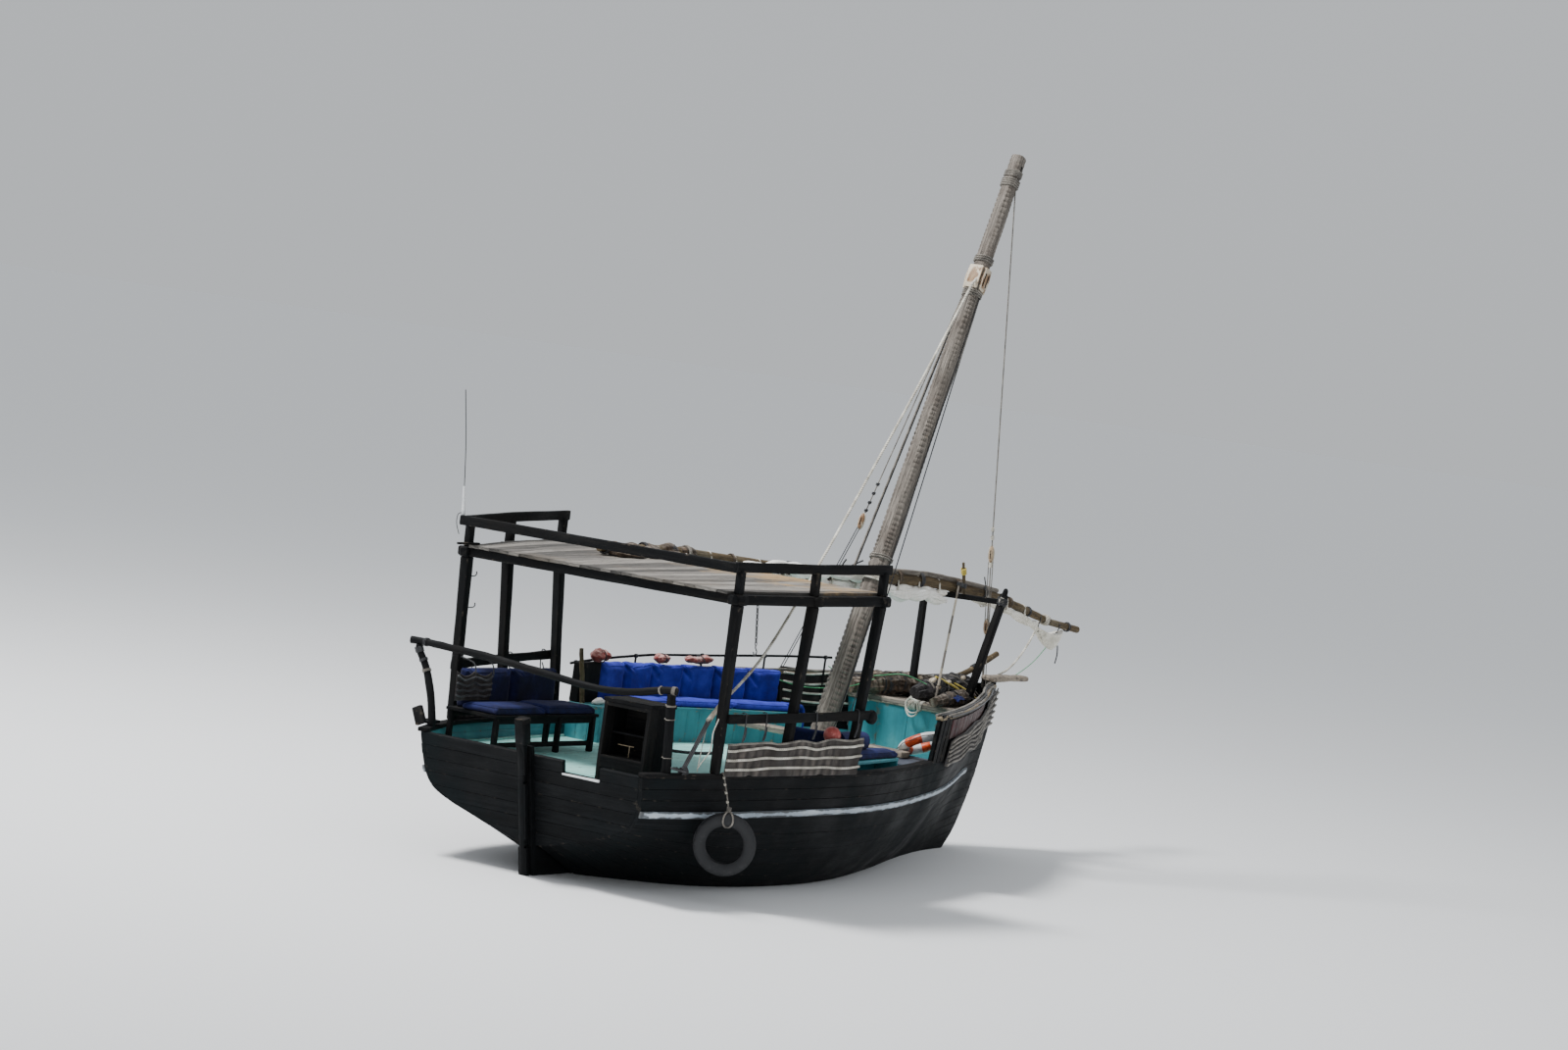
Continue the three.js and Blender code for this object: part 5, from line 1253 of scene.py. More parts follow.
# Boards laid fore and aft, with ragged ends. Their wear grows towards the fore starboard corner:
# share of the way forward x share of the way to starboard, in patches.
def roofBoards(look):
    parts = []
    edges = np.linspace(-1, 1, look["boards"] + 1)
    dice = np.random.default_rng(41)
    z = beamTop + 0.0003 + canopySize["boardThick"]
    for number, (a, b) in enumerate(zip(edges, edges[1:])):
        slip = dice.uniform(-1, 0.4, 2) * look["boardSlip"]
        x = np.linspace(roofAft + 0.012 + slip[0], roofFore - 0.012 - slip[1], 18)
        half = roofHalf(x) - 0.055
        shares = [a, a * 0.5 + b * 0.5, b]
        face = np.stack([np.stack([x, half * share, np.full(len(x), z)], 1) for share in shares], axis=1)
        made = board(face, (0, 0, -1), canopySize["boardThick"], edge=0.004, cup=-0.003, uneven=0.002,
                     seed=330 + number)
        toCorner = np.clip((x - 0.9) / 2.2, 0, 1) * np.clip(1.1 - 1.5 * (a + b) / 2, 0, 1)
        made["wear"] = np.clip(toCorner[:, None] + 0.22 * ripple(made["points"], 0.5, 331), 0, 1)
        parts.append(made)
    stick = [(roofAft - 0.14, half[0] + 0.03, z + 0.012), (roofAft + 0.16, half[0] - 0.02, z + 0.012)]
    parts.append(timber(stick, 0.035, 0.022, uneven=0.002, seed=349, skin=1))
    return leaned(parts)


makePiece("roof_boards", roofBoards(canopyLook), [roofWood, dryTarred], stands=["roof_planks"])


def upperRails():
    low = canopySize["railTop"] - canopySize["railDeep"]
    middle = low + canopySize["railDeep"] / 2
    for sideName, side in (("port", 1), ("starboard", -1)):
        xs = np.array([roofAft, postX[1], roofFore])
        path = np.stack([xs, side * roofHalf(xs), 0 * xs + middle], 1)
        parts = [timber(path, canopySize["railThick"], canopySize["railDeep"], corner=0.2, uneven=0.002,
                        seed=350)]
        for k in range(3):
            stub = [(postX[k], side * topY[k], beamTop + 0.0003), (postX[k], side * topY[k], low + 0.02)]
            parts.append(timber(stub, 0.078, 0.082, up=(0, 1, 0), uneven=0.002, seed=353 + k))
        makePiece(f"upper_rail_{sideName}", leaned(parts), [dryTarred], stands=[f"roof_rail_{sideName}"])
    half = roofHalf(roofAft) + 0.06
    x = roofAft - 0.0003 - canopySize["railThick"] / 2
    across = timber([(x, -half, middle), (x, half, middle)], canopySize["railThick"], canopySize["railDeep"],
                    corner=0.2, uneven=0.002, seed=358)
    makePiece("upper_rail_aft", leaned([across]), [dryTarred], stands=["roof_rail_aft"])


upperRails()


# Where a sheet outside the posts runs: it clears each post's after corner.
def besidePosts(x, z):
    x, z = np.broadcast_arrays(np.asarray(x, float), np.asarray(z, float))
    share = (z[..., None] - footZ) / (canopySize["underside"] - footZ)
    half = (canopySize["footWide"] + (canopySize["postWide"] - canopySize["footWide"]) * share) / 2
    rail = footY + (topY - footY) * share + half
    slope = np.diff(rail) / np.diff(postX)
    rail[..., 1:] += slope * half[..., 1:]
    first = rail[..., 0] + (rail[..., 1] - rail[..., 0]) * (x - postX[0]) / (postX[1] - postX[0])
    second = rail[..., 1] + (rail[..., 2] - rail[..., 1]) * (x - postX[1]) / (postX[2] - postX[1])
    return np.where(x < postX[1], first, second)


sideLook = {
    "railLow": 1.775, "railDeep": 0.095, "railThick": 0.042, "matFoot": -0.02, "matHigh": 1.555,
    "matThick": 0.012, "ridges": 3, "ridgeDiameter": 0.027, "edgeDiameter": 0.022, "cordDiameter": 0.014,
    "cordX": (0.98, 1.28, 2.05, 2.75),
}


def sideRail(look, seed):
    xs = np.linspace(postX[0] + 0.01, postX[2] + 0.11, 12)
    z = look["railLow"] + look["railDeep"] / 2
    path = np.stack([xs, besidePosts(xs, z) + 0.0006 + look["railThick"] / 2, 0 * xs + z], 1)
    return leaned([timber(path, look["railThick"], look["railDeep"], corner=0.2, uneven=0.004, seed=seed)])


# A woven mat that stands on the gunwale, stiffened by wavy cords. Its top edge hangs in shallow
# scallops, height = top + 0.022 x |sin 5x|, from the rail's short lines.
def sideMat(look, seed):
    x = np.linspace(postX[0] + 0.06, postX[2] + 0.06, 90)
    low = np.interp(x, postX, footZ) + look["matFoot"]
    high = look["matHigh"] + 0.022 * np.abs(np.sin(x * 5.0 + seed)) + 0.006 * np.sin(x * 13 + seed)

    # A line along the mat at a share of its height, so far out from the posts.
    def along(share, out, wave=0.0):
        z = low + (high - low) * share + wave
        return np.stack([x, besidePosts(x, z) + out, z], axis=1)

    face = np.stack([along(share, 0.0012 + look["matThick"]) for share in np.linspace(0, 1, 12)], axis=1)
    face[..., 1] += 0.01 * (1 + ripple(face, 0.35, seed))
    parts = [board(face, (0, -1, 0), look["matThick"], edge=0.004, uneven=0.003, seed=seed)]
    for k in range(look["ridges"]):
        wave = 0.008 * np.sin(x * 3.4 + 0.6 * k + seed) + 0.004 * np.sin(x * 9 + k)
        parts.append(rope(along((k + 0.8) / (look["ridges"] + 0.4), 0.034, wave), look["ridgeDiameter"],
                          skin=1))
    parts.append(rope(along(1.0, 0.022), look["edgeDiameter"], skin=2))
    for atX in look["cordX"]:
        top = look["railLow"] + look["railDeep"] + 0.004
        outer = float(besidePosts(atX, 1.8)) + look["railThick"] + 0.008
        path = [(atX, outer - 0.045, top + 0.004), (atX, outer, top), (atX + 0.004, outer + 0.002, 1.7),
                (atX + 0.01, float(besidePosts(atX, 1.6)) + 0.04, 1.60),
                (atX + 0.05, float(besidePosts(atX, 1.6)) + 0.04, 1.63), (atX + 0.03, outer + 0.002,
                                                                          1.74)]
        parts.append(rope(smooth(path), look["cordDiameter"], skin=3))
    return leaned(parts)


for sideName, seed in (("port", 3), ("starboard", 8)):
    made = {"side_rail": sideRail(sideLook, 360 + seed), "side_mat": sideMat(sideLook, seed)}
    if sideName == "starboard":
        made = {name: mirrored(parts) for name, parts in made.items()}
    makePiece(f"elbow_rail_{sideName}", made["side_rail"], [dryTarred], stands=[f"side_rail_{sideName}"])
    makePiece(f"woven_mat_{sideName}", made["side_mat"], [matWeave, paleRope, greyRope, darkRope],
              stands=[f"side_mat_{sideName}"])
print("canopy built")


# Quarters: crooked posts, the pole lashed across them, the locker

quarterPaths = {
    "port": [(0.04, 1.385, None, 0.042), (0.04, 1.385, 1.345, 0.042), (0.045, 1.45, 1.60, 0.04),
             (0.06, 1.56, 1.85, 0.038),
             (0.05, 1.66, 2.01, 0.036), (0.05, 1.66, 2.06, 0.036)],
    "starboard": [(0.15, -1.425, None, 0.05), (0.15, -1.425, 1.36, 0.05), (0.145, -1.41, 1.60, 0.048),
                  (0.125, -1.395, 1.98, 0.046), (0.125, -1.395, 2.04, 0.046)],
}
polePath = [(0.025, 1.76, 2.0963, 0.036), (0.06, 1.59, 2.0963, 0.036), (0.03, 1.30, 2.09, 0.038),
            (0.01, 0.70, 2.07, 0.04), (0.01, 0.06, 2.02, 0.038), (0.04, -0.48, 1.975, 0.036),
            (0.07, -0.90, 1.99, 0.036), (0.11, -1.33, 2.0763, 0.036), (0.135, -1.45, 2.0763, 0.036)]
lashLook = {"diameter": 0.009}


def crookedPole(path, name, node, lashes, seed):
    path = np.array([[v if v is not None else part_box(node)[0].z for v in row] for row in path], float)
    line = smooth(path, 6)
    parts = [tube(line, line[:, 3], sides=16, uneven=0.003, size=0.2, seed=seed, up=(1, 0, 0), wear=0.35)]
    for place, half, turns, skin in lashes:
        k = np.argmin(np.linalg.norm(line[:, :3] - place, axis=1))
        k = min(max(k, 1), len(line) - 2)
        parts.append(lashing(line[k, :3], line[k + 1, :3] - line[k - 1, :3], half, lashLook["diameter"],
                             turns, skin=skin))
    makePiece(name, parts, [dryTarred, greyRope, darkRope], stands=[node])


crookedPole(quarterPaths["port"], "quarter_pole_port", "quarter_post_port",
            [((0.05, 1.66, 2.01), 0.038, 6, 2), ((0.055, 1.6, 1.93), 0.038, 3, 2),
             ((0.06, 1.56, 1.80), 0.04, 3, 1)], 21)
crookedPole(quarterPaths["starboard"], "quarter_pole_starboard", "quarter_post_starboard",
            [((0.125, -1.395, 1.92), 0.047, 2, 1), ((0.135, -1.40, 1.78), 0.048, 1, 1),
             ((0.15, -1.42, 1.42), 0.049, 1, 1)], 22)
crookedPole(polePath, "stern_pole", "stern_pole_rail", [((0.06, 1.59, 2.09), 0.037, 4, 2),
                                                        ((0.11, -1.30, 2.07), 0.037, 2, 1),
                                                        ((0.13, -1.42, 2.0763), 0.037, 4, 1)], 23)


# An open-fronted locker of tarred boards with a shelf, and a thin T of pale sticks inside it as a painted
# highlight.
def lockerBoards():
    low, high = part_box("stern_locker")
    wall = 0.04
    roomLow, roomHigh, roomBack = 1.33, 1.82, 0.5
    parts = []
    for y0, y1 in ((low.y, low.y + wall), (high.y - wall, high.y)):
        for number, (a, b) in enumerate(zip(np.linspace(low.x, high.x, 4),
                                            np.linspace(low.x, high.x, 4)[1:])):
            outer = y0 if y0 == low.y else y1
            inner = (0, 1, 0) if y0 == low.y else (0, -1, 0)
            parts.append(plank((a, outer, low.z), (a, outer, high.z - wall), (b, outer, high.z - wall),
                               (b, outer, low.z), inner, wall, rows=8, seed=400 + number))
    for z0, z1 in ((low.z, 1.2), (1.2, roomLow)):
        parts.append(plank((low.x + 0.002, low.y + wall, z0), (low.x + 0.002, high.y - wall, z0),
                           (low.x + 0.002, high.y - wall, z1), (low.x + 0.002, low.y + wall, z1),
                           (1, 0, 0), 0.03, seed=410))
    parts.append(plank((low.x + 0.002, low.y + wall, roomHigh), (low.x + 0.002, high.y - wall, roomHigh),
                       (low.x + 0.002, high.y - wall, high.z - wall), (low.x + 0.002, low.y + wall,
                                                                       high.z - wall), (1, 0, 0), 0.03,
                       seed=411))
    for number, (a, b) in enumerate(zip(np.linspace(low.x, high.x, 4), np.linspace(low.x, high.x, 4)[1:])):
        parts.append(plank((a, low.y - 0.01, high.z), (a, high.y + 0.01, high.z), (b, high.y + 0.01, high.z),
                           (b, low.y - 0.01, high.z), (0, 0, -1), wall, seed=420 + number))
        parts.append(plank((a, low.y + wall, roomLow), (a, high.y - wall, roomLow),
                           (b, high.y - wall, roomLow), (b, low.y + wall, roomLow), (0, 0, -1), 0.02,
                           seed=425 + number))
    for number, (a, b) in enumerate(zip(np.linspace(low.z, high.z - wall, 6),
                                        np.linspace(low.z, high.z - wall, 6)[1:])):
        parts.append(plank((roomBack, low.y + wall, a), (roomBack, high.y - wall, a),
                           (roomBack, high.y - wall, b), (roomBack, low.y + wall, b), (1, 0, 0),
                           high.x - roomBack, seed=430 + number))
    shelf = 1.57
    parts.append(plank((low.x + 0.14, low.y + wall, shelf), (low.x + 0.14, high.y - wall, shelf),
                       (roomBack, high.y - wall, shelf), (roomBack, low.y + wall, shelf), (0, 0, -1),
                       0.02, seed=440))
    # A thin T of pale sticks inside the dark locker stands in for light catching its shelf edges: a painted
    # highlight.
    middle, highlightStickZ = (low.y + high.y) / 2 + 0.06, 1.445
    parts.append(timber([(low.x + 0.13, middle - 0.11, highlightStickZ), (low.x + 0.13, middle + 0.08, highlightStickZ)],
                        0.008, 0.009, skin=1))
    parts.append(timber([(low.x + 0.13, middle - 0.06, roomLow), (low.x + 0.13, middle - 0.06, highlightStickZ)],
                        0.008, 0.01, up=(0, 1, 0), skin=1))
    return parts


makePiece("locker_boards", lockerBoards(), [dryTarred, greyBark], stands=["stern_locker"])
print("quarters built")


# Benches

benchSize = {"top": 1.45, "line": ((2.9, 1.29), (4.1, 1.29), (5.2, 1.05), (6.15, 0.76)), "back": 0.06}
benchX = np.array(benchSize["line"])[:, 0]
benchY = np.array(benchSize["line"])[:, 1]


# The bench front's distance from the centre plane at x, straight between its corners.
def benchFront(x):
    return np.interp(x, benchX, benchY)


def portBench():
    parts = []
    deck = hullSize["deckTop"] + 0.0003
    edges = np.concatenate([np.linspace(a, b, int(round((b - a) / 0.2)) + 1)[:-1]
                            for a, b in zip(benchX, benchX[1:])])
    edges = np.append(edges, benchX[-1])
    for number, (a, b) in enumerate(zip(edges, edges[1:])):
        parts.append(plank((a, benchFront(a), deck), (a, benchFront(a), benchSize["top"] - 0.03),
                           (b, benchFront(b), benchSize["top"] - 0.03), (b, benchFront(b), deck),
                           (0, 1, 0), 0.022, rows=6, seed=450 + number))
    x = np.unique(np.concatenate([benchX, np.linspace(benchX[0], benchX[-1], 20)]))
    far = insideHalf(x, hullSize["deckTop"]) - benchSize["back"]
    for number, (s, t) in enumerate(((0.0, 0.48), (0.5, 1.0))):
        face = np.stack([np.stack([x, benchFront(x) + (far - benchFront(x)) * share,
                                   0 * x + benchSize["top"]], 1) for share in (s, (s + t) / 2, t)],
                        axis=1)
        parts.append(board(face, (0, 0, -1), 0.03, edge=0.006, seed=480 + number))
    for x0, down in ((benchX[0], 1), (benchX[-1], -1)):
        near, back = benchFront(x0), float(insideHalf(x0, hullSize["deckTop"])[0]) - benchSize["back"]
        for number, (a, b) in enumerate(zip(np.linspace(near, back, 4), np.linspace(near, back, 4)[1:])):
            parts.append(plank((x0, a, deck), (x0, a, benchSize["top"] - 0.03),
                               (x0, b, benchSize["top"] - 0.03), (x0, b, deck), (down, 0, 0), 0.022,
                               rows=6, seed=490 + number))
    return parts


makePiece("bench_boards_port", portBench(), [tealBoards], stands=["bench_port"])


def starboardBench():
    low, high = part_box("bench_starboard")
    deck = low.z
    parts = []

    def near(x):
        return -np.interp(x, (3.05, 4.30), (1.42, 1.33))

    def far(x):
        return benchSize["back"] - float(insideHalf(x, hullSize["deckTop"])[0])

    edges = np.linspace(3.05, 4.30, 8)
    for number, (a, b) in enumerate(zip(edges, edges[1:])):
        parts.append(plank((a, near(a), deck), (a, near(a), high.z - 0.03), (b, near(b), high.z - 0.03),
                           (b, near(b), deck), (0, -1, 0), 0.022, rows=6, seed=500 + number))
    for number, (s, t) in enumerate(((0.0, 0.48), (0.5, 1.0))):
        x = np.linspace(3.05, 4.30, 10)
        face = np.stack([np.array([(v, near(v) + (far(v) - near(v)) * share, high.z) for v in x])
                         for share in (s, (s + t) / 2, t)], axis=1)
        parts.append(board(face, (0, 0, -1), 0.03, edge=0.006, seed=510 + number))
    for x0, down in ((3.05, 1), (4.30, -1)):
        parts.append(plank((x0, near(x0), deck), (x0, near(x0), high.z - 0.03), (x0, far(x0), high.z - 0.03),
                           (x0, far(x0), deck), (down, 0, 0), 0.022, rows=6, seed=515))
    return parts


makePiece("bench_boards_starboard", starboardBench(), [tealBoards], stands=["bench_starboard"])


def aftBench():
    low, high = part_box("bench_aft")
    parts = []
    edges = np.linspace(0.80, 1.44, 5)
    for number, (a, b) in enumerate(zip(edges, edges[1:])):
        parts.append(plank((low.x, a, high.z), (high.x, a, high.z), (high.x, b, high.z),
                           (low.x, b, high.z), (0, 0, -1), 0.03, rows=16, seed=520 + number))
    for x, y in ((0.38, 0.83), (1.48, 0.83), (2.09, 0.83), (0.38, 1.40), (2.09, 1.40)):
        parts.append(timber([(x, y, low.z), (x, y, 1.437)], 0.056, 0.056, up=(0, 1, 0), seed=530))
    for y in (0.83, 1.40):
        parts.append(timber([(0.40, y, 1.405), (2.07, y, 1.405)], 0.024, 0.06, corner=0.1, uneven=0.002,
                            seed=535))
    parts.append(timber([(0.40, 0.83, 1.16), (2.07, 0.83, 1.16)], 0.024, 0.05, corner=0.1, uneven=0.002,
                        seed=536))
    return parts


makePiece("bench_boards_aft", aftBench(), [dryTarred], stands=["bench_aft"])
print("benches built")


# Cushions

# Each cushion's plan corners, its lowest and highest z, and which way it leans on its support. The
# foam is blown up as cloth under pressure, and no point moves further than the cap.
cushionLook = {
    "inset": 0.012, "voxel": 0.016, "pressure": 4.0, "frames": 20, "cap": 0.024, "endCap": 0.35,
    "padLength": 1.09, "backLength": 0.47, "piping": 0.0055,
}


# Plan corners of a run of cushions beside the port bench's front line.
def portRun(length, y0, y1):
    count = max(int(round((benchX[-1] - benchX[0] - 0.42) / length)), 1)
    edges = np.linspace(benchX[0] + 0.42, benchX[-1] - 0.004, count + 1)
    return [[(a, benchFront(a) + y0), (b, benchFront(b) + y0), (b, benchFront(b) + y1),
             (a, benchFront(a) + y1)] for a, b in zip(edges, edges[1:])]


def straightRun(x0, x1, y0, y1, count):
    edges = np.linspace(x0, x1, count + 1)
    return [[(a, y0), (b, y0), (b, y1), (a, y1)] for a, b in zip(edges, edges[1:])]


def cushionTable(look):
    rows = []
    seatTop = benchSize["top"] + 0.07
    aftTop = 1.465
    for k, plan in enumerate(portRun(look["padLength"], 0.006, 0.33)):
        rows.append((f"seat_pad_port_{k + 1}", plan, benchSize["top"] + 0.0005, seatTop, "down",
                     "seat_cushions_port"))
    for k, plan in enumerate(portRun(look["backLength"], 0.335, 0.45)):
        rows.append((f"back_pad_port_{k + 1}", plan, benchSize["top"] + 0.0005, 1.9, "out",
                     "back_cushions_port"))
    for k, plan in enumerate(straightRun(0.345, 2.14, 0.805, 1.29, 2)):
        rows.append((f"seat_pad_aft_{k + 1}", plan, aftTop + 0.0005, aftTop + 0.07, "down",
                     "seat_cushion_aft"))
    for k, plan in enumerate(straightRun(0.42, 2.05, 1.295, 1.42, 2)):
        rows.append((f"back_pad_aft_{k + 1}", plan, aftTop + 0.0005, 1.88, "out", "back_cushion_aft"))
    plan = [(3.06, -1.425), (4.29, -1.335), (4.29, -1.635), (3.06, -1.725)]
    rows.append(("seat_pad_starboard", plan, 1.3805, 1.45, "down", "seat_cushion_starboard"))
    return rows


# The rounded block that a cushion starts from, remeshed into even small faces.
def cushionBlock(plan, low, high, look):
    plan = np.array(plan, float)
    centre = plan.mean(0)
    shrunk = plan - np.sign(plan - centre) * look["inset"]
    high = high - look["inset"]
    verts = [(*p, z) for z in (low, high) for p in shrunk]
    faces = [(3, 2, 1, 0), (4, 5, 6, 7), *[(k, (k + 1) % 4, (k + 1) % 4 + 4, k + 4) for k in range(4)]]
    mesh = bpy.data.meshes.new("cushion start")
    mesh.from_pydata(verts, [], faces)
    block = bpy.data.objects.new("cushion start", mesh)
    bpy.context.scene.collection.objects.link(block)
    bevel = block.modifiers.new("edges", "BEVEL")
    bevel.width, bevel.segments = 0.02, 3
    remesh = block.modifiers.new("even faces", "REMESH")
    remesh.mode, remesh.voxel_size = "VOXEL", look["voxel"]
    relax = block.modifiers.new("relax", "SMOOTH")
    relax.iterations = 3
    graph = bpy.context.evaluated_depsgraph_get()
    even = bpy.data.meshes.new_from_object(block.evaluated_get(graph))
    bpy.data.objects.remove(block)
    return even


def coordinates(mesh):
    flat = np.empty(len(mesh.vertices) * 3, np.float32)
    mesh.vertices.foreach_get("co", flat)
    return flat.reshape(-1, 3).astype(float)


# Blows up all cushions in one cloth simulation, and returns each one's points before and after.
def inflate(meshes, pinned, look):
    counts = [len(mesh.vertices) for mesh in meshes]
    starts = np.concatenate([[0], np.cumsum(counts)])
    verts = np.concatenate([coordinates(mesh) for mesh in meshes])
    faces = []
    for start, mesh in zip(starts, meshes):
        corners = np.empty(len(mesh.loops), np.int32)
        mesh.loops.foreach_get("vertex_index", corners)
        faces += (corners.reshape(-1, 4) + start).tolist()
    joined = bpy.data.meshes.new("all cushions")
    joined.from_pydata(verts.tolist(), [], faces)
    soft = bpy.data.objects.new("all cushions", joined)
    bpy.context.scene.collection.objects.link(soft)
    held = soft.vertex_groups.new(name="held")
    held.add(np.flatnonzero(np.concatenate(pinned)).tolist(), 1.0, "REPLACE")
    cloth = soft.modifiers.new("cloth", "CLOTH")
    cloth.settings.vertex_group_mass = "held"
    cloth.settings.use_pressure = True
    cloth.settings.uniform_pressure_force = look["pressure"]
    cloth.settings.effector_weights.gravity = 0
    cloth.settings.quality = 4
    cloth.settings.mass = 0.4
    cloth.collision_settings.use_collision = False
    cloth.point_cache.frame_end = look["frames"]
    for step in range(1, look["frames"] + 1):
        bpy.context.scene.frame_set(step)
    graph = bpy.context.evaluated_depsgraph_get()
    after = coordinates(soft.evaluated_get(graph).data)
    bpy.context.scene.frame_set(1)
    bpy.data.objects.remove(soft)
    return [(verts[a:b], after[a:b]) for a, b in zip(starts, starts[1:])]


def makeCushions(look):
    table = cushionTable(look)
    meshes = [cushionBlock(plan, low, high, look) for _, plan, low, high, _, _ in table]
    pinned = []
    for (_, plan, low, high, rests, _), mesh in zip(table, meshes):
        points = coordinates(mesh)
        far = max(y for _, y in plan) if plan[0][1] > 0 else min(y for _, y in plan)
        hold = points[:, 2] < low + 0.012
        if rests == "out":
            hold |= np.abs(points[:, 1] - far) < look["inset"] + 0.03
        pinned.append(hold)
    pairs = inflate(meshes, pinned, look)
    for (name, plan, low, high, rests, node), mesh, (before, after) in zip(table, meshes, pairs):
        move = after - before
        move[:, 0] *= look["endCap"]
        far = np.linalg.norm(move, axis=1, keepdims=True)
        points = before + move * np.minimum(1, look["cap"] / np.maximum(far, 1e-9))
        lowest = low + 0.0002
        if rests == "down":
            middle = np.array(plan).mean(0)
            half = np.ptp(np.array(plan), axis=0) / 2
            crown = np.clip(1 - ((points[:, :2] - middle) / half) ** 2, 0, 1).prod(1)
            points[:, 2] += np.where(points[:, 2] > (low + high) / 2, 0.008 * crown, 0)
            sag = 0.007 * ripple(points, 0.4, len(name))
        else:
            sag = 0.004 * ripple(points, 0.2, len(name) + int(100 * plan[0][0]))
        points[:, 2] = np.maximum(points[:, 2] + sag * (points[:, 2] > lowest + 0.03), lowest)
        mesh.vertices.foreach_set("co", points.astype(np.float32).ravel())
        mesh.name = name
        for title in ("wear", "tint"):
            attribute = mesh.attributes.new(title, "FLOAT", "POINT")
            dice = np.random.default_rng(len(name) + int(1000 * plan[0][0]))
            value = dice.uniform() if title == "tint" else 0.0
            attribute.data.foreach_set("value", np.full(len(points), value, np.float32))
        mesh.materials.clear()
        # Cushions outside the port run take the navy that is darkened as painted shade.
        mesh.materials.append(royalCanvas if "port" in name else navyCanvasWithPaintedShade)
        mesh.shade_smooth()
        cushion = bpy.data.objects.new(name, mesh)
        bpy.context.scene.collection.objects.link(cushion)
        smoother = cushion.modifiers.new("smoother", "SUBSURF")
        smoother.levels = smoother.render_levels = 1
        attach(cushion, "root")
        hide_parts(node)
        makePiping(name, plan, high, points, mesh, look)
    print("cushions made:", len(table))


# A corded welt along the upper edges: the block's edge, pulled onto the cushion's surface.
def makePiping(name, plan, high, points, mesh, look):
    corners = np.array([(*p, high) for p in plan])
    centre = points.mean(0)
    loop = resample(np.concatenate([corners, corners[:1]]), 0.03)
    tree = BVHTree.FromPolygons(points.tolist(), [list(face.vertices) for face in mesh.polygons])
    welt = []
    for place in loop:
        out = unit(place - centre)
        hit = tree.ray_cast(Vector(place + out * 0.2), Vector(centre - place).normalized())[0]
        if hit is None:
            hit = tree.find_nearest(Vector(place))[0]
        welt.append(hit)
    welt = np.array(welt)
    cord = tube(welt, look["piping"], sides=6, cord=0.01)
    makePiece(f"{name}_welt", [cord], [royalCanvas if "port" in name else navyCanvasWithPaintedShade])


makeCushions(cushionLook)


# Mast

mastSize = {"foot": (5.215, 0.0, 1.07), "head": (7.96, 0.0, 8.01), "footHalf": 0.12, "headHalf": 0.08,
            "cheekLow": 6.42, "cheekHigh": 6.68}
mastLook = {"notchStep": 0.055, "notchDeep": 0.013, "fallDiameter": 0.026, "slots": (-0.035, 0.03)}
mastFoot, mastHead = np.array(mastSize["foot"]), np.array(mastSize["head"])
mastAlong = unit(mastHead - mastFoot)
mastFore = np.array([mastAlong[2], 0, -mastAlong[0]])


def onMast(z):
    return mastFoot + (mastHead - mastFoot) * (z - mastFoot[2]) / (mastHead[2] - mastFoot[2])


def mastHalf(z):
    share = (z - mastFoot[2]) / (mastHead[2] - mastFoot[2])
    return mastSize["footHalf"] + (mastSize["headHalf"] - mastSize["footHalf"]) * share


# The spar's section is square with broad chamfers.
def mastSection(half, chamfer=0.45):
    b = 1 - chamfer
    corners = np.array([(1, b), (b, 1), (-b, 1), (-1, b), (-1, -b), (-b, -1), (b, -1), (1, -b)], float)
    ring = resample(np.column_stack([np.concatenate([corners, corners[:1]]), np.zeros(9)]), 0.16)[:-1, :2]
    return ring * half


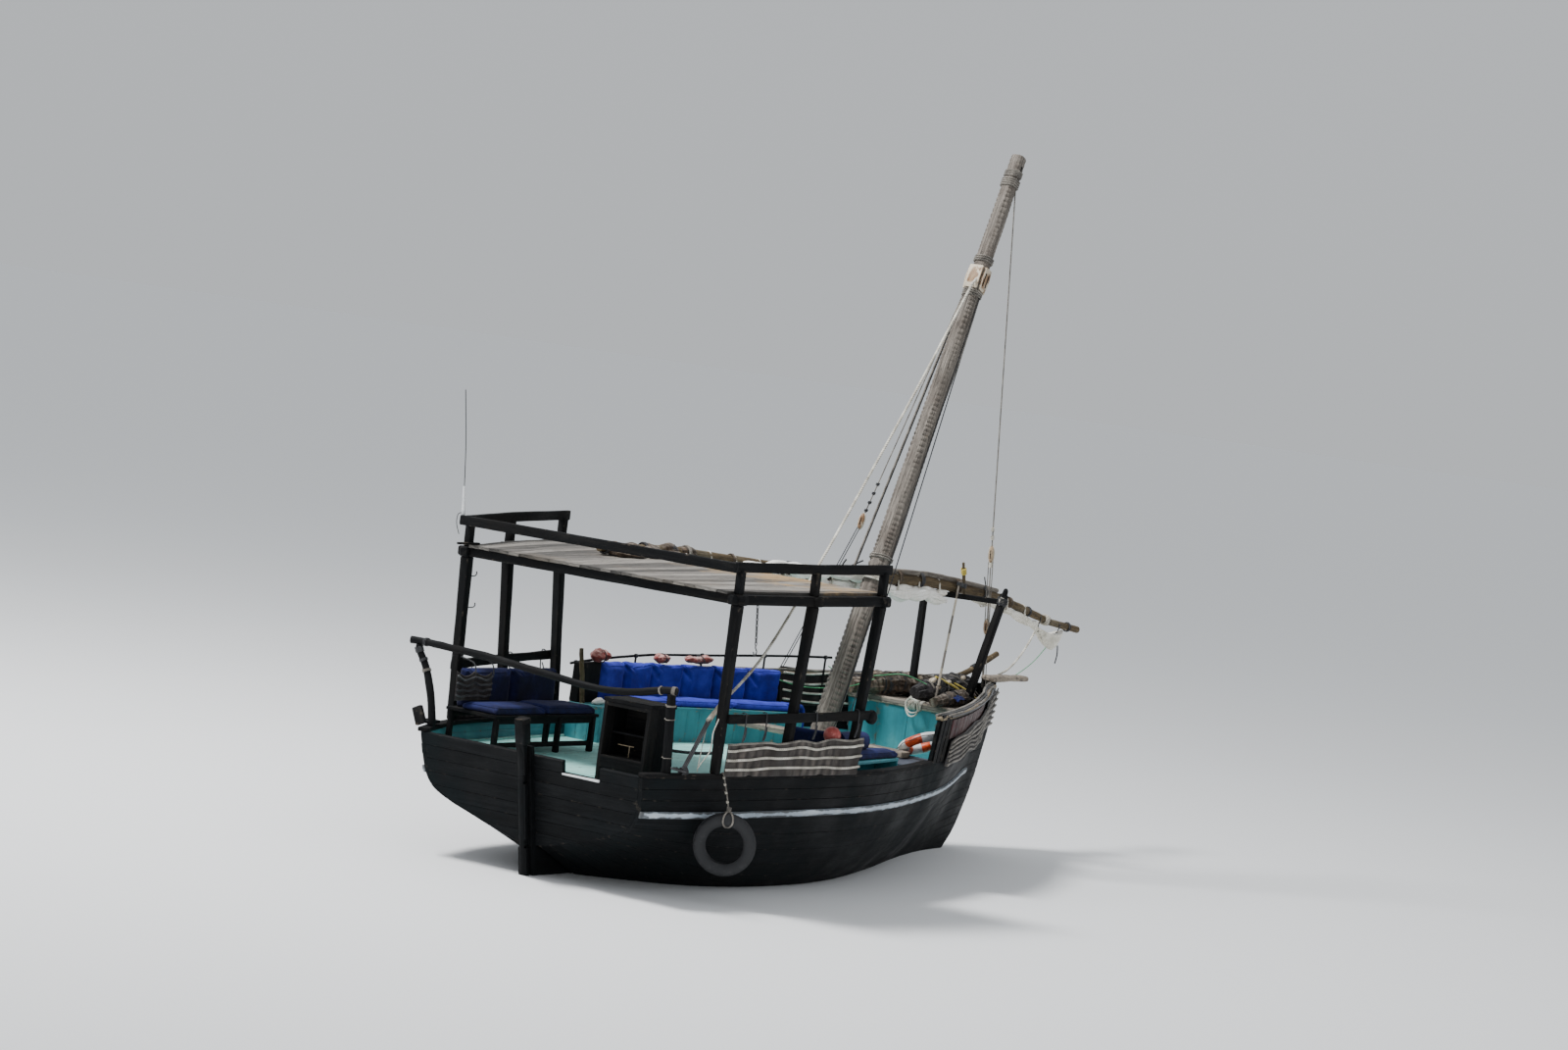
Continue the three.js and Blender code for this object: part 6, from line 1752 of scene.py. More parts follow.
# Squared by adze: each edge is nicked at uneven steps, nick = deep x sin(turn)^6, and the nicks are
# pale.
def makeMast(look):
    zs = np.linspace(mastFoot[2] - 0.035, mastHead[2], 620)
    path = np.array([onMast(z) for z in zs])
    ring = mastSection(1.0)
    section = ring[None] * np.array([mastHalf(z) for z in zs])[:, None, None]
    corner = (np.abs(np.abs(ring[:, 0]) - np.abs(ring[:, 1])) < 0.5).astype(float)
    turn = np.pi * (zs[:, None] + 0.02 * np.sin(zs[:, None] * 9)) / look["notchStep"] + np.sign(ring[:, 0])
    nick = np.sin(turn) ** 6 * corner * (0.3 + 0.7 * np.sin(zs * 2.3) ** 2)[:, None]
    section *= (1 - look["notchDeep"] * nick / mastSize["headHalf"])[..., None]
    section[-2:] *= np.array([0.95, 0.84])[:, None, None]
    spar = sweep(path, section, up=(0, 1, 0), wear=0.3 * corner + 0.25 * nick)
    spar["points"] = spar["points"] + 0.003 * ripple(spar["points"], 0.4,
                                                     600)[..., None] * np.array([0.3, 1, 0.3])
    foot = spar["points"][0]
    spar["points"][0] = foot + mastAlong * ((mastFoot[2] + 0.0003 - foot[:, 2]) / mastAlong[2])[:, None]
    parts = [spar]
    low, high = mastSize["cheekLow"], mastSize["cheekHigh"]
    for side in (1, -1):
        path = [onMast(z) + (0, side * (mastHalf(z) + 0.014), 0) for z in (low, low + 0.05, high - 0.05,
                                                                           high)]
        parts.append(timber(path, (0.12, 0.16, 0.16, 0.12), (0.024, 0.03, 0.03, 0.024), up=(0, 1, 0),
                            seed=610, skin=4))
        face = side * (mastHalf(low) + 0.024)
        for k in look["slots"]:
            slot = [onMast(z) + mastFore * k + (0, face, 0) for z in (low + 0.05, high - 0.06)]
            parts.append(timber(slot, 0.022, 0.014, up=(0, 1, 0), corner=0.4, uneven=0, skin=3))
    for aft in (1, -1):
        path = [onMast(z) - mastFore * aft * (mastHalf(z) + 0.01) for z in (low, high)]
        parts.append(timber(path, 0.024, 0.17, up=(0, 1, 0), seed=612, skin=4))
    for z, turns in ((6.34, 3), (6.74, 3), (7.64, 4), (3.3, 2)):
        for k in range(turns):
            parts.append(bandRound(onMast(z + k * 0.024), mastHalf(z) + 0.004, 0.02, 0, skin=2))
    for k, z in enumerate((7.72, 7.86)):
        for side in (1, -1):
            centre = onMast(z) + (0, side * (mastHalf(z) - 0.006), 0)
            slot = [centre - mastAlong * 0.045, centre + mastAlong * 0.045]
            parts.append(timber(slot, 0.03, 0.016, up=(0, 1, 0), corner=0.4, uneven=0, skin=3))
    makePiece("mast_spar", parts, [silverWood, darkRope, greyRope, dryTarred, blockWood], stands=["mast"])


# One turn of rope round the mast, level across it and rising a little at the front.
def bandRound(centre, half, diameter, slack, **settings):
    angle = np.linspace(0, 2 * np.pi, 33)
    power = 0.45
    fore = np.sign(np.cos(angle)) * np.abs(np.cos(angle)) ** power
    over = np.sign(np.sin(angle)) * np.abs(np.sin(angle)) ** power
    reach = half + diameter * 0.3
    chamfer = np.minimum(1, 1.5 / np.maximum(np.abs(fore) + np.abs(over), 1e-6))
    lift = diameter * angle / (2 * np.pi) + slack * np.cos(angle)
    path = centre + (reach * chamfer * fore)[:, None] * mastFore + (reach * chamfer
                                                                    * over)[:, None] * np.array([0, 1, 0])
    path = path + mastAlong * lift[:, None]
    return sweepCord(path, diameter, **settings)


def sweepCord(path, diameter, **settings):
    angles = 2 * np.pi * np.arange(7) / 7
    circle = np.stack([np.cos(angles), np.sin(angles)], axis=1) * diameter / 2
    return sweep(path, circle, cord=diameter, **settings)


makeMast(mastLook)


def makeThwart():
    low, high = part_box("mast_thwart")
    middle = (low + high) / 2
    beam = timber([(middle.x, low.y, middle.z), (middle.x, high.y, middle.z)], high.x - low.x,
                  high.z - low.z, corner=0.2, uneven=0.004, seed=620)
    makePiece("mast_beam", [beam], [silverWood], stands=["mast_thwart"])


makeThwart()
print("mast built")


# Gallows

gallowsSize = {
    "portPost": ((7.70, 0.305, 1.7003), (7.90, 0.42, 2.93)),
    "starboardPost": ((7.98, -0.27, 1.7003), (8.33, -0.39, 3.01)),
    "bar": ((7.905, 0.47, 2.918), (8.33, -0.44, 2.918)), "postWide": (0.075, 0.085), "barWide": 0.064,
}


def makeGallows(size):
    parts = [
        timber(size["portPost"], size["postWide"][0], size["postWide"][0], up=(0, 1, 0), uneven=0.004,
               seed=630),
        timber(size["starboardPost"], size["postWide"][1], size["postWide"][1], up=(0, 1, 0),
               uneven=0.004, seed=631),
        timber(size["bar"], size["barWide"], size["barWide"], uneven=0.003, seed=632),
    ]
    top = np.array(size["starboardPost"][1])
    along = unit(top - np.array(size["starboardPost"][0]))
    for side in (1, -1):
        horn = [top - along * 0.1, top + along * 0.02 + (0.03 * side, 0.02 * side, 0),
                top + along * 0.055 + (0.05 * side, 0.03 * side, 0)]
        parts.append(tube(smooth(horn, 4), np.linspace(0.034, 0.02, 9), sides=10, uneven=0.002, seed=633))
    for (a, b), z in ((size["portPost"], 2.9), (size["starboardPost"], 2.92)):
        a, b = np.array(a), np.array(b)
        at = a + (b - a) * (z - a[2]) / (b[2] - a[2])
        parts.append(lashing(at, b - a, 0.052, 0.016, 5, skin=1))
        parts.append(lashing(at, np.array(size["bar"][1]) - np.array(size["bar"][0]), 0.05, 0.014, 4,
                             skin=2))
    makePiece("gallows_frame", parts, [dryTarred, darkRope, paleRope], stands=["gallows"])


makeGallows(gallowsSize)
print("gallows built")


# Yard and sail

# x, y, z and radius of the crooked yard, as packed: it lies on the roof's edge and the gallows bar.
roofEdge = toBoat([(roofFore - 0.01, 0, beamTop + 0.0003 + canopySize["boardThick"])])[0]
roundFlat = np.cos(np.pi / 12)
yardStations = np.array([
    (1.76, 0.812, 3.222, 0.038), (roofEdge[0], 0.68, roofEdge[2] + 0.00045 + 0.055 * roundFlat, 0.055),
    (4.5, 0.489, 3.13, 0.062), (6.1, 0.30, 3.085, 0.068), (7.5, 0.20, 3.06, 0.062),
    (8.12, 0.16, 3.0103, 0.057),
    (9.1, 0.096, 2.905, 0.052), (9.75, 0.06, 2.76, 0.046), (10.3, 0.03, 2.64, 0.040),
    (10.95, 0.0, 2.56, 0.044),
])
yardLook = {
    "bark": 0.006, "lashings": ((2.9, 4), (3.9, 2), (4.9, 3), (5.6, 3), (6.5, 2), (6.9, 2), (7.35, 3),
                                (8.12, 5), (8.7, 3),
                                (9.3, 3), (9.75, 2), (10.2, 4), (10.7, 2)),
    "lashDiameter": 0.017, "fishFrom": 6.3, "fishTo": 9.0, "fishRadius": 0.03,
    "sailTie": 0.42,
}


# Place and radius along the yard at x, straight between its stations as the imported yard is.
def yardAt(x):
    return np.stack([np.interp(x, yardStations[:, 0], yardStations[:, k]) for k in range(4)], axis=-1)


# The furled sail: a bundle hitched up under the yard, full between its ties and drawn in at them,
# with pleats along it.
def sailBundle(rows, tie, seed, pleats=9, full=1.0):
    xs = rows[:, 0]
    share = np.abs(np.sin(np.pi * (xs - xs[0]) / tie))
    radius = rows[:, 3] * (0.55 + 0.5 * share ** 0.6) * full
    angles = 2 * np.pi * np.arange(48) / 48
    turn = 0.8 * np.sin((xs - xs[0]) / tie * np.pi / 3 + seed)
    pleat = 0.10 * np.sin(pleats * (angles[None] + turn[:, None]) + 2 * np.sin(3 * angles)[None])
    lump = 0.14 * ripple(np.stack([xs[:, None] + 0 * angles, rows[:, 3:] * 3 * np.cos(angles)[None],
                                   rows[:, 3:] * 3 * np.sin(angles)[None]], -1), 0.3, seed)
    ring = radius[:, None] * (1 + pleat * (0.35 + 0.65 * share[:, None]) + lump)
    section = np.stack([ring * np.cos(angles), ring * np.sin(angles)], axis=-1)
    return sweep(rows, section, up=(0, 0, 1))


# A tie round yard and sail together: turns of an ellipse, half as wide and as high as given.
def tieLoop(centre, along, wide, high, diameter, turns=2, **settings):
    along = unit(np.asarray(along, float))
    side = unit(np.cross(along, (0, 0, 1)))
    over = np.cross(side, along)
    angle = np.linspace(0, 2 * np.pi * turns, 28 * turns)
    path = (centre + side * (wide * np.cos(angle))[:, None] + over * (high * np.sin(angle))[:, None]
            + along * (diameter * 1.05 * (angle / (2 * np.pi) - turns / 2))[:, None])
    return sweepCord(path, diameter, up=along, **settings)


# Spreads a bundle sideways and keeps it above the roof boards: y from its middle line x spread.
def laidOnRoof(bundle, rows, spread):
    points = bundle["points"]
    points[..., 1] = rows[:, 1:2] + (points[..., 1] - rows[:, 1:2]) * spread
    roof = roofEdge[2] + (points[..., 0] - roofEdge[0]) * np.tan(rake) + 0.004
    points[..., 2] = np.maximum(points[..., 2] - 0.03, roof)
    return bundle


def makeYard(look):
    xs = np.linspace(yardStations[0, 0], yardStations[-1, 0], 150)
    rows = yardAt(xs)
    knots = 1 + 0.06 * ripple(rows[:, :3], 0.5, 640)
    rows[:, 3] *= np.where((xs > 2.7) & (xs < 8.3), 0.985, knots)
    parts = [tube(rows, rows[:, 3], sides=20, uneven=look["bark"] * 0.4, size=0.16, seed=641, up=(0, 0, 1))]
    fish = yardAt(np.linspace(look["fishFrom"], look["fishTo"], 40))
    fish[:, 2] += fish[:, 3] + look["fishRadius"] * 0.8
    fish[:, 1] -= 0.012
    parts.append(tube(fish, look["fishRadius"], sides=12, uneven=0.003, size=0.2, seed=642, up=(0, 0, 1),
                      skin=1))
    for number, (x, turns) in enumerate(look["lashings"]):
        here, ahead = yardAt(x), yardAt(x + 0.05)
        onFish = look["fishFrom"] < x < look["fishTo"]
        half = here[3] + (0.018 if onFish else 0.003)
        centre = here[:3] + (0, 0, 0.014 if onFish else 0)
        parts.append(lashing(centre, ahead[:3] - here[:3], half, look["lashDiameter"], turns,
                             skin=(2, 4)[number % 2]))
    wrap = yardAt(np.arange(1.8, 3.3, 0.03))
    wrap[:, 3] += 0.016
    parts.append({**sailBundle(wrap, 0.3, 12, pleats=6, full=1.0), "skin": 4})
    bunch = yardAt(np.arange(1.86, 3.0, 0.03))
    bunch[:, 1] -= 0.10
    bunch[:, 3] = 0.02 + 0.06 * np.sin(np.pi * np.linspace(0.05, 1, len(bunch)) ** 0.6)
    parts.append({**laidOnRoof(sailBundle(bunch, 0.4, 13, pleats=7), bunch, 2.2), "skin": 4})
    for first, last, out in ((2.25, 2.62, 0.22), (2.5, 2.98, 0.18)):
        strip = yardAt(np.arange(first, last, 0.03))
        strip[:, 1] -= out + 0.03 * np.sin(strip[:, 0] * 12)
        strip[:, 3] = 0.028
        parts.append({**laidOnRoof(sailBundle(strip, 0.2, 14, pleats=5), strip, 1.3), "skin": 6})
    for x, skin in ((1.84, 2), (2.0, 4), (2.46, 2), (3.15, 3)):
        here = yardAt(x)
        parts.append(tieLoop(here[:3], np.array([1.0, -0.1, 0]), here[3] + 0.022, here[3] + 0.022, 0.02,
                             skin=skin))
    makePiece("yard_spar", parts, [barkPole, greyBark, darkRope, greyRope, netTwine, paleRope,
                                   sailCanvas], body="yard", stands=["yard"])


makeYard(yardLook)


def makeSail(look):
    stations = np.array([(3.1, 0.030), (3.4, 0.046), (4.5, 0.06), (6.1, 0.066), (7.5, 0.062), (7.95, 0.03)])
    xs = np.arange(stations[0, 0], stations[-1, 0], 0.03)
    rows = yardAt(xs)
    radius = np.interp(xs, stations[:, 0], stations[:, 1])
    rows[:, 2] -= rows[:, 3] * roundFlat + radius * 0.92
    rows[:, 3] = radius * 1.08
    parts = [sailBundle(rows, look["sailTie"], 5)]
    for first, last, side, lift, thick in ((4.0, 6.25, -0.085, 0.0, 0.075),
                                           (6.75, 7.95, -0.03, -0.16, 0.085)):
        span = yardAt(np.arange(first, last, 0.03))
        share = np.sin(np.pi * np.linspace(0, 1, len(span))) ** 0.35
        span[:, 1] += side
        span[:, 2] += lift + 0.02 * np.sin(span[:, 0] * 7)
        span[:, 3] = thick * share
        parts.append(sailBundle(span, 0.38, int(first * 3), pleats=8))
    for x in np.arange(stations[0, 0] + look["sailTie"], stations[-1, 0] - 0.1, look["sailTie"]):
        here, ahead = yardAt(x), yardAt(x + 0.05)
        r = float(np.interp(x, stations[:, 0], stations[:, 1]))
        centre = here[:3] - (0, 0, r * 0.95)
        parts.append(tieLoop(centre, ahead[:3] - here[:3], here[3] * 1.02, here[3] + r * 0.95, 0.012,
                             skin=1))
    makePiece("sail_furled", parts, [sailCanvas, paleRope], body="yard", stands=["furled_sail"])


makeSail(yardLook)


# The open bag at the tack: rings that go from a wide rim under the yard down to a point,
# radius = (1 - depth)^0.7, with deep folds that run to the point.
def sailBag():
    rim = np.array([10.3, 0.025, 2.535])
    depth = np.linspace(0, 1, 16)[:, None]
    angle = 2 * np.pi * np.arange(40) / 40
    fold = 1 + 0.12 * np.sin(5 * angle + 3 * depth) * (0.4 + depth) + 0.05 * np.sin(11 * angle)
    reach = (1 - depth) ** 0.7 * fold + 0.03
    x = rim[0] + 0.33 * reach * np.cos(angle) + 0.12 * depth - 0.02
    y = rim[1] + 0.085 * reach * np.sin(angle)
    rise = 0.035 * np.cos(2 * angle) * (1 - depth)
    z = rim[2] - 0.23 * depth ** 0.8 + rise - 0.02 * np.cos(angle) * (1 - depth)
    return part(np.stack([x, y, z], axis=-1))


# The tack: the sail's fore corner, bunched under the yard and hanging open as a bag past the
# gallows.
def makeTack():
    stations = np.array([(8.45, 0.03), (9.1, 0.046), (9.75, 0.052)])
    path = []
    for x, radius in stations:
        here = yardAt(x)
        path.append((x, here[1], here[2] - here[3] * roundFlat - radius * 0.95, radius))
    path[1] = (*path[1][:2], path[1][2] - 0.004, path[1][3])
    path[2] = (*path[2][:2], path[2][2] - 0.022, path[2][3])
    rows = smooth([*path, (9.95, 0.05, 2.6, 0.06)], 14)
    parts = [sailBundle(rows, 0.47, 9, pleats=7), sailBag()]
    for x in (8.75, 9.2, 9.62):
        here, ahead = yardAt(x), yardAt(x + 0.05)
        parts.append(tieLoop(here[:3] - (0, 0, 0.045), ahead[:3] - here[:3], here[3] * 1.1,
                             here[3] + 0.05, 0.014, skin=1))
    for x in (10.0, 10.45):
        here = yardAt(x)
        line = [(x, here[1] + 0.02, here[2] + here[3]), (x, here[1] - here[3] - 0.006, here[2]),
                (x + 0.01, here[1] - 0.02, here[2] - 0.1), (x + 0.01, 0.02, 2.52)]
        parts.append(rope(smooth(line), 0.014, skin=2))
    makePiece("sail_tack_bundle", parts, [creamCanvas, paleRope, darkRope], body="yard",
              stands=["sail_tack"])


makeTack()


# The parrel: turns of rope that hold the yard to the mast, drawn as packed but in three strands.
def makeParrel():
    centre = onMast(3.085)
    at = yardAt(centre[0])
    half = 0.15
    port = at[1] - at[3] * roundFlat - 0.012 - 0.00075
    angle = np.linspace(0, 2 * np.pi, 61)
    parts = []
    for lift in (-0.024, 0.0, 0.024):
        path = centre + mastFore * (half * np.cos(angle))[:, None] + mastAlong * lift
        path[:, 1] += (port - half) / 2 + (port + half) / 2 * np.sin(angle)
        parts.append(sweepCord(path, 0.0225, up=mastAlong))
    makePiece("parrel_turns", parts, [paleRope], body="yard", stands=["parrel"])


makeParrel()
print("yard and sail built")


# Rigging

# An oval rope block between two points: half width = wide x (1 - |t|^2.6)^0.5 for t from -1 to 1
# along it, a dark slot for the sheave on each face, and a rope strop round its edge.
def pulleyBlock(top, bottom, wide, thick, up, wood=0, dark=1, strop=2):
    top, bottom = np.asarray(top, float), np.asarray(bottom, float)
    middle, along = (top + bottom) / 2, (bottom - top) / 2
    t = np.linspace(-1, 1, 17)
    swell = np.maximum(1 - np.abs(t) ** 2.6, 0.03) ** 0.5
    angle = 2 * np.pi * np.arange(24) / 24
    ring = np.stack([wide * np.sign(np.cos(angle)) * np.abs(np.cos(angle)) ** 0.8, thick * np.sin(angle)],
                    axis=1)
    shell = sweep(middle + along * t[:, None], ring * swell[:, None, None], up=up, skin=wood, wear=0.4)
    side = unit(np.cross(along, up))
    over = unit(np.cross(side, along))
    parts = [shell]
    for face in (1, -1):
        centre = middle + over * face * (thick - 0.002)
        parts.append(timber([centre - along * 0.5, centre + along * 0.5], wide * 0.34, 0.008, up=over,
                            corner=0.4, uneven=0, skin=dark))
        parts.append(tube([centre - over * 0.003, centre + over * 0.003], wide * 0.26, sides=14, up=along,
                          skin=dark))
    loop = np.linspace(0, 2 * np.pi, 40)
    line = (middle + along * (1.06 * np.cos(loop))[:, None]
            + side * ((wide + 0.004) * np.sin(loop))[:, None])
    parts.append(sweepCord(line, 0.012, up=over, skin=strop))
    return parts


# A line with a sag: its middle hangs below the straight line by the given share of its length.
def hung(a, b, sag=0.01, count=24):
    a, b = np.asarray(a, float), np.asarray(b, float)
    t = np.linspace(0, 1, count)[:, None]
    return a + (b - a) * t - np.array([0, 0, 4 * sag * np.linalg.norm(b - a)]) * t * (1 - t)


# The falls of a tackle: parallel lines between two blocks, a little apart.
def falls(a, b, spread, diameter, **settings):
    across = unit(np.cross(np.subtract(b, a), (1.0, 0, 0)))
    return [rope(hung(a + across * shift, b + across * shift, 0.002), diameter, **settings)
            for shift in spread]


rigSkins = [blockWood, dryTarred, paleRope, darkRope, greyRope, zincSteel]


def forestayRig():
    head = onMast(7.76)
    top, bottom = np.array([8.532, -0.026, 3.50]), np.array([8.548, -0.027, 3.36])
    lowTop, lowBottom = np.array([8.65, -0.03, 2.64]), np.array([8.668, -0.03, 2.52])
    deck = np.array([8.87, 0.032, 1.8])
    parts = [rope(hung(head + (0.09, 0, 0.03), top, 0.0015, 40), 0.016, skin=4)]
    for k in range(4):
        parts.append(bandRound(head + mastAlong * 0.02 * k, mastHalf(7.76) + 0.003, 0.018, 0.01, skin=4))
    parts += pulleyBlock(top + (0, 0, 0.03), bottom - (0, 0, 0.03), 0.034, 0.026, (1.0, 0, 0))
    parts += pulleyBlock(lowTop + (0, 0, 0.03), lowBottom - (0, 0, 0.03), 0.036, 0.026, (1.0, 0, 0))
    parts += falls(bottom, lowTop, (-0.028, 0.0, 0.028), 0.011, skin=4)
    parts += falls(lowBottom, deck, (-0.008, 0.008), 0.014, skin=4)
    parts.append(rope(hung(bottom + (0.03, 0.02, 0.02), np.array([8.55, -0.2, 1.74]), 0.003), 0.011, skin=4))
    for z, half in ((3.62, 0.013), (3.72, 0.011), (3.3, 0.014)):
        parts.append(lashing(head + (top - head) * (7.76 - z) / (7.76 - 3.5), top - head, half, 0.012, 4,
                             skin=2))
    parts.append(lashing(lowBottom + (deck - lowBottom) * 0.3, deck - lowBottom, 0.016, 0.012, 5, skin=2))
    hook = [(8.50, 0.0, 3.16), (8.51, -0.02, 3.08), (8.49, -0.05, 3.03), (8.46, -0.05, 3.07)]
    parts.append(tube(smooth(hook), 0.007, sides=8, skin=5))
    makePiece("forestay_tackle", parts, rigSkins, stands=["forestay"])


forestayRig()

backstayPath = [(7.37, -0.02, 6.60), (7.12, -0.09, 6.48), (7.06, -0.10, 6.42), (5.90, -0.345, 5.395),
                (4.70, -0.60, 4.40), (3.45, -0.86, 3.38), (2.15, -1.13, 2.42), (1.086, -1.34, 1.905),
                (0.661, -1.46, 1.684), (0.45, -1.50, 1.46), (0.31, -1.525, 1.30)]


# Two ropes from the masthead to the quarter, which part and meet again at a wooden toggle. Below it
# dark falls go down to the gunwale.
def backstayRig():
    line = smooth(backstayPath, 10)
    split = int(np.argmin(np.abs(line[:, 2] - 1.90)))
    upper = line[:split + 1]
    parts = [rope(upper, 0.03, skin=2)]
    share = np.linspace(0, 1, len(upper))[:, None]
    apart = np.sin(np.pi * share) ** 0.7 * np.array([0.05, 0.06, -0.075])
    parts.append(rope(upper + apart, 0.016, skin=2))
    down = unit(line[split + 3] - line[split])
    toggle = [line[split] - down * 0.03, line[split] + down * 0.30]
    parts.append(timber(toggle, 0.05, 0.05, corner=0.35, seed=690, step=0.05, skin=6, wear=0.6))
    foot = line[-1]
    parts += falls(toggle[1] - down * 0.02, foot + (0, 0, 0.03), (-0.022, 0.0, 0.022), 0.016, skin=3)
    middle = (toggle[1] + foot) / 2
    parts.append(rope(smooth([toggle[1], middle + (0.08, -0.02, -0.03), foot + (0.2, -0.03, 0.0)]), 0.01,
                      skin=2))
    parts.append(lashing(foot, (1.0, -0.2, 0), 0.03, 0.016, 5, skin=3))
    for k, reach in enumerate((0.05, 0.09, 0.13)):
        loop = [foot + (0.02 * k, 0.01, 0.0), foot + (-0.05 - reach, 0.02, 0.04),
                foot + (-0.08 - reach, -0.02, 0.03), foot + (-0.04 - reach * 0.4, -0.05, 0.01),
                foot + (0.0, -0.03, 0.0)]
        parts.append(rope(smooth(loop), 0.014, skin=3))
    makePiece("backstay_ropes", parts, [*rigSkins, paleBark], stands=["backstay"])


backstayRig()


def portShroudRig():
    top, bottom = np.array([6.792, 0.712, 3.72]), np.array([6.772, 0.736, 3.60])
    head, foot = np.array([7.30, 0.09, 6.42]), np.array([6.352, 1.279, 1.84])
    parts = [rope([(7.34, 0.02, 6.56), head, *hung(head, top, 0.001, 20)[1:]], 0.014, skin=4)]
    parts += pulleyBlock(top + (0, 0, 0.03), bottom - (0, 0, 0.03), 0.036, 0.026, (1.0, 0, 0))
    parts += falls(bottom, foot, (-0.014, 0.014), 0.011, skin=3)
    for share in (0.86, 0.9, 0.94, 0.975):
        parts.append(lashing(head + (top - head) * share, top - head, 0.011, 0.014, 2, skin=3))
    parts.append(lashing(foot, bottom - foot, 0.02, 0.014, 6, skin=2))
    makePiece("port_shroud_tackle", parts, rigSkins, stands=["port_shroud"])


portShroudRig()


# Running ropes on the mast: the fall that lies along its fore side, and a taut line just clear of it.
def mastRopes():
    zs = np.linspace(6.36, 1.55, 30)
    sway = 0.012 * np.sin(zs * 3.0)
    fall = [onMast(z) + mastFore * (mastHalf(z) + 0.016) + (0, -0.045 + s, 0) for z, s in zip(zs, sway)]
    parts = [rope(fall, mastLook["fallDiameter"], skin=4)]
    second = [onMast(z) + mastFore * 0.01 + (0, -mastHalf(z) - 0.014 + 0.2 * s, 0) for z, s in zip(zs, sway)]
    parts.append(rope(second, 0.014, skin=3))
    parts.append(rope(hung(onMast(7.84) + mastFore * 0.09, (5.78, -0.05, 1.46), 0.0015, 40), 0.013, skin=3))
    makePiece("mast_running_ropes", parts, rigSkins)


mastRopes()

# The halyard, from the cheeks to the yard.
halyardTop = onMast(6.4) + np.array([0, mastHalf(6.4) + 0.02, 0])
halyardFoot = yardAt(onMast(3.12)[0])[:3] + (0, -0.01, 0.075)
halyard = makePiece("halyard", [rope(hung(halyardTop, halyardFoot, 0.001, 60), 0.02, skin=0),
                                rope(hung(halyardTop + (0.03, 0, 0), halyardFoot + (0.03, 0, 0), 0.001,
                                          60), 0.014, skin=1)], [greyRope, darkRope], body=None)
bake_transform(halyard)

# The crossed lashing where the yard meets the mast.
crossParts = []
for number, lean in enumerate((0.16, 0.10, -0.10, -0.16)):
    at = onMast(3.085)
    spar = yardAt(at[0])
    out = spar[1] + spar[3] * 0.6
    line = [(at[0] - 0.17, out - 0.06, at[2] - lean * 1.1), (at[0] - 0.08, out + 0.035, at[2] - lean * 0.55),
            (at[0], out + 0.045, at[2] + 0.01), (at[0] + 0.08, out + 0.03, at[2] + lean * 0.55),
            (at[0] + 0.17, out - 0.08, at[2] + lean * 1.1)]
    crossParts.append(rope(smooth(line), 0.02))
makePiece("yard_cross_lashing", crossParts, [darkRope], body="yard")

# Two lines from the yard's fore end to the bow.
whitePath = [(10.17, 0.09, 2.70), (10.03, 0.07, 2.52), (9.76, 0.05, 2.27), (9.42, 0.02, 2.08),
             (9.06, 0.0, 1.985), (8.84, -0.05, 1.95), (8.78, -0.08, 1.88), (8.71, -0.10, 1.74)]
tealPath = [(10.32, 0.05, 2.33), (10.0, 0.04, 2.14), (9.55, 0.03, 1.98), (9.1, 0.0, 1.945),
            (8.85, -0.04, 1.93)]
for name, path, diameter, material in (("tack_rope", whitePath, 0.026, paleRope),
                                       ("tack_line", tealPath, 0.011, tealRope)):
    line = makePiece(name, [rope(smooth(path), diameter)], [material], body=None)
    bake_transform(line)
knotParts = [lashing(yardAt(10.17)[:3] + (0, 0, 0), (1.0, -0.1, -0.2), 0.045, 0.024, 3),
             rope(smooth([(10.55, 0.02, 2.36), (10.57, 0.02, 2.25), (10.56, 0.03, 2.14)]), 0.016, skin=1)]
makePiece("tack_knots", knotParts, [paleRope, darkRope], body="yard")
print("rigging built")


# Bow gear

bowSize = {
    "spar": ((7.95, 0.20, 1.74, 0.036), (8.35, 0.155, 1.93, 0.038), (8.75, 0.11, 2.07, 0.035),
             (9.16, 0.06, 2.25, 0.034)),
    "logFrom": 8.70, "logTo": 9.62, "logMiddle": 9.16, "logRound": 0.462, "logY": 0.09, "logZ": 1.982,
    "logHalfWide": 0.092, "logHalfDeep": 0.036,
    "stickFoot": (7.562, -0.105, 1.7003), "stickTop": (8.046, 0.062, 3.09),
}


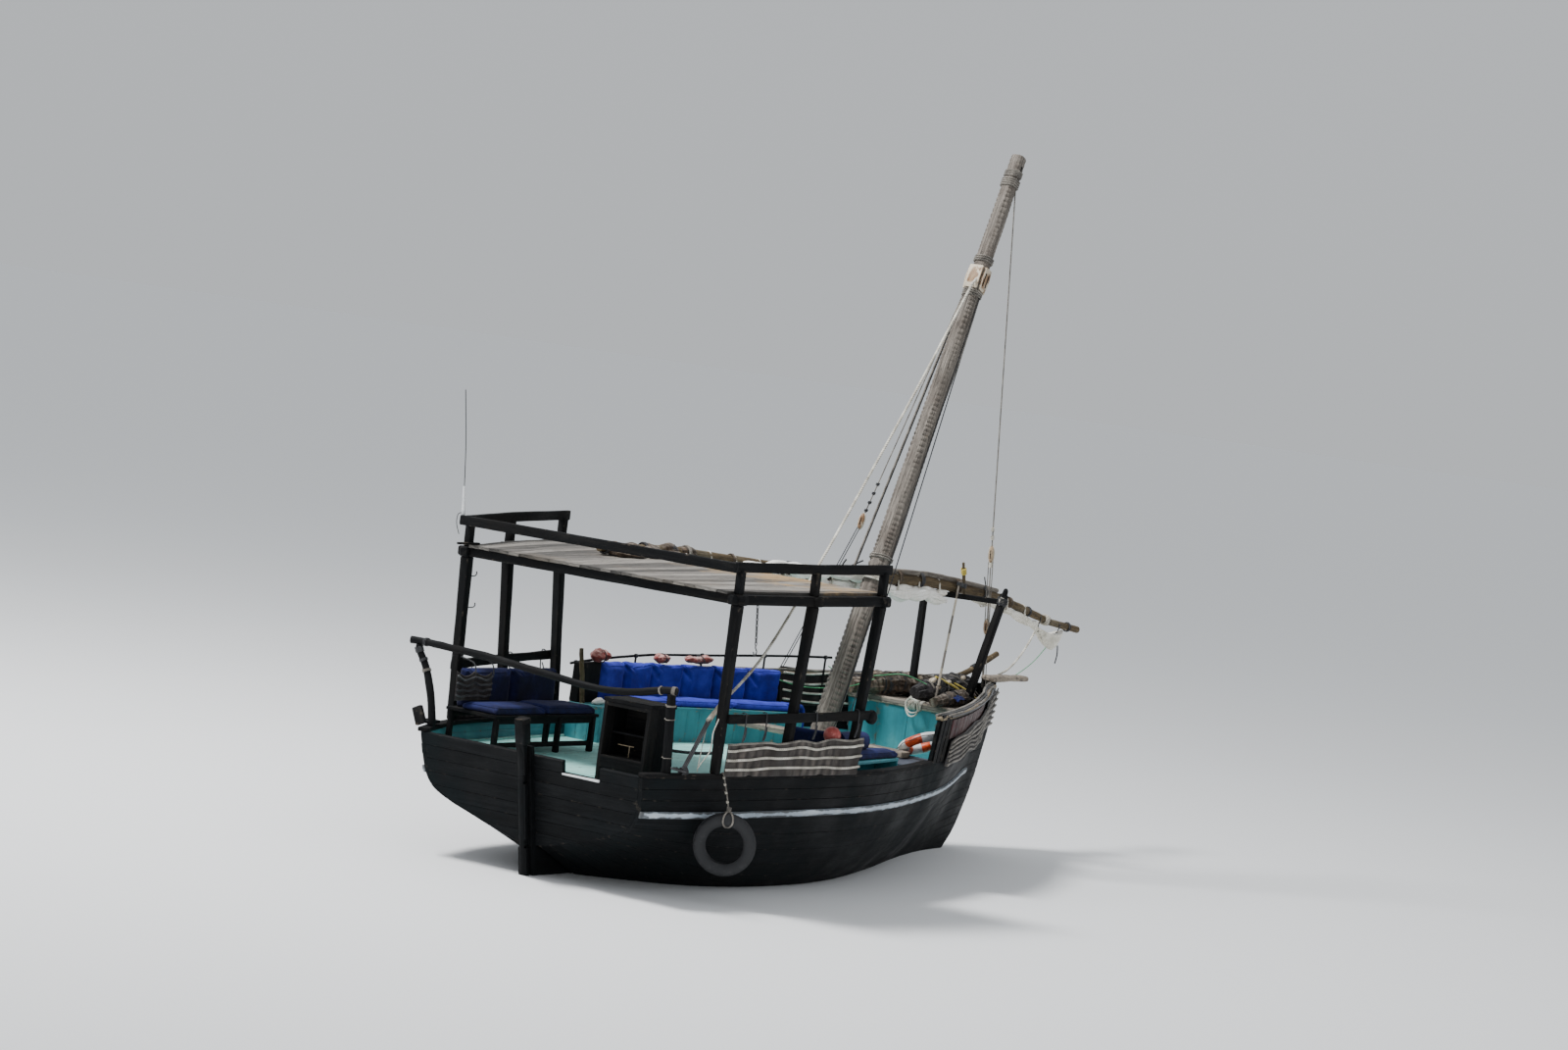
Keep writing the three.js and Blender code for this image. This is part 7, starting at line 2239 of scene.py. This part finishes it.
def bowGear(size):
    rows = smooth(size["spar"], 8)
    parts = [tube(rows, rows[:, 3], sides=16, uneven=0.003, size=0.2, seed=700, wear=0.3)]
    parts.append(lashing(rows[16, :3], rows[17, :3] - rows[15, :3], 0.037, 0.014, 5, skin=1))
    makePiece("bow_pole", parts, [barkPole, darkRope], stands=["bow_spar"])
    xs = np.linspace(size["logFrom"], size["logTo"], 24)
    rounding = np.minimum(1, (1 - np.abs((xs - size["logMiddle"]) / size["logRound"]) ** 24)) ** 0.5
    angle = 2 * np.pi * np.arange(24) / 24
    shape = np.stack([size["logHalfWide"] * np.sign(np.cos(angle)) * np.abs(np.cos(angle)) ** 0.6,
                      size["logHalfDeep"] * np.sign(np.sin(angle)) * np.abs(np.sin(angle)) ** 0.7], axis=1)
    path = np.stack([xs, 0 * xs - size["logY"], 0 * xs + size["logZ"]], 1)
    log = sweep(path, shape * np.maximum(rounding, 0.45)[:, None, None], up=(0, 0, 1), wear=0.95)
    uneven = 0.004 * ripple(log["points"], 0.25, 702)[..., None]
    log["points"] = log["points"] + uneven * np.array([0, 0.6, 1])
    makePiece("bow_log", [log], [silverWood], stands=["bow_plank"])
    a, b = np.array(size["stickFoot"]), np.array(size["stickTop"])
    parts = []
    edges = np.linspace(0, 1, 8)
    for k, (s, t) in enumerate(zip(edges, edges[1:])):
        path = [a + (b - a) * s, a + (b - a) * (t - 0.002)]
        parts.append(tube(path, 0.0155 - 0.0006 * k, sides=14, step=0.1, uneven=0.001, seed=705 + k,
                          skin=k % 2, wear=0.4))
    stick = [(8.18, 0.05, 2.9), (8.13, 0.055, 3.1), (8.07, 0.062, 3.31)]
    parts.append(tube(stick[:2], 0.012, sides=12, step=0.05, skin=2))
    parts.append(tube([stick[1], stick[2]], (0.022, 0.017), sides=12, step=0.05, uneven=0.004, size=0.06,
                      skin=2))
    parts.append(lashing((8.1, 0.0585, 3.21), (-0.06, 0.007, 0.21), 0.022, 0.014, 5, skin=3))
    tie = np.array(stick[1])
    parts.append(lashing(tie - (0, 0, 0.06), (0.35, 0.1, 1.0), 0.03, 0.012, 4, skin=4))
    parts.append(lashing(b - (b - a) * 0.02, b - a, 0.018, 0.012, 3, skin=4))
    makePiece("sounding_stick", parts, [silverWood, paleBark, barkPole, yellowRope, darkRope],
              stands=["sounding_pole"])


bowGear(bowSize)


# Rolled nets on the foredeck with their floats and ropes: lumpy rolls, radius x (1 + lumps + turns
# of the roll).
netLook = {
    "rolls": (
        ((6.86, 0.62, 1.79, 0.08), (7.2, 0.50, 1.83, 0.12), (7.6, 0.42, 1.85, 0.13),
         (8.0, 0.33, 1.84, 0.10), (8.2, 0.28, 1.81, 0.06)),
        ((7.42, 0.10, 1.78, 0.07), (7.7, 0.06, 1.83, 0.12), (8.1, 0.10, 1.87, 0.13),
         (8.5, 0.10, 1.87, 0.12), (8.72, 0.09, 1.82, 0.06)),
        ((6.98, -0.42, 1.76, 0.05), (7.3, -0.38, 1.78, 0.075), (7.75, -0.3, 1.79, 0.085),
         (8.2, -0.18, 1.78, 0.07), (8.4, -0.14, 1.75, 0.04)),
        ((6.9, 0.95, 1.77, 0.05), (7.3, 0.82, 1.80, 0.09), (7.8, 0.60, 1.81, 0.09), (8.1, 0.45, 1.79, 0.05)),
    ),
    "floats": 16, "floatHalf": 0.028,
}


def netHeap(look):
    parts = []
    dice = np.random.default_rng(77)
    angle = 2 * np.pi * np.arange(36) / 36
    for number, roll in enumerate(look["rolls"]):
        rows = resample(smooth(roll, 10), 0.025)
        turns = 0.06 * np.sin(9 * angle[None]
                              + 5 * rows[:, :1]) + 0.04 * np.sin(17 * angle[None] - 9 * rows[:, :1])
        around = np.stack([rows[:, :1] + 0 * angle, rows[:, 3:] * np.cos(angle),
                           rows[:, 3:] * np.sin(angle)], -1)
        lumps = 0.16 * ripple(around, 0.16, 80 + number) + 0.08 * ripple(around, 0.06, 90 + number)
        ring = rows[:, 3:] * (1 + turns + lumps)
        section = np.stack([ring * np.cos(angle), ring * np.sin(angle)], axis=-1)
        made = sweep(rows, section, up=(0, 0, 1), skin=number % 2, tint=dice.uniform())
        made["points"][..., 2] = np.maximum(made["points"][..., 2], hullSize["foredeckTop"] + 0.002)
        parts.append(made)
        for x in dice.uniform(0.1, 0.9, 4):
            k = int(x * (len(rows) - 2)) + 1
            parts.append(lashing(rows[k, :3], rows[k + 1, :3] - rows[k - 1, :3], rows[k, 3] * 0.97, 0.012, 2,
                                 skin=3 + number % 2))
    for k in range(look["floats"]):
        roll = resample(look["rolls"][k % 2], 0.02)
        row = roll[int(dice.uniform(0.15, 0.85) * len(roll))]
        turn = dice.uniform(0.3, 2.6)
        centre = row[:3] + np.array([0, -np.cos(turn), np.sin(turn)]) * row[3] * 1.0
        t = np.linspace(-1, 1, 7)
        path = centre + np.array([0.045, 0.01, 0.004]) * t[:, None]
        parts.append(tube(path, look["floatHalf"] * np.maximum(1 - t ** 4, 0.1) ** 0.5, sides=10, skin=2,
                          wear=0.5))
    lines = (
        ((7.05, 0.9, 1.90), (7.3, 0.45, 1.97), (7.55, 0.1, 1.93), (7.8, -0.25, 1.86), (7.95, -0.5, 1.74)),
        ((7.9, 0.35, 1.95), (8.1, 0.05, 2.0), (8.3, -0.1, 1.9), (8.5, -0.2, 1.75)),
    )
    for k, line in enumerate(lines):
        parts.append(rope(smooth(line), 0.014, skin=3 + k))
    return parts


makePiece("foredeck_nets", netHeap(netLook), [netTwine, darkNet, corkFloat, darkRope, greyRope])

ropeHeap = [
    rope(smooth([(7.74, 0.03, 1.98), (7.9, -0.02, 1.93), (8.08, -0.08, 1.86), (8.26, -0.12, 1.75)]), 0.03,
         skin=0),
    rope(smooth([(7.96, 0.05, 1.95), (8.1, -0.08, 1.90), (8.2, -0.2, 1.82), (8.28, -0.3, 1.73)]), 0.018,
         skin=0),
    rope(smooth([(6.95, 1.0, 1.95), (7.0, 0.75, 1.86), (7.12, 0.45, 1.93), (7.3, 0.2, 1.98),
                 (7.5, 0.0, 1.90)]), 0.013, skin=1),
    rope(smooth([(6.1, 1.28, 1.80), (6.4, 0.95, 1.72), (6.75, 0.6, 1.78), (7.0, 0.4, 1.9)]), 0.011, skin=1),
]
makePiece("foredeck_loose_ropes", ropeHeap, [yellowRope, tealRope])

# Loops of rope over the after beam, and the tail that hangs from them.
beamLow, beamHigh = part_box("foredeck_beam")
beamMiddle = (np.array(beamLow) + np.array(beamHigh)) / 2
knots = []
for y, turns, diameter in ((-0.05, 4, 0.022), (-0.16, 2, 0.018), (0.55, 3, 0.014), (-0.75, 3, 0.016)):
    centre = beamMiddle + (0, y - beamMiddle[1], 0)
    half = (np.array(beamHigh) - np.array(beamLow)) / 2
    knots.append(tieLoop(centre, np.array([0.0, 1.0, 0.0]), half[0] + 0.012, half[2] + 0.014, diameter,
                         turns=turns))
for number, (reach, drop) in enumerate(((0.09, 0.16), (0.12, 0.12))):
    at = beamMiddle + (-0.10, -0.05 - beamMiddle[1], 0.08)
    loop = [at, at + (-0.02, -reach, -0.03), at + (-0.03, -reach - 0.03, -drop),
            at + (-0.03, -0.02, -drop - 0.04), at + (-0.02, 0.05, -drop * 0.5), at + (0.01, 0.0, 0.02)]
    knots.append(rope(smooth(loop), 0.02))
makePiece("beam_ropes", knots, [paleRope])


# A scrap of cloth over the nets: a draped sheet, height = crown - slope + small folds.
blueClothSize = {"middle": (7.47, -0.44, 1.835), "halfLong": 0.10, "halfWide": 0.08, "thick": 0.002}


def blueCloth(size):
    u, v = np.meshgrid(np.linspace(-1, 1, 26), np.linspace(-1, 1, 22), indexing="ij")
    x = size["middle"][0] + size["halfLong"] * u + 0.01 * v
    y = size["middle"][1] + size["halfWide"] * v
    z = size["middle"][2] - 0.03 * u ** 2 - 0.03 * v ** 2
    z = z + 0.008 * np.sin(5 * u + 2 * v) + 0.004 * np.sin(11 * v)
    face = np.stack([x, y, z], axis=-1)
    cloth = makePiece("blue_cloth", [part(face, closed=False)], [navyCanvasWithPaintedShade])
    solid = cloth.modifiers.new("thickness", "SOLIDIFY")
    solid.thickness = size["thick"]


blueCloth(blueClothSize)
print("bow gear built")


# The low dark locker at the starboard side, and the lifebuoy over it

sideLockerSize = {"from": 4.5, "to": 5.46, "top": 1.296, "near": -1.0}


def sideLocker(size):
    x0, x1, top, near = size["from"], size["to"], size["top"], size["near"]
    parts = []
    xs = np.linspace(x0, x1, 8)
    far = -(insideHalf(xs, hullSize["deckTop"] + 0.2) - 0.03)
    for number, (s, t) in enumerate(((0, 0.49), (0.51, 1.0))):
        face = np.stack([np.stack([xs, near + (far - near) * share, 0 * xs + top], 1)
                         for share in (s, (s + t) / 2, t)], axis=1)
        parts.append(board(face, (0, 0, -1), 0.03, edge=0.006, seed=720 + number))
    deck = hullSize["deckTop"] + 0.0005
    for number, (a, b) in enumerate(((deck, 1.15), (1.155, top - 0.031))):
        parts.append(plank((x0 + 0.02, near - 0.02, a), (x0 + 0.02, float(far[0]) + 0.02, a),
                           (x0 + 0.02, float(far[0]) + 0.02, b), (x0 + 0.02, near - 0.02, b), (1, 0, 0),
                           0.022, seed=725 + number))
        parts.append(plank((x0 + 0.02, near - 0.02, a), (x1, near - 0.02, a), (x1, near - 0.02, b),
                           (x0 + 0.02, near - 0.02, b), (0, -1, 0), 0.022, seed=730 + number))
    makePiece("side_locker", parts, [blueGreyBoards])


sideLocker(sideLockerSize)


# A lifebuoy that leans out against the bulwark: a ring of tube with four white bands and a grab line.
def ringBuoy(centre, normal, radius, thick):
    normal = unit(np.asarray(normal, float))
    across = unit(np.cross(normal, (0.0, 0.0, 1.0)))
    over = np.cross(normal, across)
    turn = 2 * np.pi * np.arange(96) / 96
    angle = 2 * np.pi * np.arange(20) / 20
    out = across * np.cos(turn)[:, None] + over * np.sin(turn)[:, None]
    parts = []
    for band in range(8):
        first, last = band * 12, band * 12 + 13
        take = np.arange(first, last) % 96
        grow = 1.02 if band % 2 else 1.0
        reach = thick * grow
        ring = (np.asarray(centre) + out[take][:, None] * (radius + reach * np.cos(angle))[None, :, None]
                + normal * (reach * 0.8 * np.sin(angle))[None, :, None])
        parts.append(part(ring, skin=band % 2))
    wave = radius + thick + 0.012 + 0.012 * np.cos(8 * turn)
    line = np.asarray(centre) + out * wave[:, None]
    parts.append(sweepCord(np.concatenate([line, line[:1]]), 0.009, skin=2))
    makePiece("ring_buoy", parts, [floatPlastic, gelcoat, greyRope])


ringBuoy((5.38, -1.25, 1.46), (0.12, 0.5, 0.86), 0.2, 0.065)


# Pads, rails and small gear along the port side

# A life jacket crumpled into a bundle: a roll along x whose radius is uneven by two sizes of ripple,
# tied once with its strap.
def lifeJacket(name, centre, half, seed):
    angle = 2 * np.pi * np.arange(36) / 36
    t = np.linspace(-0.98, 0.98, 31)
    swell = (1 - np.abs(t) ** 3) ** 0.5 * (1 + 0.2 * np.sin(5 * t + seed))
    around = np.stack([half[0] * t[:, None] + 0 * angle, half[1] * np.cos(angle) + 0 * t[:, None],
                       half[2] * np.sin(angle) + 0 * t[:, None]], axis=-1)
    crumple = 1 + 0.24 * ripple(around, 0.09, seed) + 0.12 * ripple(around, 0.035, seed + 1)
    section = np.stack([half[1] * np.cos(angle), half[2] * np.sin(angle)],
                       1) * (swell[:, None] * crumple)[..., None]
    path = np.asarray(centre) + np.array([half[0], 0, 0]) * t[:, None]
    pad = makePiece(name, [sweep(path, section, up=(0, 0, 1))], [jacketCloth])
    strap = tieLoop(np.asarray(centre), np.array([1.0, 0, 0]), half[1] * 1.1, half[2] * 1.15, 0.012, turns=1)
    makePiece(f"{name}_straps", [strap], [darkRope])


lifeJacket("life_jacket_1", (3.29, 1.66, 1.955), (0.14, 0.075, 0.065), 41)
lifeJacket("life_jacket_2", (4.35, 1.56, 1.945), (0.13, 0.06, 0.045), 42)
lifeJacket("life_jacket_3", (4.95, 1.46, 1.945), (0.27, 0.06, 0.04), 43)


def portHandrail():
    xs = np.linspace(3.05, 6.93, 24)
    y = lineAt("sheerY", xs) - 0.035
    path = np.stack([xs, y, np.interp(xs, (3.05, 4.45, 6.93), (1.84, 1.96, 2.05))
                     + 0.006 * np.sin(xs * 2.1)], 1)
    parts = [tube(path, 0.014, sides=10, uneven=0.001)]
    for x in (3.15, 4.15, 5.15, 6.05, 6.85):
        foot = (x, float(lineAt("sheerY", np.array([x]))[0]) - 0.03,
                float(lineAt("sheerZ", np.array([x]))[0]) - 0.002)
        top = (x, float(np.interp(x, xs, path[:, 1])), float(np.interp(x, xs, path[:, 2])))
        parts.append(tube([foot, top], 0.012, sides=10, step=0.1))
        parts.append(lashing(top, (1.0, 0, 0), 0.016, 0.009, 4, skin=1))
    makePiece("port_handrail", parts, [dryTarred, darkRope])


portHandrail()


# Hooks on the first port post, the chain that hangs from the roof's edge, and its hook.
def hooksAndChain():
    parts = []
    for z, reach in ((2.78, 0.14), (2.455, 0.16)):
        x = float(toBoat([(postX[0] + 0.05, 0, z)])[0][0])
        y = float(footY[0] + (topY[0] - footY[0]) * (z - footZ[0]) / (canopySize["underside"] - footZ[0]))
        path = [(x - 0.02, y, z), (x + reach * 0.7, y, z - 0.005), (x + reach, y, z + 0.012),
                (x + reach, y, z + 0.045)]
        parts.append(tube(smooth(path), 0.006, sides=8))
    turn = np.linspace(0, 2 * np.pi, 17)[:-1]
    links = 13
    top, bottom = np.array([0.86, -1.775, 2.985]), np.array([0.90, -1.79, 2.60])
    for k in range(links):
        centre = top + (bottom - top) * (k + 0.5) / links
        flat = np.array([1.0, 0, 0]) if k % 2 else np.array([0, 1.0, 0])
        upright = np.array([0, 0, 1.0]) * (0.021 * np.sin(turn))[:, None]
        path = centre + flat * (0.010 * np.cos(turn))[:, None] + upright
        other = np.cross(flat, (0, 0, 1.0))
        angle = 2 * np.pi * np.arange(6) / 6
        out = unit(path - centre)
        ring = path[:, None] + 0.005 * (out[:, None] * np.cos(angle)[None, :, None]
                                         + other * np.sin(angle)[None, :, None])
        parts.append(part(ring, loop=True))
    hook = [bottom, bottom - (0, 0, 0.03), bottom + (0.03, 0, -0.07), bottom + (0.0, 0, -0.11),
            bottom + (-0.03, 0, -0.07)]
    parts.append(tube(smooth(hook), 0.006, sides=8))
    makePiece("hooks_and_chain", parts, [zincSteel])


hooksAndChain()


# Small gear at the starboard side: a round knob of wound rope on the elbow rail's end, a red float
# over the mat, and a rope left in a curve on the deck.
def sideGear():
    end = toBoat([(postX[2] + 0.12, -float(besidePosts(postX[2] + 0.1, 1.8)) - 0.022, 1.80)])[0]
    t = np.linspace(-1, 1, 13)
    round5 = np.maximum(1 - t ** 2, 0.02) ** 0.5
    path = end + np.array([0, 0.045, 0]) * t[:, None]
    parts = [tube(path, 0.075 * round5 ** 0.5, sides=20, uneven=0.004, size=0.05, seed=738, up=(1, 0, 0),
                  skin=0)]
    ball = toBoat([(2.60, -float(besidePosts(2.60, 1.7)) + 0.12, 1.60)])[0]
    parts.append(tube(ball + np.array([0.09, 0, 0]) * t[:, None], 0.09 * round5, sides=24, skin=1))
    parts.append(rope([ball + (0, 0, 0.08), ball + (0.01, -0.03, 0.16), ball + (0.01, -0.10, 0.25)], 0.01,
                      skin=2))
    z = hullSize["deckTop"] + 0.014
    curve = [(3.5, 0.98, z), (3.42, 0.8, z), (3.44, 0.62, z), (3.6, 0.5, z), (3.82, 0.46, z),
             (4.1, 0.5, z), (4.3, 0.62, z)]
    parts.append(rope(smooth(curve), 0.04, skin=2))
    makePiece("side_gear", parts, [dryTarred, coralPlastic, darkRope])


sideGear()
print("side gear built")


# Antenna, fender, and small pieces at the stern

def antenna():
    foot = np.array([0.533, 1.690, 3.399])
    base = [(0, 0, 0, 0.020), (-0.009, 0, 0.06, 0.020), (-0.012, 0, 0.075, 0.017), (-0.043, 0, 0.28, 0.015),
            (-0.046, 0, 0.295, 0.009)]
    rows = np.array(base) + [*foot, 0]
    parts = [tube(rows, rows[:, 3], sides=20, up=(0, 1, 0), skin=0)]
    whip = [foot + (-0.046, 0, 0.29), foot + (-0.12, 0, 0.75), (foot[0] - 0.24, foot[1], 4.675)]
    parts.append(tube(resample(smooth(whip), 0.1), 0.0045, sides=8, up=(0, 1, 0), skin=1))
    cable = [foot + (0.0, 0.018, 0.02), foot + (-0.05, 0.03, 0.0), foot + (-0.07, 0.02, -0.09),
             foot + (-0.02, 0.01, -0.2)]
    parts.append(tube(smooth(cable), 0.004, sides=8, skin=1))
    makePiece("antenna_whip", parts, [gelcoat, tyreRubber], stands=["whip_antenna"])


antenna()

tyreSize = {"centre": (0.80, -1.80, 0.61), "turnDegrees": 55.0, "outer": 0.312, "rim": 0.188, "half": 0.084,
            "blocks": 60}


# The tyre's half section from bead to bead, outside then inside, turned round its axle. The tread is
# cut by grooves at even angles.
def tyre(size):
    half, outer, rim = size["half"], size["outer"], size["rim"]
    outside = [(-0.62, rim), (-0.80, rim + 0.012), (-0.97, rim + 0.045), (-1.0, rim + 0.070),
               (-0.93, outer - 0.028), (-0.80, outer - 0.010), (-0.62, outer - 0.002), (-0.42, outer),
               (-0.38, outer - 0.008), (-0.32, outer - 0.008), (-0.28, outer), (-0.05, outer),
               (0.0, outer - 0.008)]
    outside = np.array(outside) * (half, 1)
    outside = np.concatenate([outside, outside[-2::-1] * (-1, 1)])
    inside = np.array([(0.45, rim + 0.004), (0.62, rim + 0.03), (0.80, rim + 0.07), (0.66, outer - 0.03),
                       (0.0, outer - 0.022)])
    inside = inside * (half, 1)
    inside = np.concatenate([inside, inside[-2::-1] * (-1, 1)])
    profile = np.concatenate([outside, inside])
    turn = 2 * np.pi * np.arange(240) / 240
    axle = np.array([np.sin(np.radians(size["turnDegrees"])), np.cos(np.radians(size["turnDegrees"])), 0])
    across = np.array([axle[1], -axle[0], 0])
    radius = np.repeat(profile[None, :, 1], len(turn), axis=0)
    tread = (np.arange(len(profile)) < len(outside)) & (profile[:, 1] > outer - 0.012)
    groove = (np.sin(turn * size["blocks"])[:, None] > 0.55) & tread & (np.abs(profile[:, 0]) > 0.35 * half)
    radius[groove] -= 0.006
    points = (np.array(size["centre"]) + across * (radius * np.cos(turn)[:, None])[..., None]
              + np.array([0, 0, 1.0]) * (radius * np.sin(turn)[:, None])[..., None]
              + axle * profile[None, :, :1])
    makePiece("fender_tyre", [part(points, loop=True)], [tyreRubber], stands=["tyre_fender"],
              crease=50)


tyre(tyreSize)


# The fender's line: two turns round the tyre at its top, and up over the gunwale to a knot.
def fenderRope():
    centre = np.array(tyreSize["centre"])
    top = centre + (0, 0, (tyreSize["outer"] + tyreSize["rim"]) / 2)
    axle = np.array([np.sin(np.radians(55)), np.cos(np.radians(55)), 0])
    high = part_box("fender_line")[1]
    parts = []
    for k in (-1, 1):
        angle = np.linspace(-np.pi / 2, 1.5 * np.pi, 30)
        loop = (top + axle * ((tyreSize["half"] + 0.014) * np.cos(angle))[:, None]
                + np.array([0, 0, 1.0]) * (0.078 * np.sin(angle))[:, None]
                + np.array([axle[1], -axle[0], 0]) * (0.05 * k * np.cos(angle))[:, None])
        parts.append(rope(loop, 0.018))
    rise = np.array([0.77, -1.70, high.z - 0.009])
    line = [top + (0, 0, 0.08), (rise + top + (0, 0, 0.08)) / 2 + (0, -0.006, 0), rise,
            (0.80, -1.66, high.z - 0.009)]
    parts.append(rope(smooth(line), 0.014))
    for share in (0.25, 0.5, 0.72, 0.9):
        parts.append(lashing(line[0] + (rise - line[0]) * share, rise - line[0], 0.006, 0.009, 2, skin=1))
    parts.append(lashing(top + (0, 0, 0.10), (0, 0, 1.0), 0.012, 0.014, 3))
    makePiece("fender_rope", parts, [greyRope, paleRope], stands=["fender_line"])


fenderRope()


# The rudder's squared head with its worn top, the step and the block at the port quarter, the bark
# pole and the dark box at the port bench's after end, and the cloth folded on that bench.
sternSize = {
    "head": ((-0.287, 0, 1.325), (-0.342, 0, 1.545)), "headWide": 0.122,
    "band": ((-0.340, 0, 1.535), (-0.352, 0, 1.583)), "bandWide": 0.126,
    "step": ((-0.02, 1.44, 1.305), (0.22, 1.50, 1.305)),
    "block": ((-0.2, 1.33, 1.30), (-0.2, 1.41, 1.47)),
    "poleFoot": (2.975, 1.60, 1.452), "poleTop": (2.83, 1.60, 2.04),
    "box": ((3.12, 1.69, 1.452), (3.12, 1.69, 1.88)),
}


def sternGear(size):
    parts = [timber(size["head"], size["headWide"], size["headWide"], up=(0, 1, 0), seed=740),
             timber(size["band"], size["bandWide"], size["bandWide"], up=(0, 1, 0), seed=743, skin=1)]
    parts[1]["wear"] = np.ones(parts[1]["points"].shape[:2])
    makePiece("rudder_cap", parts, [tarredUpright, dryTarred], body="rudder")
    parts = [timber(size["step"], 0.16, 0.03, corner=0.3, seed=741)]
    foot, top = np.array(size["poleFoot"]), np.array(size["poleTop"])
    parts.append(tube([foot, (foot + top) / 2 + (0.012, 0, 0), top], (0.026, 0.024, 0.02), sides=14,
                      step=0.06, uneven=0.004, size=0.1, seed=742, up=(0, 1, 0), skin=1, wear=0.4))
    parts.append(timber(size["block"], 0.12, 0.045, up=(1, 0, 0), uneven=0.004, seed=745))
    parts.append(timber(size["box"], 0.11, 0.38, up=(1, 0, 0), corner=0.1, seed=744))
    makePiece("stern_fittings", parts, [dryTarred, barkPole])
    cloth = smooth([(3.02, 1.5, 1.472, 0.02), (3.12, 1.47, 1.49, 0.038), (3.24, 1.5, 1.475, 0.02)], 8)
    makePiece("bench_cloth", [sailBundle(cloth, 0.15, 16, pleats=5)], [sailCanvas])


# Dark cushions left at the starboard side, one folded on the seat and one against its end, and the
# fore seat cushion's end, which is folded down over the port bench.
def sparePads():
    seat = [(3.12, -1.53, 1.56), (3.72, -1.47, 1.55)]
    end = [(2.97, -1.6, 1.37), (2.90, -1.15, 1.37)]
    flap = [(benchX[-1] - 0.16, 0.93, 1.51), (benchX[-1] - 0.02, 0.92, 1.52),
            (benchX[-1] + 0.035, 0.92, 1.46), (benchX[-1] + 0.045, 0.92, 1.33),
            (benchX[-1] + 0.04, 0.92, 1.22)]
    # The starboard pads take the navy that is darkened as painted shade.
    for name, path, wide, deep, up, cloth in (
            ("spare_pad_seat", seat, 0.2, 0.2, (0, 0, 1), navyCanvasWithPaintedShade), ("spare_pad_end", end, 0.09, 0.58,
                                                                        (0, 0, 1), navyCanvasWithPaintedShade),
            ("seat_flap_port", smooth(flap), 0.3, 0.045, (1, 0, 1), royalCanvas)):
        pad = timber(path, wide, deep, up=up, corner=0.42, uneven=0.007, seed=len(name), step=0.04, wear=0.0)
        makePiece(name, [pad], [cloth])


sparePads()


# The dark mat in front of the aft back cushion's end. Its top edge hangs in scallops from two
# cords: height - sag x |sin| along it.
aftMatSize = {"from": 0.21, "to": 0.84, "y": 1.262, "cordY": 1.252, "low": 1.548, "high": 1.85,
              "sag": 0.05, "scallop": 0.31}


def aftMat(size):
    at = np.arange(size["from"], size["to"], 0.03)
    low = size["low"]
    top = size["high"] - size["sag"] * np.abs(np.sin(np.pi * (at - size["from"]) / size["scallop"]))
    face = np.stack([np.stack([at, size["y"] + 0.008 * np.sin(at * 19 + 4 * share),
                               low + (top - low) * share], 1) for share in np.linspace(0, 1, 8)], axis=1)
    parts = [board(face, (0, 1, 0), 0.008, edge=0.003, seed=751)]
    for share in (0.18, 0.4, 0.62, 0.84):
        sway = 0.006 * np.sin(at * 31 + 9 * share)
        line = np.stack([at, 0 * at + size["cordY"], low + (top - low) * share + sway], 1)
        parts.append(rope(line, 0.022, skin=1))
    for x in (0.52, 0.83):
        parts.append(rope(smooth([(x, 1.26, 1.81), (x, 1.30, 1.925), (x - 0.02, 1.46, 1.97)]), 0.014,
                          skin=1))
    makePiece("aft_mat", parts, [darkMat, darkRope])


aftMat(aftMatSize)
sternGear(sternSize)


# The free rope: it leaves the aft face of the first starboard post and hangs down to the gunwale.
def freeRope(name, path, diameter, material):
    line = resample(smooth(path), 0.03)
    piece = makePiece(name, [rope(line, diameter)], [material])


bightPath = [(0.655, -1.635, 1.84), (0.635, -1.625, 1.775), (0.615, -1.615, 1.705), (0.61, -1.615, 1.645),
             (0.615, -1.615, 1.585), (0.605, -1.61, 1.51), (0.575, -1.60, 1.46), (0.55, -1.585, 1.42),
             (0.50, -1.56, 1.335)]
bightDiameter = 0.012
freeRope("post_bight", bightPath, bightDiameter, paleRope)
print("stern gear built")
